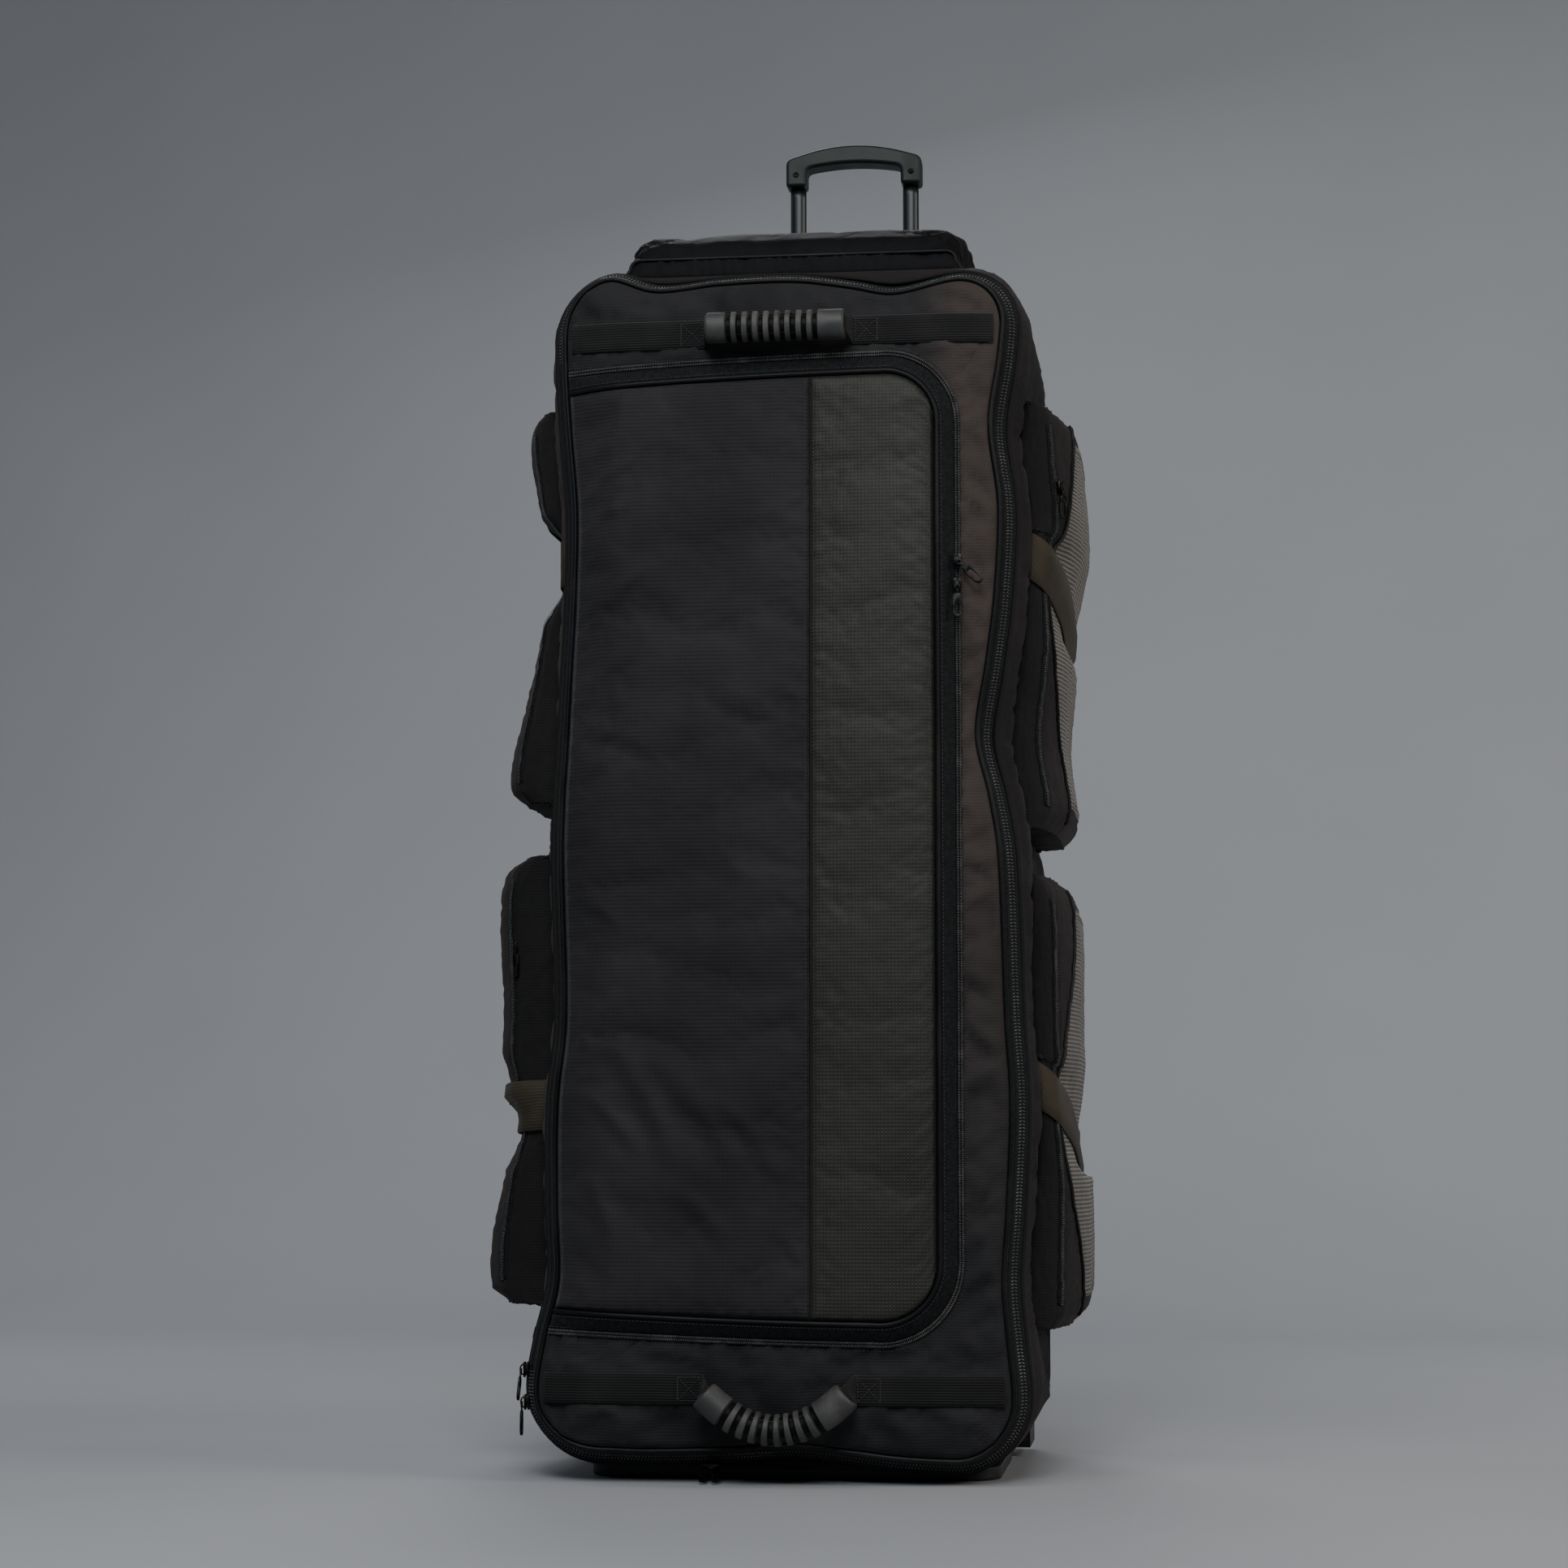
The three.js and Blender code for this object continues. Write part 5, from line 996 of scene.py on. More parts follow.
press_out(flap_dark, flap_creased * np.clip(dark_edge / 8, 0, 1))
flap_olive, olive_edge = flap_panel("flap_olive_cloth", FLAP["seam"] + 0.2, FLAP["right"] - 0.6, FLAP["cell"],
                                    OLIVE)
settle(flap_olive, (olive_edge < 1).astype(float), slack=0.004, swell=0.9, cap=0.0022, stiff=14.0, seed=12)
for panel, panel_node, panel_slot in [(flap_dark, "flap_dark", "shell"), (flap_olive, "flap_olive", "olive")]:
    lined(panel, 0.002)
    belongs(panel, panel_node)


# The pocket's zipped edge: its own thin cord, a smooth tape that slopes down to the lid, and a coil zip.
# The tape rises and falls a little, as a sewn one does, and stitches run beside the cord and the zip.
EDGE = {"cord": 2.0, "cord_out": 2.6, "tape_in": 4.9, "tape_out": 15.9, "coil_in": 16.2, "coil_out": 21.2,
        "coil_lift": 2.6, "pitch": 1.45, "tooth": (1.0, 2.7, 1.3), "line_steps": 60, "arc_steps": 14}


def flap_path(out):
    """Right-hand edge of the pocket at a distance outside it, from top left round to bottom left."""
    right, top, bottom = FLAP["right"] + out, FLAP["top"] + out, FLAP["bottom"] - out
    top_radius, bottom_radius = FLAP["corner_top"] + out, FLAP["corner_bottom"] + out
    steps, arc = EDGE["line_steps"], EDGE["arc_steps"]
    x_top = FLAP["left"] + (right - top_radius - FLAP["left"]) * np.arange(steps) / steps
    turn = math.pi / 2 * (1 - np.arange(arc + 1) / arc)
    z_side = np.linspace(top - top_radius, bottom + bottom_radius, steps * 2 + 1)[1:-1]
    fall = -math.pi / 2 * np.arange(arc + 1) / arc
    x_low = FLAP["left"] + (right - bottom_radius - FLAP["left"]) * np.arange(steps - 1, -1, -1) / steps
    return np.concatenate([
        np.stack([x_top, top - FLAP["top_slope"] * flap_slope(x_top) ** 2], -1),
        np.stack([right - top_radius * (1 - np.cos(turn)), top - top_radius * (1 - np.sin(turn))], -1),
        np.stack([np.full(len(z_side), right), z_side], -1),
        np.stack([right - bottom_radius * (1 - np.cos(fall)), bottom + bottom_radius * (1 + np.sin(fall))], -1),
        np.stack([x_low, bottom + FLAP["bottom_slope"] * flap_slope(x_low) ** 2], -1)])


def flap_line(out, lift):
    """A line of points along the pocket's edge, lifted off the lid by lift, a number or a rule of x."""
    path = flap_path(out)
    rise = lift(path[:, 0]) if callable(lift) else lift
    drawn = to_hinge(path[:, 0], path[:, 1])
    return np.stack([drawn, lid_face(drawn, path[:, 1]) - rise, path[:, 1]], -1)


def outwards(line):
    """The way that faces the front, at each point of a line."""
    return np.broadcast_to(np.array([0.0, -1.0, 0.0]), line.shape)


pocket_cord_line = flap_line(EDGE["cord_out"], lambda x: flap_lift(x) - FLAP["wall"] / 2)
pocket_cord = cord_on("pocket_cord", pocket_cord_line, EDGE["cord"], SATIN)
belongs(pocket_cord, "flap_piping")
slope_out = EDGE["tape_out"] - EDGE["tape_in"]
TAPE_FALL = {"under": 1.4, "low": 2.4, "bow": 0.7}


def tape_lift(part):
    """Rule for the tape's height at a share of its width: from the flap down to the coil, a little bowed."""
    bow = TAPE_FALL["bow"] * math.sin(math.pi * part)
    return lambda x: (flap_lift(x) - TAPE_FALL["under"]) * (1 - part) + TAPE_FALL["low"] * part + bow


pocket_tape_rows = [flap_line(EDGE["tape_in"] + slope_out * part, tape_lift(part))
                    for part in (0.0, 0.08, 0.3, 0.55, 0.8, 0.93, 1.0)]
pocket_tape_rows.append(flap_line(EDGE["tape_out"] + 0.1, 1.0))
pocket_tape = band_on("pocket_tape", pocket_tape_rows, TAPE, wall=0.0012)
belongs(pocket_tape, "flap_zip_tape")
coil_line = (EDGE["coil_in"] + EDGE["coil_out"]) / 2
pocket_up = outwards(pocket_cord_line)
for k, (shift, lean) in enumerate([(-1.25, 0.25), (1.25, -0.25)]):
    coil_points = flap_line(coil_line + shift, EDGE["coil_lift"])
    pocket_coil = row_on(f"pocket_coil_{k}", coil_points, pocket_up, EDGE["pitch"], EDGE["tooth"], COIL,
                         lean=lean)
    belongs(pocket_coil, "flap_zip_teeth")
coil_bed_lines = [flap_line(EDGE["coil_in"] + out, lift) for out, lift in [(-0.2, 1.7), (2.3, 1.7), (5.0, 1.2)]]
belongs(band_on("pocket_coil_bed", coil_bed_lines, TAPE, wall=0.0008))
EDGE_SEAMS = {"in": (EDGE["tape_in"] + 1.3, lambda x: flap_lift(x) - 0.9), "out": (EDGE["tape_out"] - 1.0, 2.9),
              "lid": (EDGE["coil_out"] + 2.4, 0.5)}
for place, (out, lift) in EDGE_SEAMS.items():
    pocket_seam = row_on(f"pocket_stitches_{place}", flap_line(out, lift), pocket_up, STITCH["pitch"],
                         STITCH["fine"], THREAD)
    belongs(pocket_seam)


# The stitch lines on the flap: one each side of the seam between its panels, and one down its right edge.
def panel_line(x, inset, lift):
    """A line down the flap at a place across it, that ends inset from both its ends."""
    low, high = flap_ends(np.array(float(x)))
    z = np.linspace(low + inset, high - inset, 120)
    across = np.full(len(z), float(x))
    return np.stack([across, lid_face(across, z) - flap_lift(across) - lift, z], -1)


PANEL_SEAMS = [  # name, place across, inset, lift
    ("seam_left", FLAP["seam"] - 3.2, 6, 0.4), ("seam_right", FLAP["seam"] + 3.2, 6, 0.4),
    ("olive_edge", FLAP["right"] - 4.5, 22, 0.2),
]
for seam_name, seam_x, seam_inset, seam_lift in PANEL_SEAMS:
    seam_line = panel_line(seam_x, seam_inset, seam_lift)
    flap_seam = row_on(f"flap_{seam_name}", seam_line, outwards(seam_line), 3.0, (2.1, 0.6, 0.6), THREAD)
    belongs(flap_seam)


# The grab handles: a cross strap of ribbed webbing, box-stitched to the lid at both ends and beside
# the grip, that stands off it through a moulded rubber sleeve with nine slots between its ribs.
WEBBING = {"width": 24, "thick": 1.8, "reach": 176, "narrow": 0.62, "steps": 150}
WEBBING_SECTION = [  # place across as a share of the half width, lift
    (-1, 0.5), (-0.92, -0.35), (-0.5, -0.5), (0, -0.55), (0.5, -0.5), (0.92, -0.35), (1, 0.5),
]
GRIP = {"left": -63, "right": 56, "radius": 12.6, "groove": 4.4, "slots": 9, "ribbed_left": -46,
        "ribbed_right": 34, "gap": 8, "core": 13, "under": 1.5, "sag": 30, "sides": 28, "steps": 240,
        "mouth": 0.62, "bore": 0.6, "bore_depth": 12}
BOX = {"inner": [(-1, 66, 84), (1, 60, 78)], "half": 9, "steps": 8, "pitch": 2.9, "size": (2.2, 0.7, 0.6)}
strapping = Finish("ribbed_webbing", Specular_IOR_Level=0.25, Sheen_Weight=0.08, Sheen_Roughness=0.35)
strapping_flat = strapping.place("UV")
strapping_across = strapping.part(strapping_flat, "X")
strapping_along = strapping.part(strapping_flat, "Y")
strapping_rib = (strapping_across * (2 * math.pi / 0.0021)).sine()
strapping_pick = (strapping_along * (2 * math.pi / 0.0014)).sine()
strapping_fuzz = strapping.noise(strapping.place(), 480, detail=2)
strapping_worn = strapping.noise(strapping.place(), 22, detail=4).share(0.4, 0.7)
strapping_tone = strapping.mix(strapping_worn * 0.6 + strapping_fuzz * 0.4,
                               (0.0045, 0.005, 0.0052), (0.012, 0.0125, 0.0125))
strapping_weave = strapping_rib * 0.6 + strapping_rib * strapping_pick * 0.4 + strapping_fuzz * 0.3
strapping.wear(Base_Color=strapping_tone, Roughness=strapping_fuzz * 0.15 + 0.68,
               Normal=strapping.bump(strapping_weave, 0.0006, strength=0.7))
STRAPPING = strapping.material
rubber = Finish("moulded_rubber", Specular_IOR_Level=0.42)
rubber_grain = rubber.noise(rubber.place(), 620, detail=2)
rubber_dust = rubber.noise(rubber.place(), 38, detail=4).share(0.4, 0.72)
rubber.wear(Base_Color=rubber.mix(rubber_dust, (0.034, 0.035, 0.035), (0.074, 0.074, 0.071)),
            Roughness=0.5 + rubber_dust * 0.18 + rubber_grain * 0.06,
            Normal=rubber.bump(rubber_grain, 0.0003, strength=0.45))
RUBBER = rubber.material
# Painted shade: the slots' faces take this near-black colour, far darker than the rubber, for the shade deep in
# the slots
shade = Finish("rubber_slot_painted_shade", Specular_IOR_Level=0.1)
shade.wear(Base_Color=shade.mix(shade.noise(shade.place(), 300), (0.003, 0.003, 0.003), (0.006, 0.006, 0.006)))
SLOT_PAINTED_SHADE = shade.material


grip_half = (GRIP["right"] - GRIP["left"]) / 2
grip_middle = (GRIP["right"] + GRIP["left"]) / 2


def to_waist(x, z):
    """Draws the outer ends of a strap across the lid in or out with the lid's waist."""
    widen = np.clip((np.abs(x) / WEBBING["reach"] - 0.6) / 0.2, 0, 1)
    return x * (1 + (waist(x, z) - 1) * widen)


def webbing_line(z, sag):
    """Middle line of a grab handle's webbing, and how far each point is from the grip's middle, as a share."""
    x = to_waist(np.linspace(-WEBBING["reach"], WEBBING["reach"], WEBBING["steps"]), z)
    height = np.full(len(x), float(z))
    away = np.abs(x - grip_middle) / grip_half
    inside = np.clip((1.04 - away) / 0.07, 0, 1)
    inside = inside * inside * (3 - 2 * inside)
    face = np.minimum(settled_lid(x, height), lid_face(x, height)) - 0.6
    face = np.convolve(np.pad(face, 2, mode="edge"), np.ones(5) / 5, mode="valid") - WEBBING["thick"] / 2
    y = face - (GRIP["gap"] + GRIP["core"]) * inside
    return np.stack([x, y, z - sag * np.maximum(0, 1 - away**2)], -1), away


def along_line(line):
    """The way along a line, at each of its points."""
    step = np.gradient(line, axis=0)
    return step / np.linalg.norm(step, axis=1)[:, None]


for handle_name, handle_sag in [("top", 0), ("bottom", GRIP["sag"])]:
    handle_z = GRAB[handle_name]
    line, away = webbing_line(handle_z, handle_sag)
    run = along_line(line)
    across = np.stack([-run[:, 2], np.zeros(len(line)), run[:, 0]], -1)
    across = across / np.linalg.norm(across, axis=1)[:, None]
    narrow = np.where(away < 1, WEBBING["narrow"], 1.0)[:, None] * WEBBING["width"] / 2
    waves = seam_waves(np.linspace(0, 1, len(line)), 21, 0.35) - 0.2
    wobble = np.array([0, 1, 0]) * waves[:, None]
    strap_rows = [line + wobble + across * narrow * share + np.array([0, lift, 0])
                  for share, lift in WEBBING_SECTION]
    strap_piece = band_on(f"webbing_{handle_name}_strap", strap_rows, STRAPPING,
                          wall=WEBBING["thick"] * MM * 0.7)
    belongs(strap_piece, f"webbing_{handle_name}")

    steps, count = GRIP["steps"], GRIP["sides"]
    inner = np.linspace(GRIP["left"] + 2.5, GRIP["right"] - 2.5, steps)
    spine_y = lid_face(inner, np.full(steps, float(handle_z))) - GRIP["under"] - GRIP["gap"] - GRIP["core"]
    spine_z = handle_z - handle_sag * (1 - ((inner - grip_middle) / grip_half) ** 2)
    spine = np.stack([np.interp(inner, line[:, 0], line[:, 0]), spine_y, spine_z], -1)
    ribbed = np.clip(np.minimum(inner - GRIP["ribbed_left"], GRIP["ribbed_right"] - inner) / 2, 0, 1)
    phase = (inner - GRIP["ribbed_left"]) / (GRIP["ribbed_right"] - GRIP["ribbed_left"]) * GRIP["slots"]
    slotted = np.clip((np.cos(2 * math.pi * (phase - 0.5)) + 0.12) / 0.3, 0, 1)
    slot_depth = slotted * GRIP["groove"] * ribbed
    end_round = np.minimum(np.minimum(inner - inner[0], inner[-1] - inner), 3.0) / 3.0
    radius = (GRIP["radius"] - slot_depth) * (0.86 + 0.14 * np.sqrt(1 - (1 - end_round) ** 2))
    grip_run = along_line(spine)
    grip_across = np.stack([-grip_run[:, 2], np.zeros(steps), grip_run[:, 0]], -1)
    turns = 2 * math.pi * np.arange(count) / count
    slot_share = 0.5 + 0.5 * np.clip(-np.sin(turns) * 1.6 + 0.3, -1, 1)
    rings = []
    for i in range(steps):
        ring_radius = np.where(slot_share > 0, radius[i] + (1 - slot_share) * slot_depth[i], radius[i])
        rings.append(spine[i] + grip_across[i] * (ring_radius * np.cos(turns))[:, None]
                     + np.array([0, 1, 0]) * (ring_radius * np.sin(turns))[:, None])
    mouth = [spine[i] + (rings[i] - spine[i]) * GRIP["mouth"] for i in (0, steps - 1)]
    deep = [spine[i] + (rings[i] - spine[i]) * GRIP["bore"]
            for i in (GRIP["bore_depth"], steps - 1 - GRIP["bore_depth"])]
    sleeve = np.array([deep[0], mouth[0], *rings, mouth[1], deep[1]])
    end_middles = [sleeve[0].mean(axis=0), sleeve[-1].mean(axis=0)]
    grip_points = np.concatenate([sleeve.reshape(-1, 3), end_middles])
    grip_faces = grid_faces(len(sleeve), count, closed=True, flip=True)
    last = (len(sleeve) - 1) * count
    grip_faces += [(len(grip_points) - 2, k, (k + 1) % count) for k in range(count)]
    grip_faces += [(len(grip_points) - 1, last + (k + 1) % count, last + k) for k in range(count)]
    grip_piece = new_piece(f"grip_{handle_name}_sleeve", grip_points * MM, grip_faces, RUBBER)
    grip_piece.data.materials.append(SLOT_PAINTED_SHADE)
    # Faces deep in the slots take the near-black painted-shade colour
    for poly in grip_piece.data.polygons:
        ring = min(poly.vertices) // count - 2
        in_slot = 0 <= ring < steps - 1 and min(slot_depth[ring], slot_depth[ring + 1]) > 0.5 * GRIP["groove"]
        poly.material_index = int(in_slot)
    belongs(grip_piece, f"grip_{handle_name}")

    # Box stitches: a rectangle with a cross on each side of the grip
    for k, (side, near, far) in enumerate(BOX["inner"]):
        low, high = -BOX["half"], BOX["half"]
        corners = [(near, low), (far, low), (far, high), (near, high), (near, low), (far, high), (far, low),
                   (near, high)]
        legs = [np.linspace(start, end, BOX["steps"])[:-1] for start, end in zip(corners[:-1], corners[1:])]
        at = np.concatenate([*legs, [corners[-1]]])
        box_x = to_waist(side * at[:, 0], handle_z)
        box_y = np.interp(box_x, line[:, 0], (line + wobble)[:, 1]) - 1.15
        loop = np.stack([box_x, box_y, handle_z + at[:, 1]], -1)
        box_row = row_on(f"webbing_{handle_name}_stitches_{k}", loop, outwards(loop), BOX["pitch"], BOX["size"],
                         THREAD)
        belongs(box_row)


# The hood: a padded cap of soft black cloth, sewn to the top end in front of the pull-out handle.
# It sags between its seams and wrinkles, and a cord is sewn along its front and back edges.
HOOD = {"front": -120, "back": 108, "half": 138, "flare": 8, "corner": 14, "height": 70, "columns": 110,
        "rows": 44, "around": 420, "along": 290, "cord": 1.7}
HOOD_LINE = [  # share of the depth, share of the height
    (0.0, 0.22), (0.05, 0.48), (0.13, 0.62), (0.35, 0.78), (0.53, 0.88), (0.7, 0.97), (0.88, 1.0),
    (0.96, 0.88), (1.0, 0.6),
]


def tub_top_at(y):
    """Height of the tub's top at a depth."""
    depth = (y - TUB["front"]) / tub_depth
    near = [np.interp(depth + step, tub_columns[0], tub_columns[1]) for step in (-0.05, 0, 0.05)]
    swell = np.max(near, axis=0)
    rise = TUB["top_rise"] * np.interp(depth, tub_columns[0], tub_columns[2])
    return LID["top"] + TUB["grow"] * swell + rise


def hood_arch(y, floor, height):
    """Outline of the hood at a depth: up the left side, over and down the right."""
    radius = min(HOOD["corner"], height * 0.45)
    half, top = HOOD["half"], floor + height
    turn = np.linspace(math.pi / 2, 0, 7)
    left = np.stack([-half + radius - radius * np.sin(turn), top - radius + radius * np.cos(turn)], -1)
    right = left[::-1] * [-1, 1]
    foot = half + HOOD["flare"]
    corners = np.concatenate([[(-foot, floor - 2)], left, right, [(foot, floor - 2)]])
    run = np.concatenate([[0], np.cumsum(np.linalg.norm(np.diff(corners, axis=0), axis=1))])
    at = np.linspace(0, run[-1], HOOD["columns"])
    x, z = np.interp(at, run, corners[:, 0]), np.interp(at, run, corners[:, 1])
    return np.stack([x, np.full(len(x), y), z], -1)


def hood_fall(row, y, step, shares):
    """Rows that fall from an end of the hood down to the tub's top, a step outside it."""
    floor = tub_top_at(y)
    return [row * [1, 1, 0] + [0, step, 0] + np.outer(floor - 1 + (row[:, 2] - floor) * share, [0, 0, 1])
            for share in shares]


hood_depth = HOOD["back"] - HOOD["front"]
hood_shares = np.concatenate([np.linspace(0, 0.16, 12)[:-1], np.linspace(0.16, 0.9, HOOD["rows"] - 20),
                              np.linspace(0.9, 1, 10)[1:]])
hood_heights = np.interp(hood_shares, [row[0] for row in HOOD_LINE], [row[1] for row in HOOD_LINE])
hood_rows = [hood_arch(y, tub_top_at(y) + 0.3, HOOD["height"] * h - 2.5)
             for y, h in zip(HOOD["front"] + hood_depth * hood_shares, hood_heights)]
front_fall = hood_fall(hood_rows[0], HOOD["front"], -0.5, (0.0, 0.5))
back_fall = hood_fall(hood_rows[-1], HOOD["back"], 0.5, (0.75, 0.5, 0.25, 0.0))
hood_grid = np.array(front_fall + hood_rows + back_fall)
hood_finish = cloth_finish("hood_cloth", (0.002, 0.0024, 0.0032), (0.006, 0.0064, 0.0075), sheen=0.02,
                           gloss=0.1, roughness=0.55, tint=(0.6, 0.5, 0.4))
hood_piece = new_piece("hood_cap", hood_grid.reshape(-1, 3) * MM, grid_faces(*hood_grid.shape[:2]), hood_finish)
hood_across = np.repeat(np.linspace(0, HOOD["around"], hood_grid.shape[1])[None], hood_grid.shape[0], axis=0)
hood_along = np.repeat(np.linspace(0, HOOD["along"], hood_grid.shape[0])[:, None], hood_grid.shape[1], axis=1)
cloth_map(hood_piece, hood_across * MM, hood_along * MM)
hood_sewn = np.zeros(hood_grid.shape[:2])
hood_sewn[[0, -1]] = 1
hood_sewn[:, [0, -1]] = 1
hood_sewn[2] = 0.5
settle(hood_piece, hood_sewn.ravel(), slack=0.05, swell=0.25, cap=0.0045, stiff=1.2, seed=31)
lined(hood_piece, 0.0025)
belongs(hood_piece, "hood")
for place, row, step in [("front", hood_rows[1], -1.2), ("back", hood_rows[-2], 1.6)]:
    belongs(cord_on(f"hood_{place}_cord", row + [0, step, 0.6], HOOD["cord"], SATIN))


# The four side pockets: deep pleated bags of black cloth on the tub's sides, each pinched by a wide
# strap, with a zip down its front fold and an outer panel of pale ribbed cloth.
POCKET = {"front": -108, "back": 112, "levels": 76, "points": 64, "strap_width": 40, "soft": 0.09, "sunk": 3.5,
          "over": 1.5, "around": 300}
# Heights from bottom to top, depths at low and high, the strap's place and pinch as shares, its slant in
# mm, how much the pocket tapers below and above it, and how full its front is
POCKET_COLUMNS = ("name", "side", "bottom", "top", "low", "high", "strap_at", "pinch", "slant", "taper",
                  "front")
SIDE_POCKETS = [dict(zip(POCKET_COLUMNS, row)) for row in [
    ("left_upper", -1, 556, 886, 60, 42, 0.6, 0.72, 8, (0.5, 0.45), 1.25),
    ("left_lower", -1, 140, 508, 70, 58, 0.43, 0.2, 8, (0.35, 0.05), 1.3),
    ("right_upper", 1, 530, 884, 46, 52, 0.56, 0.2, 60, (0.1, 0.0), 1.0),
    ("right_lower", 1, 122, 488, 48, 40, 0.46, 0.22, 60, (0.0, 0.12), 1.0),
]]
POCKET_PLAN = [  # place along the plan, how far out, how far back
    (0, 0.0, 0.0), (1, 0.3, 0.0), (2, 0.5, 0.02), (3, 0.64, 0.07), (4, 0.88, 0.25), (5, 1.0, 0.48),
    (6, 1.0, 0.88), (7, 0.8, 0.97), (8, 0.0, 1.0),
]
POCKET_LEVELS = [  # share of the height, how full
    (0.0, 0.62), (0.03, 0.88), (0.12, 1.0), (0.22, 0.98), (0.34, 0.94), (0.66, 0.94), (0.8, 0.98), (0.92, 0.97),
    (0.98, 0.84), (1.0, 0.6),
]
STRAP_SLANT = list(enumerate([0, 0.1, 0.2, 0.3, 0.55, 0.85, 1, 1, 1]))
STRAP_SECTION = [  # place across as a share of the half width, lift
    (-1, 2.0), (-0.95, 2.8), (-0.5, 3.0), (0, 3.1), (0.5, 3.0), (0.95, 2.8), (1, 2.0),
]
STRAP_FULL = 0.94
END_FOLDS = 5
PANEL = {"low": 0.06, "high": 0.94, "back": 6.35, "rows": 90, "columns": 34, "lift": 0.9}
SIDE_ZIP = {"low": 0.05, "high": 0.95, "points": 140, "middle": 2.45, "tape": (2.05, 2.25, 2.45, 2.65, 2.85),
            "pitch": 1.6, "tooth": (1.1, 4.4, 1.4)}
SIDE_CORD = {"low": 0.02, "high": 0.98, "points": 130, "back": 6.9, "radius": 1.6}


def smooth_step(value):
    """Eases a share from 0 to 1."""
    value = np.clip(value, 0, 1)
    return value * value * (3 - 2 * value)


def tub_side(z, side):
    """How far out the tub's side is at a height."""
    return (LID["half"] + TUB["grow"]) * waist(np.full(np.shape(z), float(side)), z, TUB["follow"])


def pocket_grid(pocket):
    """Grid of a side pocket's skin, a row for each level; its rim is sunk a little into the tub's side."""
    height = pocket["top"] - pocket["bottom"]
    v = np.linspace(0, 1, POCKET["levels"])
    v = np.concatenate([np.zeros(END_FOLDS), v, np.ones(END_FOLDS)])[:, None]
    fold = np.linspace(0.0, 0.92, END_FOLDS)
    rounded = np.sqrt(1 - (1 - fold) ** 2)
    ends = np.concatenate([rounded, np.ones(POCKET["levels"]), rounded[::-1]])[:, None]
    over = np.concatenate([np.full(END_FOLDS, -POCKET["over"]), np.zeros(POCKET["levels"]),
                           np.full(END_FOLDS, POCKET["over"])])[:, None]
    s = np.linspace(0, 8, POCKET["points"])[None]
    half = POCKET["strap_width"] / 2 / height
    pinch = smooth_step(1 - (np.abs(v - pocket["strap_at"]) - half) / POCKET["soft"])
    full = read_table(POCKET_LEVELS, 1, v)
    full = full + (STRAP_FULL - full) * pinch
    below, above = pocket["taper"]
    full = full * np.where(v < pocket["strap_at"], 1 - below * v / pocket["strap_at"],
                           1 - above * (1 - v) / (1 - pocket["strap_at"]))
    deep = pocket["low"] + (pocket["high"] - pocket["low"]) * v
    out = deep * full * (1 - pocket["pinch"] * pinch) * ends
    boxy = 1 + (pocket["front"] - 1) * smooth_step(4.4 - s)
    away = out * np.clip(read_table(POCKET_PLAN, 1, s) * boxy, 0, 1)
    y = POCKET["front"] + (POCKET["back"] - POCKET["front"]) * read_table(POCKET_PLAN, 2, s)
    y = np.broadcast_to(y, away.shape)
    slant = pocket["slant"] * pinch * (0.5 - read_table(STRAP_SLANT, 1, s))
    z = pocket["bottom"] + height * v + over + slant
    z = np.clip(z, pocket["bottom"] - POCKET["over"], pocket["top"] + POCKET["over"])
    rim = np.minimum(smooth_step(np.minimum(s, 8 - s) / 0.35), ends)
    x = pocket["side"] * (tub_side(z, pocket["side"]) + away - POCKET["sunk"] * (1 - rim))
    return np.stack([x, y, z], -1), pinch


def panel_front(pocket, v):
    """Place in the plan where the ribbed panel starts: nearest the front at the strap."""
    away = smooth_step(np.abs(v - pocket["strap_at"]) / 0.45)
    return (3.0 if pocket["side"] > 0 else 4.0) + 1.3 * away


def skin_point(skin, lifts, v, s, lift):
    """Points on a settled skin at levels v and places s, raised by lift; skin and lifts are grids."""
    rows, columns = skin.shape[:2]
    at_row = np.clip(END_FOLDS + np.asarray(v, float) * (POCKET["levels"] - 1), 0, rows - 1.001)
    at_column = np.clip(np.asarray(s, float) / 8 * (columns - 1), 0, columns - 1.001)
    r, c = at_row.astype(int), at_column.astype(int)
    tr, tc = (at_row - r)[..., None], (at_column - c)[..., None]

    def mixed(grid):
        low = grid[r, c] * (1 - tc) + grid[r, c + 1] * tc
        high = grid[r + 1, c] * (1 - tc) + grid[r + 1, c + 1] * tc
        return low * (1 - tr) + high * tr

    raised = mixed(lifts)
    raised = raised / np.linalg.norm(raised, axis=-1)[..., None]
    return mixed(skin) + raised * lift, raised


RIBBED = Finish("pale_ribbed_cloth", Sheen_Weight=0.15, Specular_IOR_Level=0.3)
ribbed_flat = RIBBED.place("UV")
ribbed_rib = (RIBBED.part(ribbed_flat, "Y") * (2 * math.pi / 0.0034)).sine().share(-0.55, 0.6)
ribbed_blotch = RIBBED.noise(RIBBED.place(), 12, detail=4)
ribbed_fleck = RIBBED.noise(RIBBED.place(), 500, detail=2)
ribbed_tone = RIBBED.mix(ribbed_blotch.share(0.3, 0.7), (0.13, 0.112, 0.088), (0.20, 0.172, 0.138))
RIBBED.wear(Base_Color=RIBBED.mix(ribbed_rib, (0.022, 0.021, 0.019), ribbed_tone),
            Roughness=0.62 + ribbed_fleck * 0.14,
            Normal=RIBBED.bump(ribbed_rib + ribbed_fleck * 0.25, 0.0007, strength=0.7))
STRAP = Finish("olive_strap", Sheen_Weight=0.04, Sheen_Roughness=0.4, Specular_IOR_Level=0.2)
strap_flat = STRAP.place("UV")
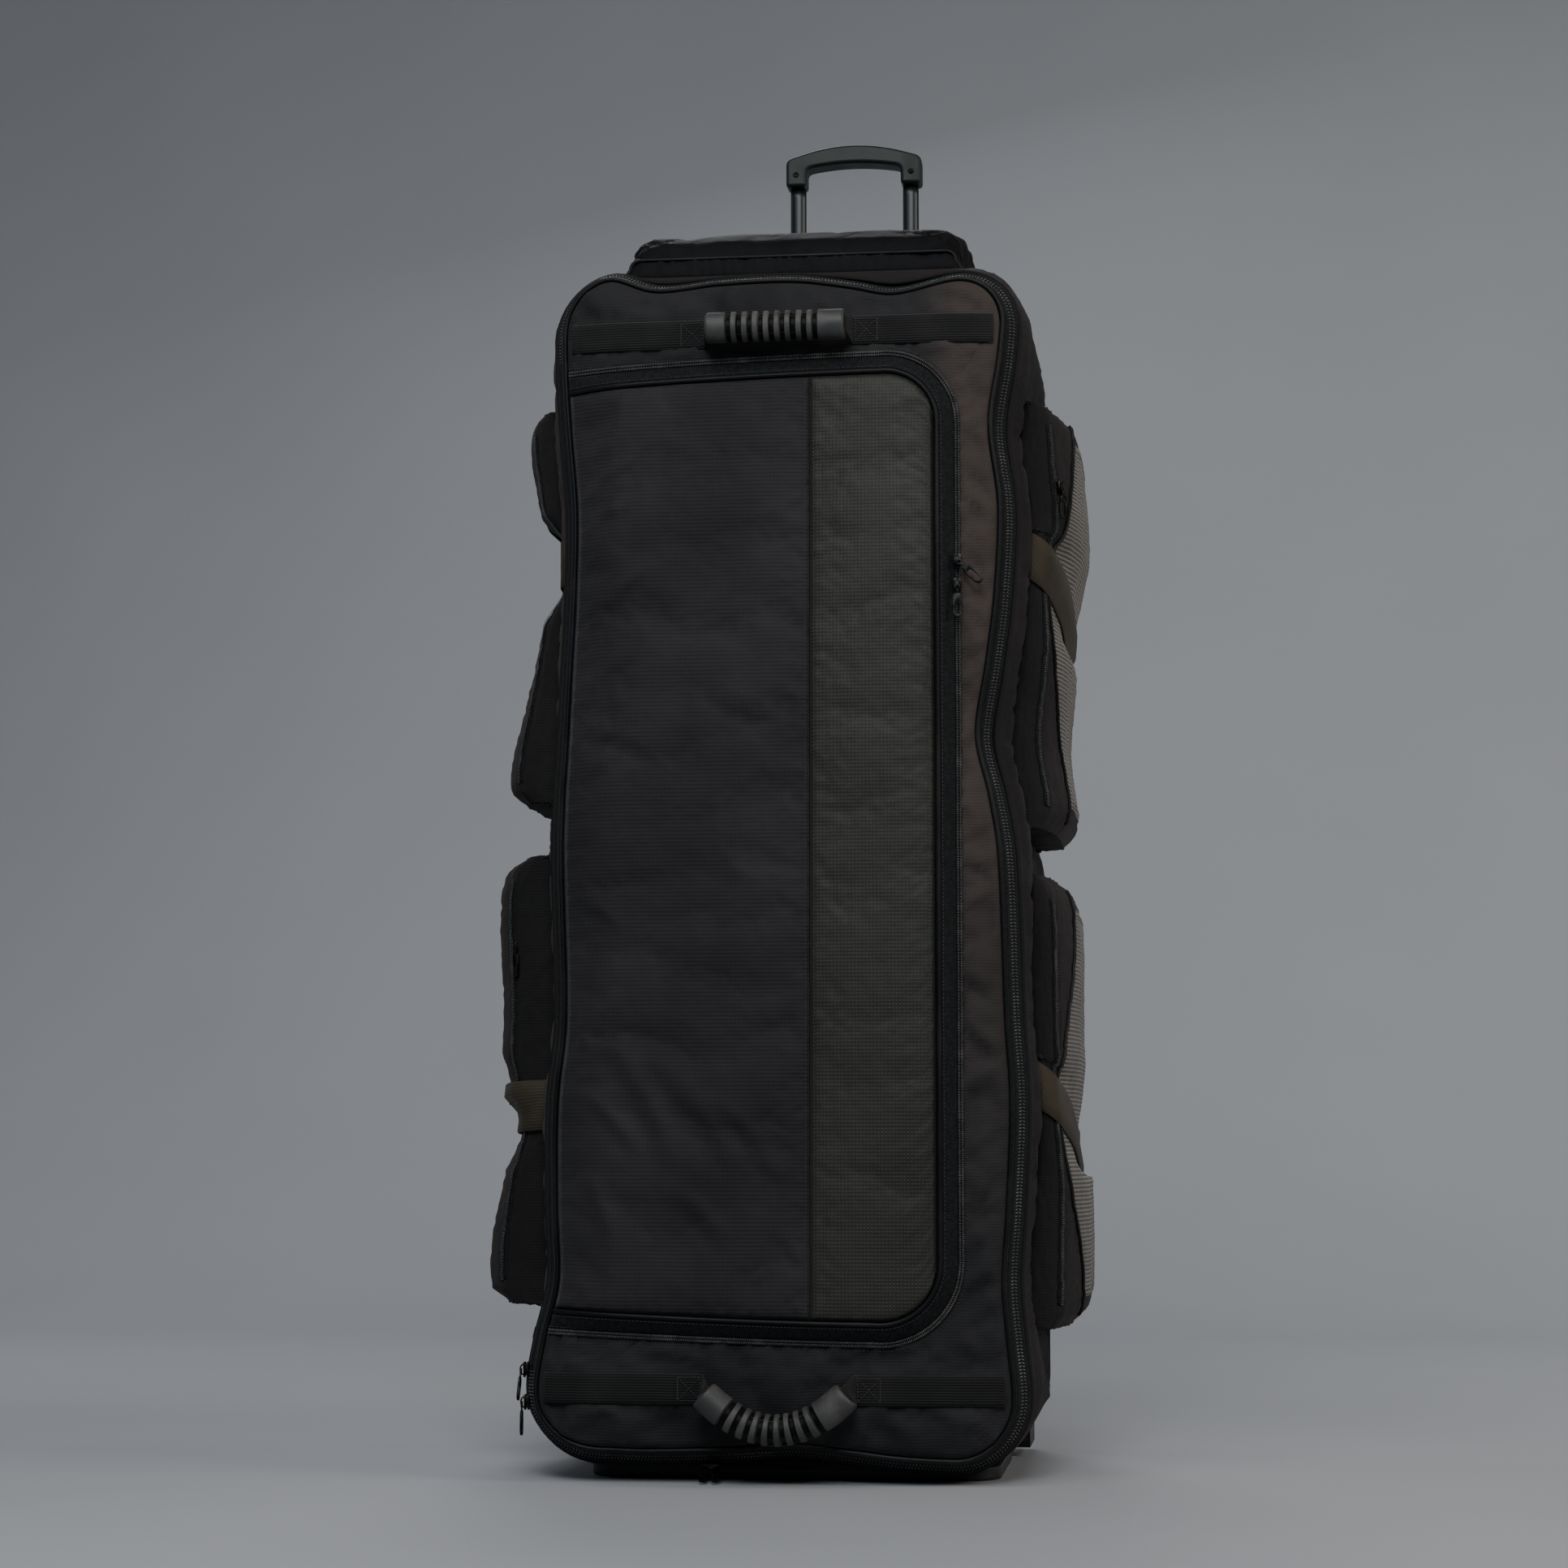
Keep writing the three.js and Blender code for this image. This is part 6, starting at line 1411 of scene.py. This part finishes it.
strap_rib = (STRAP.part(strap_flat, "X") * (2 * math.pi / 0.0024)).sine()
strap_pick = (STRAP.part(strap_flat, "Y") * (2 * math.pi / 0.0016)).sine()
strap_fuzz = STRAP.noise(STRAP.place(), 430, detail=2)
strap_blotch = STRAP.noise(STRAP.place(), 16, detail=4).share(0.35, 0.7)
strap_tone = STRAP.mix(strap_blotch * 0.7 + strap_fuzz * 0.3, (0.026, 0.021, 0.0135), (0.052, 0.042, 0.028))
strap_weave = strap_rib * 0.7 + strap_rib * strap_pick * 0.3 + strap_fuzz * 0.1
STRAP.wear(Base_Color=strap_tone, Roughness=0.6 + strap_fuzz * 0.15,
           Normal=STRAP.bump(strap_weave, 0.0005, strength=0.35))

for order_in_row, pocket in enumerate(SIDE_POCKETS):
    name, side = pocket["name"], pocket["side"]
    points, pinch = pocket_grid(pocket)
    rows, columns = points.shape[:2]
    body = new_piece(f"{name}_pocket_cloth", points.reshape(-1, 3) * MM,
                     grid_faces(rows, columns, flip=side < 0), BLACK_CLOTH)
    run = np.broadcast_to(np.linspace(0, POCKET["around"], columns)[None], (rows, columns))
    cloth_map(body, run * MM, points[..., 2] * MM)
    sewn = np.zeros((rows, columns))
    sewn[[0, -1]] = 1
    sewn[:, [0, 1, -2, -1]] = 1
    sewn = np.maximum(sewn, (pinch > 0.97) * 0.85)
    settle(body, sewn.ravel(), slack=0.045, swell=1.5, cap=0.0065, stiff=2.0, seed=41 + order_in_row)
    skin = spots_of(body).reshape(rows, columns, 3) / MM
    lifts = np.cross(np.gradient(skin, axis=1), np.gradient(skin, axis=0)) * -side
    lifts = lifts / np.maximum(np.linalg.norm(lifts, axis=-1), 1e-9)[..., None]
    if np.mean(lifts[rows // 4, columns // 2] * [side, 0, 0]) < 0:
        lifts = -lifts
    lined(body, 0.0022)

    # The outer panel, its corded edges, the front zip and the strap all lie on the settled skin
    v_line = np.linspace(PANEL["low"], PANEL["high"], PANEL["rows"])
    panel_v, panel_s = np.meshgrid(v_line, np.linspace(0, 1, PANEL["columns"]), indexing="ij")
    panel_s = panel_front(pocket, panel_v) * (1 - panel_s) + PANEL["back"] * panel_s
    panel_points, _ = skin_point(skin, lifts, panel_v, panel_s, PANEL["lift"])
    panel = new_piece(f"{name}_ribbed_panel", panel_points.reshape(-1, 3) * MM,
                      grid_faces(PANEL["rows"], PANEL["columns"], flip=side < 0), RIBBED.material)
    cloth_map(panel, panel_points[..., 1] * MM, panel_points[..., 2] * MM)
    lined(panel, 0.0009)
    belongs(panel, f"{name}_panel")
    cord_v = np.linspace(SIDE_CORD["low"], SIDE_CORD["high"], SIDE_CORD["points"])
    for cord_name, cord_s in [("front", panel_front(pocket, cord_v) - 0.08),
                              ("back", np.full(SIDE_CORD["points"], SIDE_CORD["back"]))]:
        cord_points, _ = skin_point(skin, lifts, cord_v, cord_s, PANEL["lift"])
        belongs(cord_on(f"{name}_{cord_name}_cord", cord_points, SIDE_CORD["radius"], SATIN))
    for k, (edge_v, inwards) in enumerate([(0.055, 0.02), (0.945, -0.02)]):
        seam_s = np.linspace(float(panel_front(pocket, edge_v)) + 0.1, 6.3, 60)
        seam_points, seam_up = skin_point(skin, lifts, np.full(60, edge_v) + inwards, seam_s, 1.3)
        panel_seam = row_on(f"{name}_panel_stitches_{k}", seam_points, seam_up, STITCH["pitch"],
                            STITCH["size"], THREAD)
        belongs(panel_seam)
    zip_v = np.linspace(SIDE_ZIP["low"], SIDE_ZIP["high"], SIDE_ZIP["points"])
    zip_rows = [skin_point(skin, lifts, zip_v, np.full(len(zip_v), s), 0.5)[0] for s in SIDE_ZIP["tape"]]
    belongs(band_on(f"{name}_zip_tape", zip_rows, TAPE, wall=0.0008))
    zip_points, zip_up = skin_point(skin, lifts, zip_v, np.full(len(zip_v), SIDE_ZIP["middle"]), 1.5)
    zip_coil = row_on(f"{name}_zip_coil", zip_points, zip_up, SIDE_ZIP["pitch"], SIDE_ZIP["tooth"], COIL)
    belongs(zip_coil, f"{name}_zip")
    half = POCKET["strap_width"] / 2 / (pocket["top"] - pocket["bottom"])
    strap_s = np.linspace(0.0, 8.0, 110)
    strap_rows = [skin_point(skin, lifts, np.full(110, pocket["strap_at"] + half * share), strap_s, lift)[0]
                  for share, lift in STRAP_SECTION]
    strap = band_on(f"{name}_strap_band", strap_rows, STRAP.material, wall=0.0016)
    belongs(strap, f"{name}_strap")
    belongs(body, f"{name}_pocket")


# The zip sliders: small nickel castings with a bridge, and a long pull whose end plate has an oval hole.
# Each lies on its own zip and hangs, or is left swung to one side, as the last hand left it.
PULL = {"long": 26, "wide": 8, "plate": 20, "steps": 10}
WEDGE = [  # half of the slider's outline from below to above: across, up
    (1.7, -6), (3.0, 1), (3.6, 4.6), (2.4, 6.4), (0.9, 5.6),
]
nickel = Finish("dark_nickel", Metallic=1.0)
nickel_rub = nickel.noise(nickel.place(), 160, detail=3)
nickel.wear(Base_Color=nickel.mix(nickel_rub.share(0.35, 0.7), (0.010, 0.010, 0.0098), (0.042, 0.041, 0.040)),
            Roughness=0.34 + nickel_rub * 0.25, Normal=nickel.bump(nickel_rub, 0.0002, strength=0.25))
NICKEL = nickel.material


def oval(half_wide, half_high, z, steps, square=1.0):
    """Points round an oval in X and Z; a higher square makes it a rounded rectangle."""
    turn = 2 * math.pi * (np.arange(steps * 4) + 0.5) / (steps * 4)
    x = np.sign(np.cos(turn)) * np.abs(np.cos(turn)) ** square * half_wide
    return np.stack([x, z + np.sign(np.sin(turn)) * np.abs(np.sin(turn)) ** square * half_high], -1)


def ring_block(mesh, outer, inner, front, back):
    """Adds a flat plate between an outer outline and a hole, or a full plate where inner is None."""
    count = len(outer)
    loops = [(outer, back), (outer, front)]
    if inner is not None:
        loops += [(inner, front), (inner, back)]
    rings = [[mesh.verts.new((x, y, z)) for x, z in loop] for loop, y in loops]
    pairs = [(k, (k + 1) % len(rings)) for k in range(len(rings) if inner is not None else 1)]
    for a, b in pairs:
        for i in range(count):
            j = (i + 1) % count
            mesh.faces.new((rings[a][i], rings[a][j], rings[b][j], rings[b][i]))
    if inner is None:
        mesh.faces.new(rings[0])
        mesh.faces.new(rings[1][::-1])


def slider_piece(node, place, swing, face):
    """A slider and its pull. swing turns the pull in the zip's plane, face turns all of it about Z."""
    body = bmesh.new()
    left_half = [(-x, z) for x, z in WEDGE]
    wedge = np.array([left_half[0], *WEDGE, *left_half[:0:-1]])
    ring_block(body, wedge, None, -4.4, -2.9)
    ring_block(body, wedge, None, -1.6, -0.2)
    ring_block(body, np.array([(-1.1, -4.5), (1.1, -4.5), (1.1, 5), (-1.1, 5)]), None, -3.2, -1.2)
    turn = np.linspace(0, math.pi, 9)
    arch = [(-3.9 - 3.4 * math.sin(a), -4.4 * math.cos(a) + 0.2) for a in turn]
    for (y0, z0), (y1, z1) in zip(arch[:-1], arch[1:]):
        tube = bmesh.ops.create_cube(body, size=1.0)["verts"]
        long = math.hypot(y1 - y0, z1 - z0) * 1.25
        lean = math.atan2(z1 - z0, y1 - y0)
        for vert in tube:
            x, y, z = vert.co.x * 1.7, vert.co.y * long, vert.co.z * 1.1
            vert.co = (x, (y0 + y1) / 2 + y * math.cos(lean) - z * math.sin(lean),
                       (z0 + z1) / 2 + y * math.sin(lean) + z * math.cos(lean))
    pull = bmesh.new()
    loop = oval(2.3, 2.6, -1.6, PULL["steps"])
    ring_block(pull, loop, oval(1.3, 1.5, -1.6, PULL["steps"]), -7.2, -5.9)
    neck_low = -PULL["long"] + PULL["plate"] - 1
    neck = [(-1.3, -3.4), (-1.0, neck_low), (1.0, neck_low), (1.3, -3.4)]
    ring_block(pull, np.array(neck), None, -7.15, -5.95)
    plate_middle = -PULL["long"] + PULL["plate"] / 2 - 0.5
    half_plate = PULL["plate"] / 2
    ring_block(pull, oval(PULL["wide"] / 2, half_plate, plate_middle, PULL["steps"], 0.55),
               oval(1.9, half_plate - 4.2, plate_middle - 1.6, PULL["steps"], 0.6), -7.3, -5.8)
    for vert in pull.verts:
        x, z = vert.co.x, vert.co.z
        vert.co.x = x * math.cos(swing) + z * math.sin(swing)
        vert.co.z = -x * math.sin(swing) + z * math.cos(swing)
    points = []
    faces = []
    for part in (body, pull):
        bmesh.ops.recalc_face_normals(part, faces=part.faces)
        start = len(points)
        part.verts.index_update()
        points += [tuple(vert.co) for vert in part.verts]
        faces += [tuple(start + vert.index for vert in poly.verts) for poly in part.faces]
        part.free()
    points = np.array(points)
    turned = np.stack([points[:, 0] * math.cos(face) - points[:, 1] * math.sin(face),
                       points[:, 0] * math.sin(face) + points[:, 1] * math.cos(face), points[:, 2]], -1)
    piece = new_piece(f"{node}_pull", (turned + place) * MM, faces, NICKEL, smooth=False)
    edge = piece.modifiers.new("edge", "BEVEL")
    edge.width = 0.00022
    edge.segments = 2
    edge.limit_method = "ANGLE"
    apply_all(piece)
    piece.data.shade_smooth()
    belongs(piece, node)


flap_zip_x = FLAP["right"] + coil_line
for slider_node, slider_z, swing in [("flap_slider_upper", 738, -0.85), ("flap_slider_lower", 718, 0.0)]:
    slider_piece(slider_node, (flap_zip_x, float(lid_face(flap_zip_x, slider_z)) - 3.4, slider_z), swing, 0.0)
left_chain = zip_ring(chain_y, 3.4)
for slider_node, slider_z, swing in [("main_slider_upper", 88, -0.5), ("main_slider_lower", 62, 0.0)]:
    beside = left_chain[left_chain[:, 0] < -150]
    slider_x = float(beside[np.argmin(np.abs(beside[:, 2] - slider_z)), 0]) - 0.3
    slider_piece(slider_node, (slider_x, chain_y, slider_z), swing, -math.pi / 2)
for slider_node in ("left_lower_slider", "right_upper_slider"):
    low, high = (np.array(corner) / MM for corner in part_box(slider_node))
    side = -1 if low[0] < 0 else 1
    at = ((low[0] + high[0]) / 2 - side * 2.6, high[1] - 1.8, high[2] - 6)
    slider_piece(slider_node, at, 0.0, side * math.radians(48))
low, high = (np.array(corner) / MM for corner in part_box("foot_slider"))
# The foot slider: a flat bar with two short pulls that lean back from it
FOOT = {"outline": [(-8, -1), (-6, -3.4), (6, -3.4), (8, -1), (6, 0), (-6, 0)], "front": 10.5, "back": 1.5,
        "pulls": (-5, 5), "lean": math.radians(60)}
foot_x = (low[0] + high[0]) / 2
foot = bmesh.new()
ring_block(foot, np.array([(foot_x + dx, high[2] + dz) for dx, dz in FOOT["outline"]]), None,
           high[1] - FOOT["front"], high[1] - FOOT["back"])
lean = FOOT["lean"]
for shift in FOOT["pulls"]:
    pull = bmesh.new()
    ring_block(pull, oval(3.1, 10.6, -10.5, 10, 0.55), oval(1.2, 3.0, -15.5, 10, 0.9), -0.75, 0.75)
    links = {}
    for vert in pull.verts:
        y, z = vert.co.y, vert.co.z
        links[vert] = foot.verts.new((vert.co.x + foot_x + shift,
                                      high[1] - 8.5 + y * math.cos(lean) + z * math.sin(lean),
                                      high[2] - 1.6 - y * math.sin(lean) + z * math.cos(lean)))
    for poly in pull.faces:
        foot.faces.new([links[vert] for vert in poly.verts])
    pull.free()
bmesh.ops.recalc_face_normals(foot, faces=foot.faces)
foot_mesh = bpy.data.meshes.new("foot_slider_pull")
foot.to_mesh(foot_mesh)
foot.free()
foot_mesh.transform(Matrix.Scale(MM, 4))
foot_mesh.materials.append(NICKEL)
foot_pull = bpy.data.objects.new("foot_slider_pull", foot_mesh)
scene.collection.objects.link(foot_pull)
belongs(foot_pull, "foot_slider")


# The pull-out handle: a grey-green moulded grip on two dark oval tubes that slide into the tub.
# The grip has a raised arch, softened edges and a screw in each leg.
HANDLE = {"x": 27, "y": 140, "spacing": 104, "leg_bottom": 1147, "tube_low": 708}
TROLLEY_GRIP = {"width": 125, "height": 38, "bar": 16, "leg": 19, "depth": 24, "arch": 11}
TUBE = {"half_wide": 7.3, "half_deep": 5}
SCREW = {"profile": [(2.6, 0), (2.7, -0.4), (2.1, -1.1), (0.9, -1.2), (0.7, -0.7)], "out": 1.2, "sunk": 0.2,
         "up": 11}
moulded = Finish("grey_green_plastic", Specular_IOR_Level=0.25)
moulded_grain = moulded.noise(moulded.place(), 780, detail=2)
moulded_rub = moulded.noise(moulded.place(), 30, detail=4).share(0.42, 0.72)
moulded.wear(Base_Color=moulded.mix(moulded_rub, (0.008, 0.0125, 0.0115), (0.015, 0.021, 0.0195)),
             Roughness=0.42 + moulded_rub * 0.14 + moulded_grain * 0.05,
             Normal=moulded.bump(moulded_grain, 0.00025, strength=0.4))
anodised = Finish("dark_anodised_tube", Metallic=0.85)
anodised_draw = anodised.noise(anodised.place(), 40, detail=3, stretch=(30, 30, 0.4))
anodised.wear(Base_Color=anodised.mix(anodised_draw, (0.024, 0.028, 0.030), (0.048, 0.052, 0.054)),
              Roughness=0.3 + anodised_draw * 0.2, Normal=anodised.bump(anodised_draw, 0.0002, strength=0.15))


def bent(start, over, end, steps):
    """Points on a bend from start to end, pulled towards over."""
    t = np.linspace(0, 1, steps)[:, None]
    start, over, end = (np.array(p, float) for p in (start, over, end))
    return (1 - t) ** 2 * start + 2 * t * (1 - t) * over + t**2 * end


half, height, arch = TROLLEY_GRIP["width"] / 2, TROLLEY_GRIP["height"], TROLLEY_GRIP["arch"]
bar, leg = TROLLEY_GRIP["bar"], TROLLEY_GRIP["leg"]
shoulder = height - arch
under = shoulder - bar + 6
grip_outline = np.concatenate([
    [(-half, 0), (-half, shoulder * 0.45)],
    bent((-half, shoulder - 6), (-half, shoulder), (-half + 10, shoulder + 2), 6),
    bent((-half + 10, shoulder + 2), (0, height + arch - 2), (half - 10, shoulder + 2), 22)[1:],
    bent((half - 10, shoulder + 2), (half, shoulder), (half, shoulder - 6), 6)[1:],
    [(half, shoulder * 0.45), (half, 0), (half - leg, 0)],
    bent((half - leg, under - 5), (half - leg, under), (half - leg - 6, under + 0.6), 5),
    bent((half - leg - 6, under + 0.6), (0, height - bar + 2), (-half + leg + 6, under + 0.6), 18)[1:],
    bent((-half + leg + 6, under + 0.6), (-half + leg, under), (-half + leg, under - 5), 5)[1:],
    [(-half + leg, 0)],
])
trolley_grip = bmesh.new()
depth = TROLLEY_GRIP["depth"] / 2
sides = []
for y in (-depth, depth):
    places = [(HANDLE["x"] + x, HANDLE["y"] + y, HANDLE["leg_bottom"] + z) for x, z in grip_outline]
    sides.append([trolley_grip.verts.new(np.array(place) * MM) for place in places])
for i in range(len(grip_outline)):
    j = (i + 1) % len(grip_outline)
    trolley_grip.faces.new((sides[0][i], sides[0][j], sides[1][j], sides[1][i]))
trolley_grip.faces.new(sides[0])
trolley_grip.faces.new(sides[1][::-1])
bmesh.ops.recalc_face_normals(trolley_grip, faces=trolley_grip.faces)
grip_mesh = bpy.data.meshes.new("trolley_handle_grip")
trolley_grip.to_mesh(grip_mesh)
trolley_grip.free()
grip_mesh.materials.append(moulded.material)
handle_grip = bpy.data.objects.new("trolley_handle_grip", grip_mesh)
scene.collection.objects.link(handle_grip)


def softened(piece, width, segments, angle):
    """Rounds a hard piece's edges and shades it smooth."""
    edge = piece.modifiers.new("edge", "BEVEL")
    edge.width = width * MM
    edge.segments = segments
    edge.limit_method = "ANGLE"
    edge.angle_limit = math.radians(angle)
    flat = piece.modifiers.new("flat", "WEIGHTED_NORMAL")
    flat.keep_sharp = False
    piece.data.shade_smooth()
    apply_all(piece)


softened(handle_grip, 3.4, segments=4, angle=50)
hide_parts("trolley_grip")


def turned_piece(name, profile, centre, axis, material, sides=40, oval_share=1.0):
    """A closed turned piece: profile is rows of radius and place along its axis, from one end to the other."""
    turn = 2 * math.pi * np.arange(sides) / sides
    rings = []
    for radius, along in profile:
        flat = np.stack([radius * np.cos(turn), radius * oval_share * np.sin(turn), np.full(sides, along)], -1)
        rings.append(flat if axis == "Z" else flat[:, [2, 0, 1]])
    ends = [[0, 0, profile[0][1]], [0, 0, profile[-1][1]]]
    ends = ends if axis == "Z" else [[end[2], 0, 0] for end in ends]
    points = np.concatenate([*rings, ends]) + centre
    faces = grid_faces(len(rings), sides, closed=True)
    first, last = len(points) - 2, len(points) - 1
    start = (len(rings) - 1) * sides
    faces += [(first, (k + 1) % sides, k) for k in range(sides)]
    faces += [(last, start + k, start + (k + 1) % sides) for k in range(sides)]
    return new_piece(name, points * MM, faces, material)


tube_x = [HANDLE["x"] - HANDLE["spacing"] / 2, HANDLE["x"] + HANDLE["spacing"] / 2]
for tube_side, x in zip(("left", "right"), tube_x):
    low, high = HANDLE["tube_low"] + 0.5, HANDLE["leg_bottom"] - 0.3
    radius = TUBE["half_wide"]
    tube_profile = [(5.6, low), (7.0, low + 0.6), (radius, low + 2), (radius, high - 8), (radius, high)]
    tube = turned_piece(f"trolley_tube_{tube_side}_oval", tube_profile, [x, HANDLE["y"], 0], "Z",
                        anodised.material, oval_share=TUBE["half_deep"] / radius)
    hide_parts(f"trolley_tube_{tube_side}")
    screws = []
    for face in (-1, 1):
        rings = [(screw_radius, -face * along) for screw_radius, along in SCREW["profile"]]
        face_name = "front" if face < 0 else "back"
        screw = turned_piece(f"trolley_screw_{tube_side}_{face_name}", rings, [0, 0, 0], "Z", NICKEL, sides=20)
        outer_leg = x + (-SCREW["out"] if x < HANDLE["x"] else SCREW["out"])
        spot = [outer_leg, HANDLE["y"] + face * (depth - SCREW["sunk"]), HANDLE["leg_bottom"] + SCREW["up"]]
        put_spots(screw, spots_of(screw)[:, [0, 2, 1]] + np.array(spot) * MM)
        flesh = bmesh.new()
        flesh.from_mesh(screw.data)
        bmesh.ops.recalc_face_normals(flesh, faces=flesh.faces)
        flesh.to_mesh(screw.data)
        flesh.free()
        screws.append(screw)
    for part in (tube, *screws):
        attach(part, "trolley_handle")
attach(handle_grip, "trolley_handle")


# The bezel round the tubes, the moulded foot and the rear chassis: black polypropylene with a fine spark-eroded
# grain, scuffed where they meet the floor. The guides that the tubes run in take the dark anodised finish.
black_plastic = Finish("grained_black_plastic", Specular_IOR_Level=0.4)
plastic_grain = black_plastic.noise(black_plastic.place(), 900, detail=2)
plastic_scuff = black_plastic.noise(black_plastic.place(), 60, detail=5, stretch=(1, 1, 3))
plastic_low = 1 - black_plastic.part(black_plastic.place(), "Z").share(0.0, 0.05)
plastic_worn = (plastic_scuff.share(0.5, 0.62) * plastic_low).share(0.1, 0.9)
plastic_tone = black_plastic.mix(plastic_worn * 0.6, (0.0105, 0.011, 0.012), (0.05, 0.05, 0.05))
black_plastic.wear(Base_Color=plastic_tone,
                   Roughness=0.46 + plastic_grain * 0.1 + plastic_worn * 0.2,
                   Normal=black_plastic.bump(plastic_grain, 0.0003, strength=0.5))


def rounded_copy(node, name, material, width):
    """A CAD node's shape with its hard edges rounded."""
    flesh = bmesh.new()
    flesh.from_mesh(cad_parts[node].data)
    bmesh.ops.remove_doubles(flesh, verts=flesh.verts, dist=1e-6)
    bmesh.ops.dissolve_limit(flesh, angle_limit=math.radians(1), verts=flesh.verts, edges=flesh.edges)
    mesh = bpy.data.meshes.new(name)
    flesh.to_mesh(mesh)
    flesh.free()
    mesh.materials.append(material)
    piece = bpy.data.objects.new(name, mesh)
    scene.collection.objects.link(piece)
    softened(piece, width, segments=2, angle=30)
    belongs(piece, node)


rounded_copy("trolley_bezel", "trolley_bezel_moulding", black_plastic.material, 2.0)
rounded_copy("base_plate", "base_foot", black_plastic.material, 1.6)
rounded_copy("rear_chassis", "rear_chassis_moulding", black_plastic.material, 1.4)
for guide in ("trolley_guide_left", "trolley_guide_right"):
    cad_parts[guide].data.materials.clear()
    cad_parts[guide].data.materials.append(anodised.material)


# The wheels: black urethane tyres with two grooves on grey moulded hubs, and steel axles.
WHEEL = {"x": 146, "y": 150, "z": 40.5, "sides": 72}
TREAD_HALF = [  # radius, place along the axle
    (29.5, 15.0), (31.5, 15.0), (36.5, 14.6), (39.0, 13.0), (40.0, 10.4), (40.0, 6.2), (38.6, 5.6),
    (38.6, 4.4), (40.0, 3.8),
]
HUB_HALF = [
    (4.6, 18.0), (10.5, 18.0), (11.5, 17.2), (12.0, 12.0), (15.0, 10.6), (26.0, 10.6), (28.0, 13.8),
    (29.4, 14.2),
]
tyre = Finish("urethane_tyre", Specular_IOR_Level=0.35)
tyre_scuff = tyre.noise(tyre.place(), 90, detail=4)
tyre.wear(Base_Color=tyre.mix(tyre_scuff.share(0.4, 0.7), (0.012, 0.012, 0.012), (0.04, 0.039, 0.037)),
          Roughness=0.55 + tyre_scuff * 0.25, Normal=tyre.bump(tyre_scuff, 0.0004, strength=0.4))
hub = Finish("grey_hub", Specular_IOR_Level=0.45)
hub_grain = hub.noise(hub.place(), 600, detail=2)
hub.wear(Base_Color=hub.mix(hub_grain, (0.05, 0.052, 0.053), (0.075, 0.077, 0.078)),
         Roughness=0.4 + hub_grain * 0.15, Normal=hub.bump(hub_grain, 0.0002, strength=0.3))


def mirrored(half):
    """A whole profile from the rows of its right half."""
    return [(radius, -along) for radius, along in half] + half[::-1]


tyre_profile = [(29.0, -15.0), *mirrored(TREAD_HALF), (29.0, 15.0)]
for wheel_side, sign in (("left", -1), ("right", 1)):
    centre = [sign * WHEEL["x"], WHEEL["y"], WHEEL["z"]]
    tyre_piece = turned_piece(f"wheel_{wheel_side}_tyre", tyre_profile, centre, "X", tyre.material,
                              sides=WHEEL["sides"])
    hub_piece = turned_piece(f"wheel_{wheel_side}_hub", mirrored(HUB_HALF), centre, "X", hub.material,
                             sides=WHEEL["sides"])
    for part in (tyre_piece, hub_piece):
        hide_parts(f"wheel_{wheel_side}")
        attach(part, f"{wheel_side}_wheel")
    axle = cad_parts[f"axle_{wheel_side}"]
    axle.data.materials.clear()
    axle.data.materials.append(NICKEL)
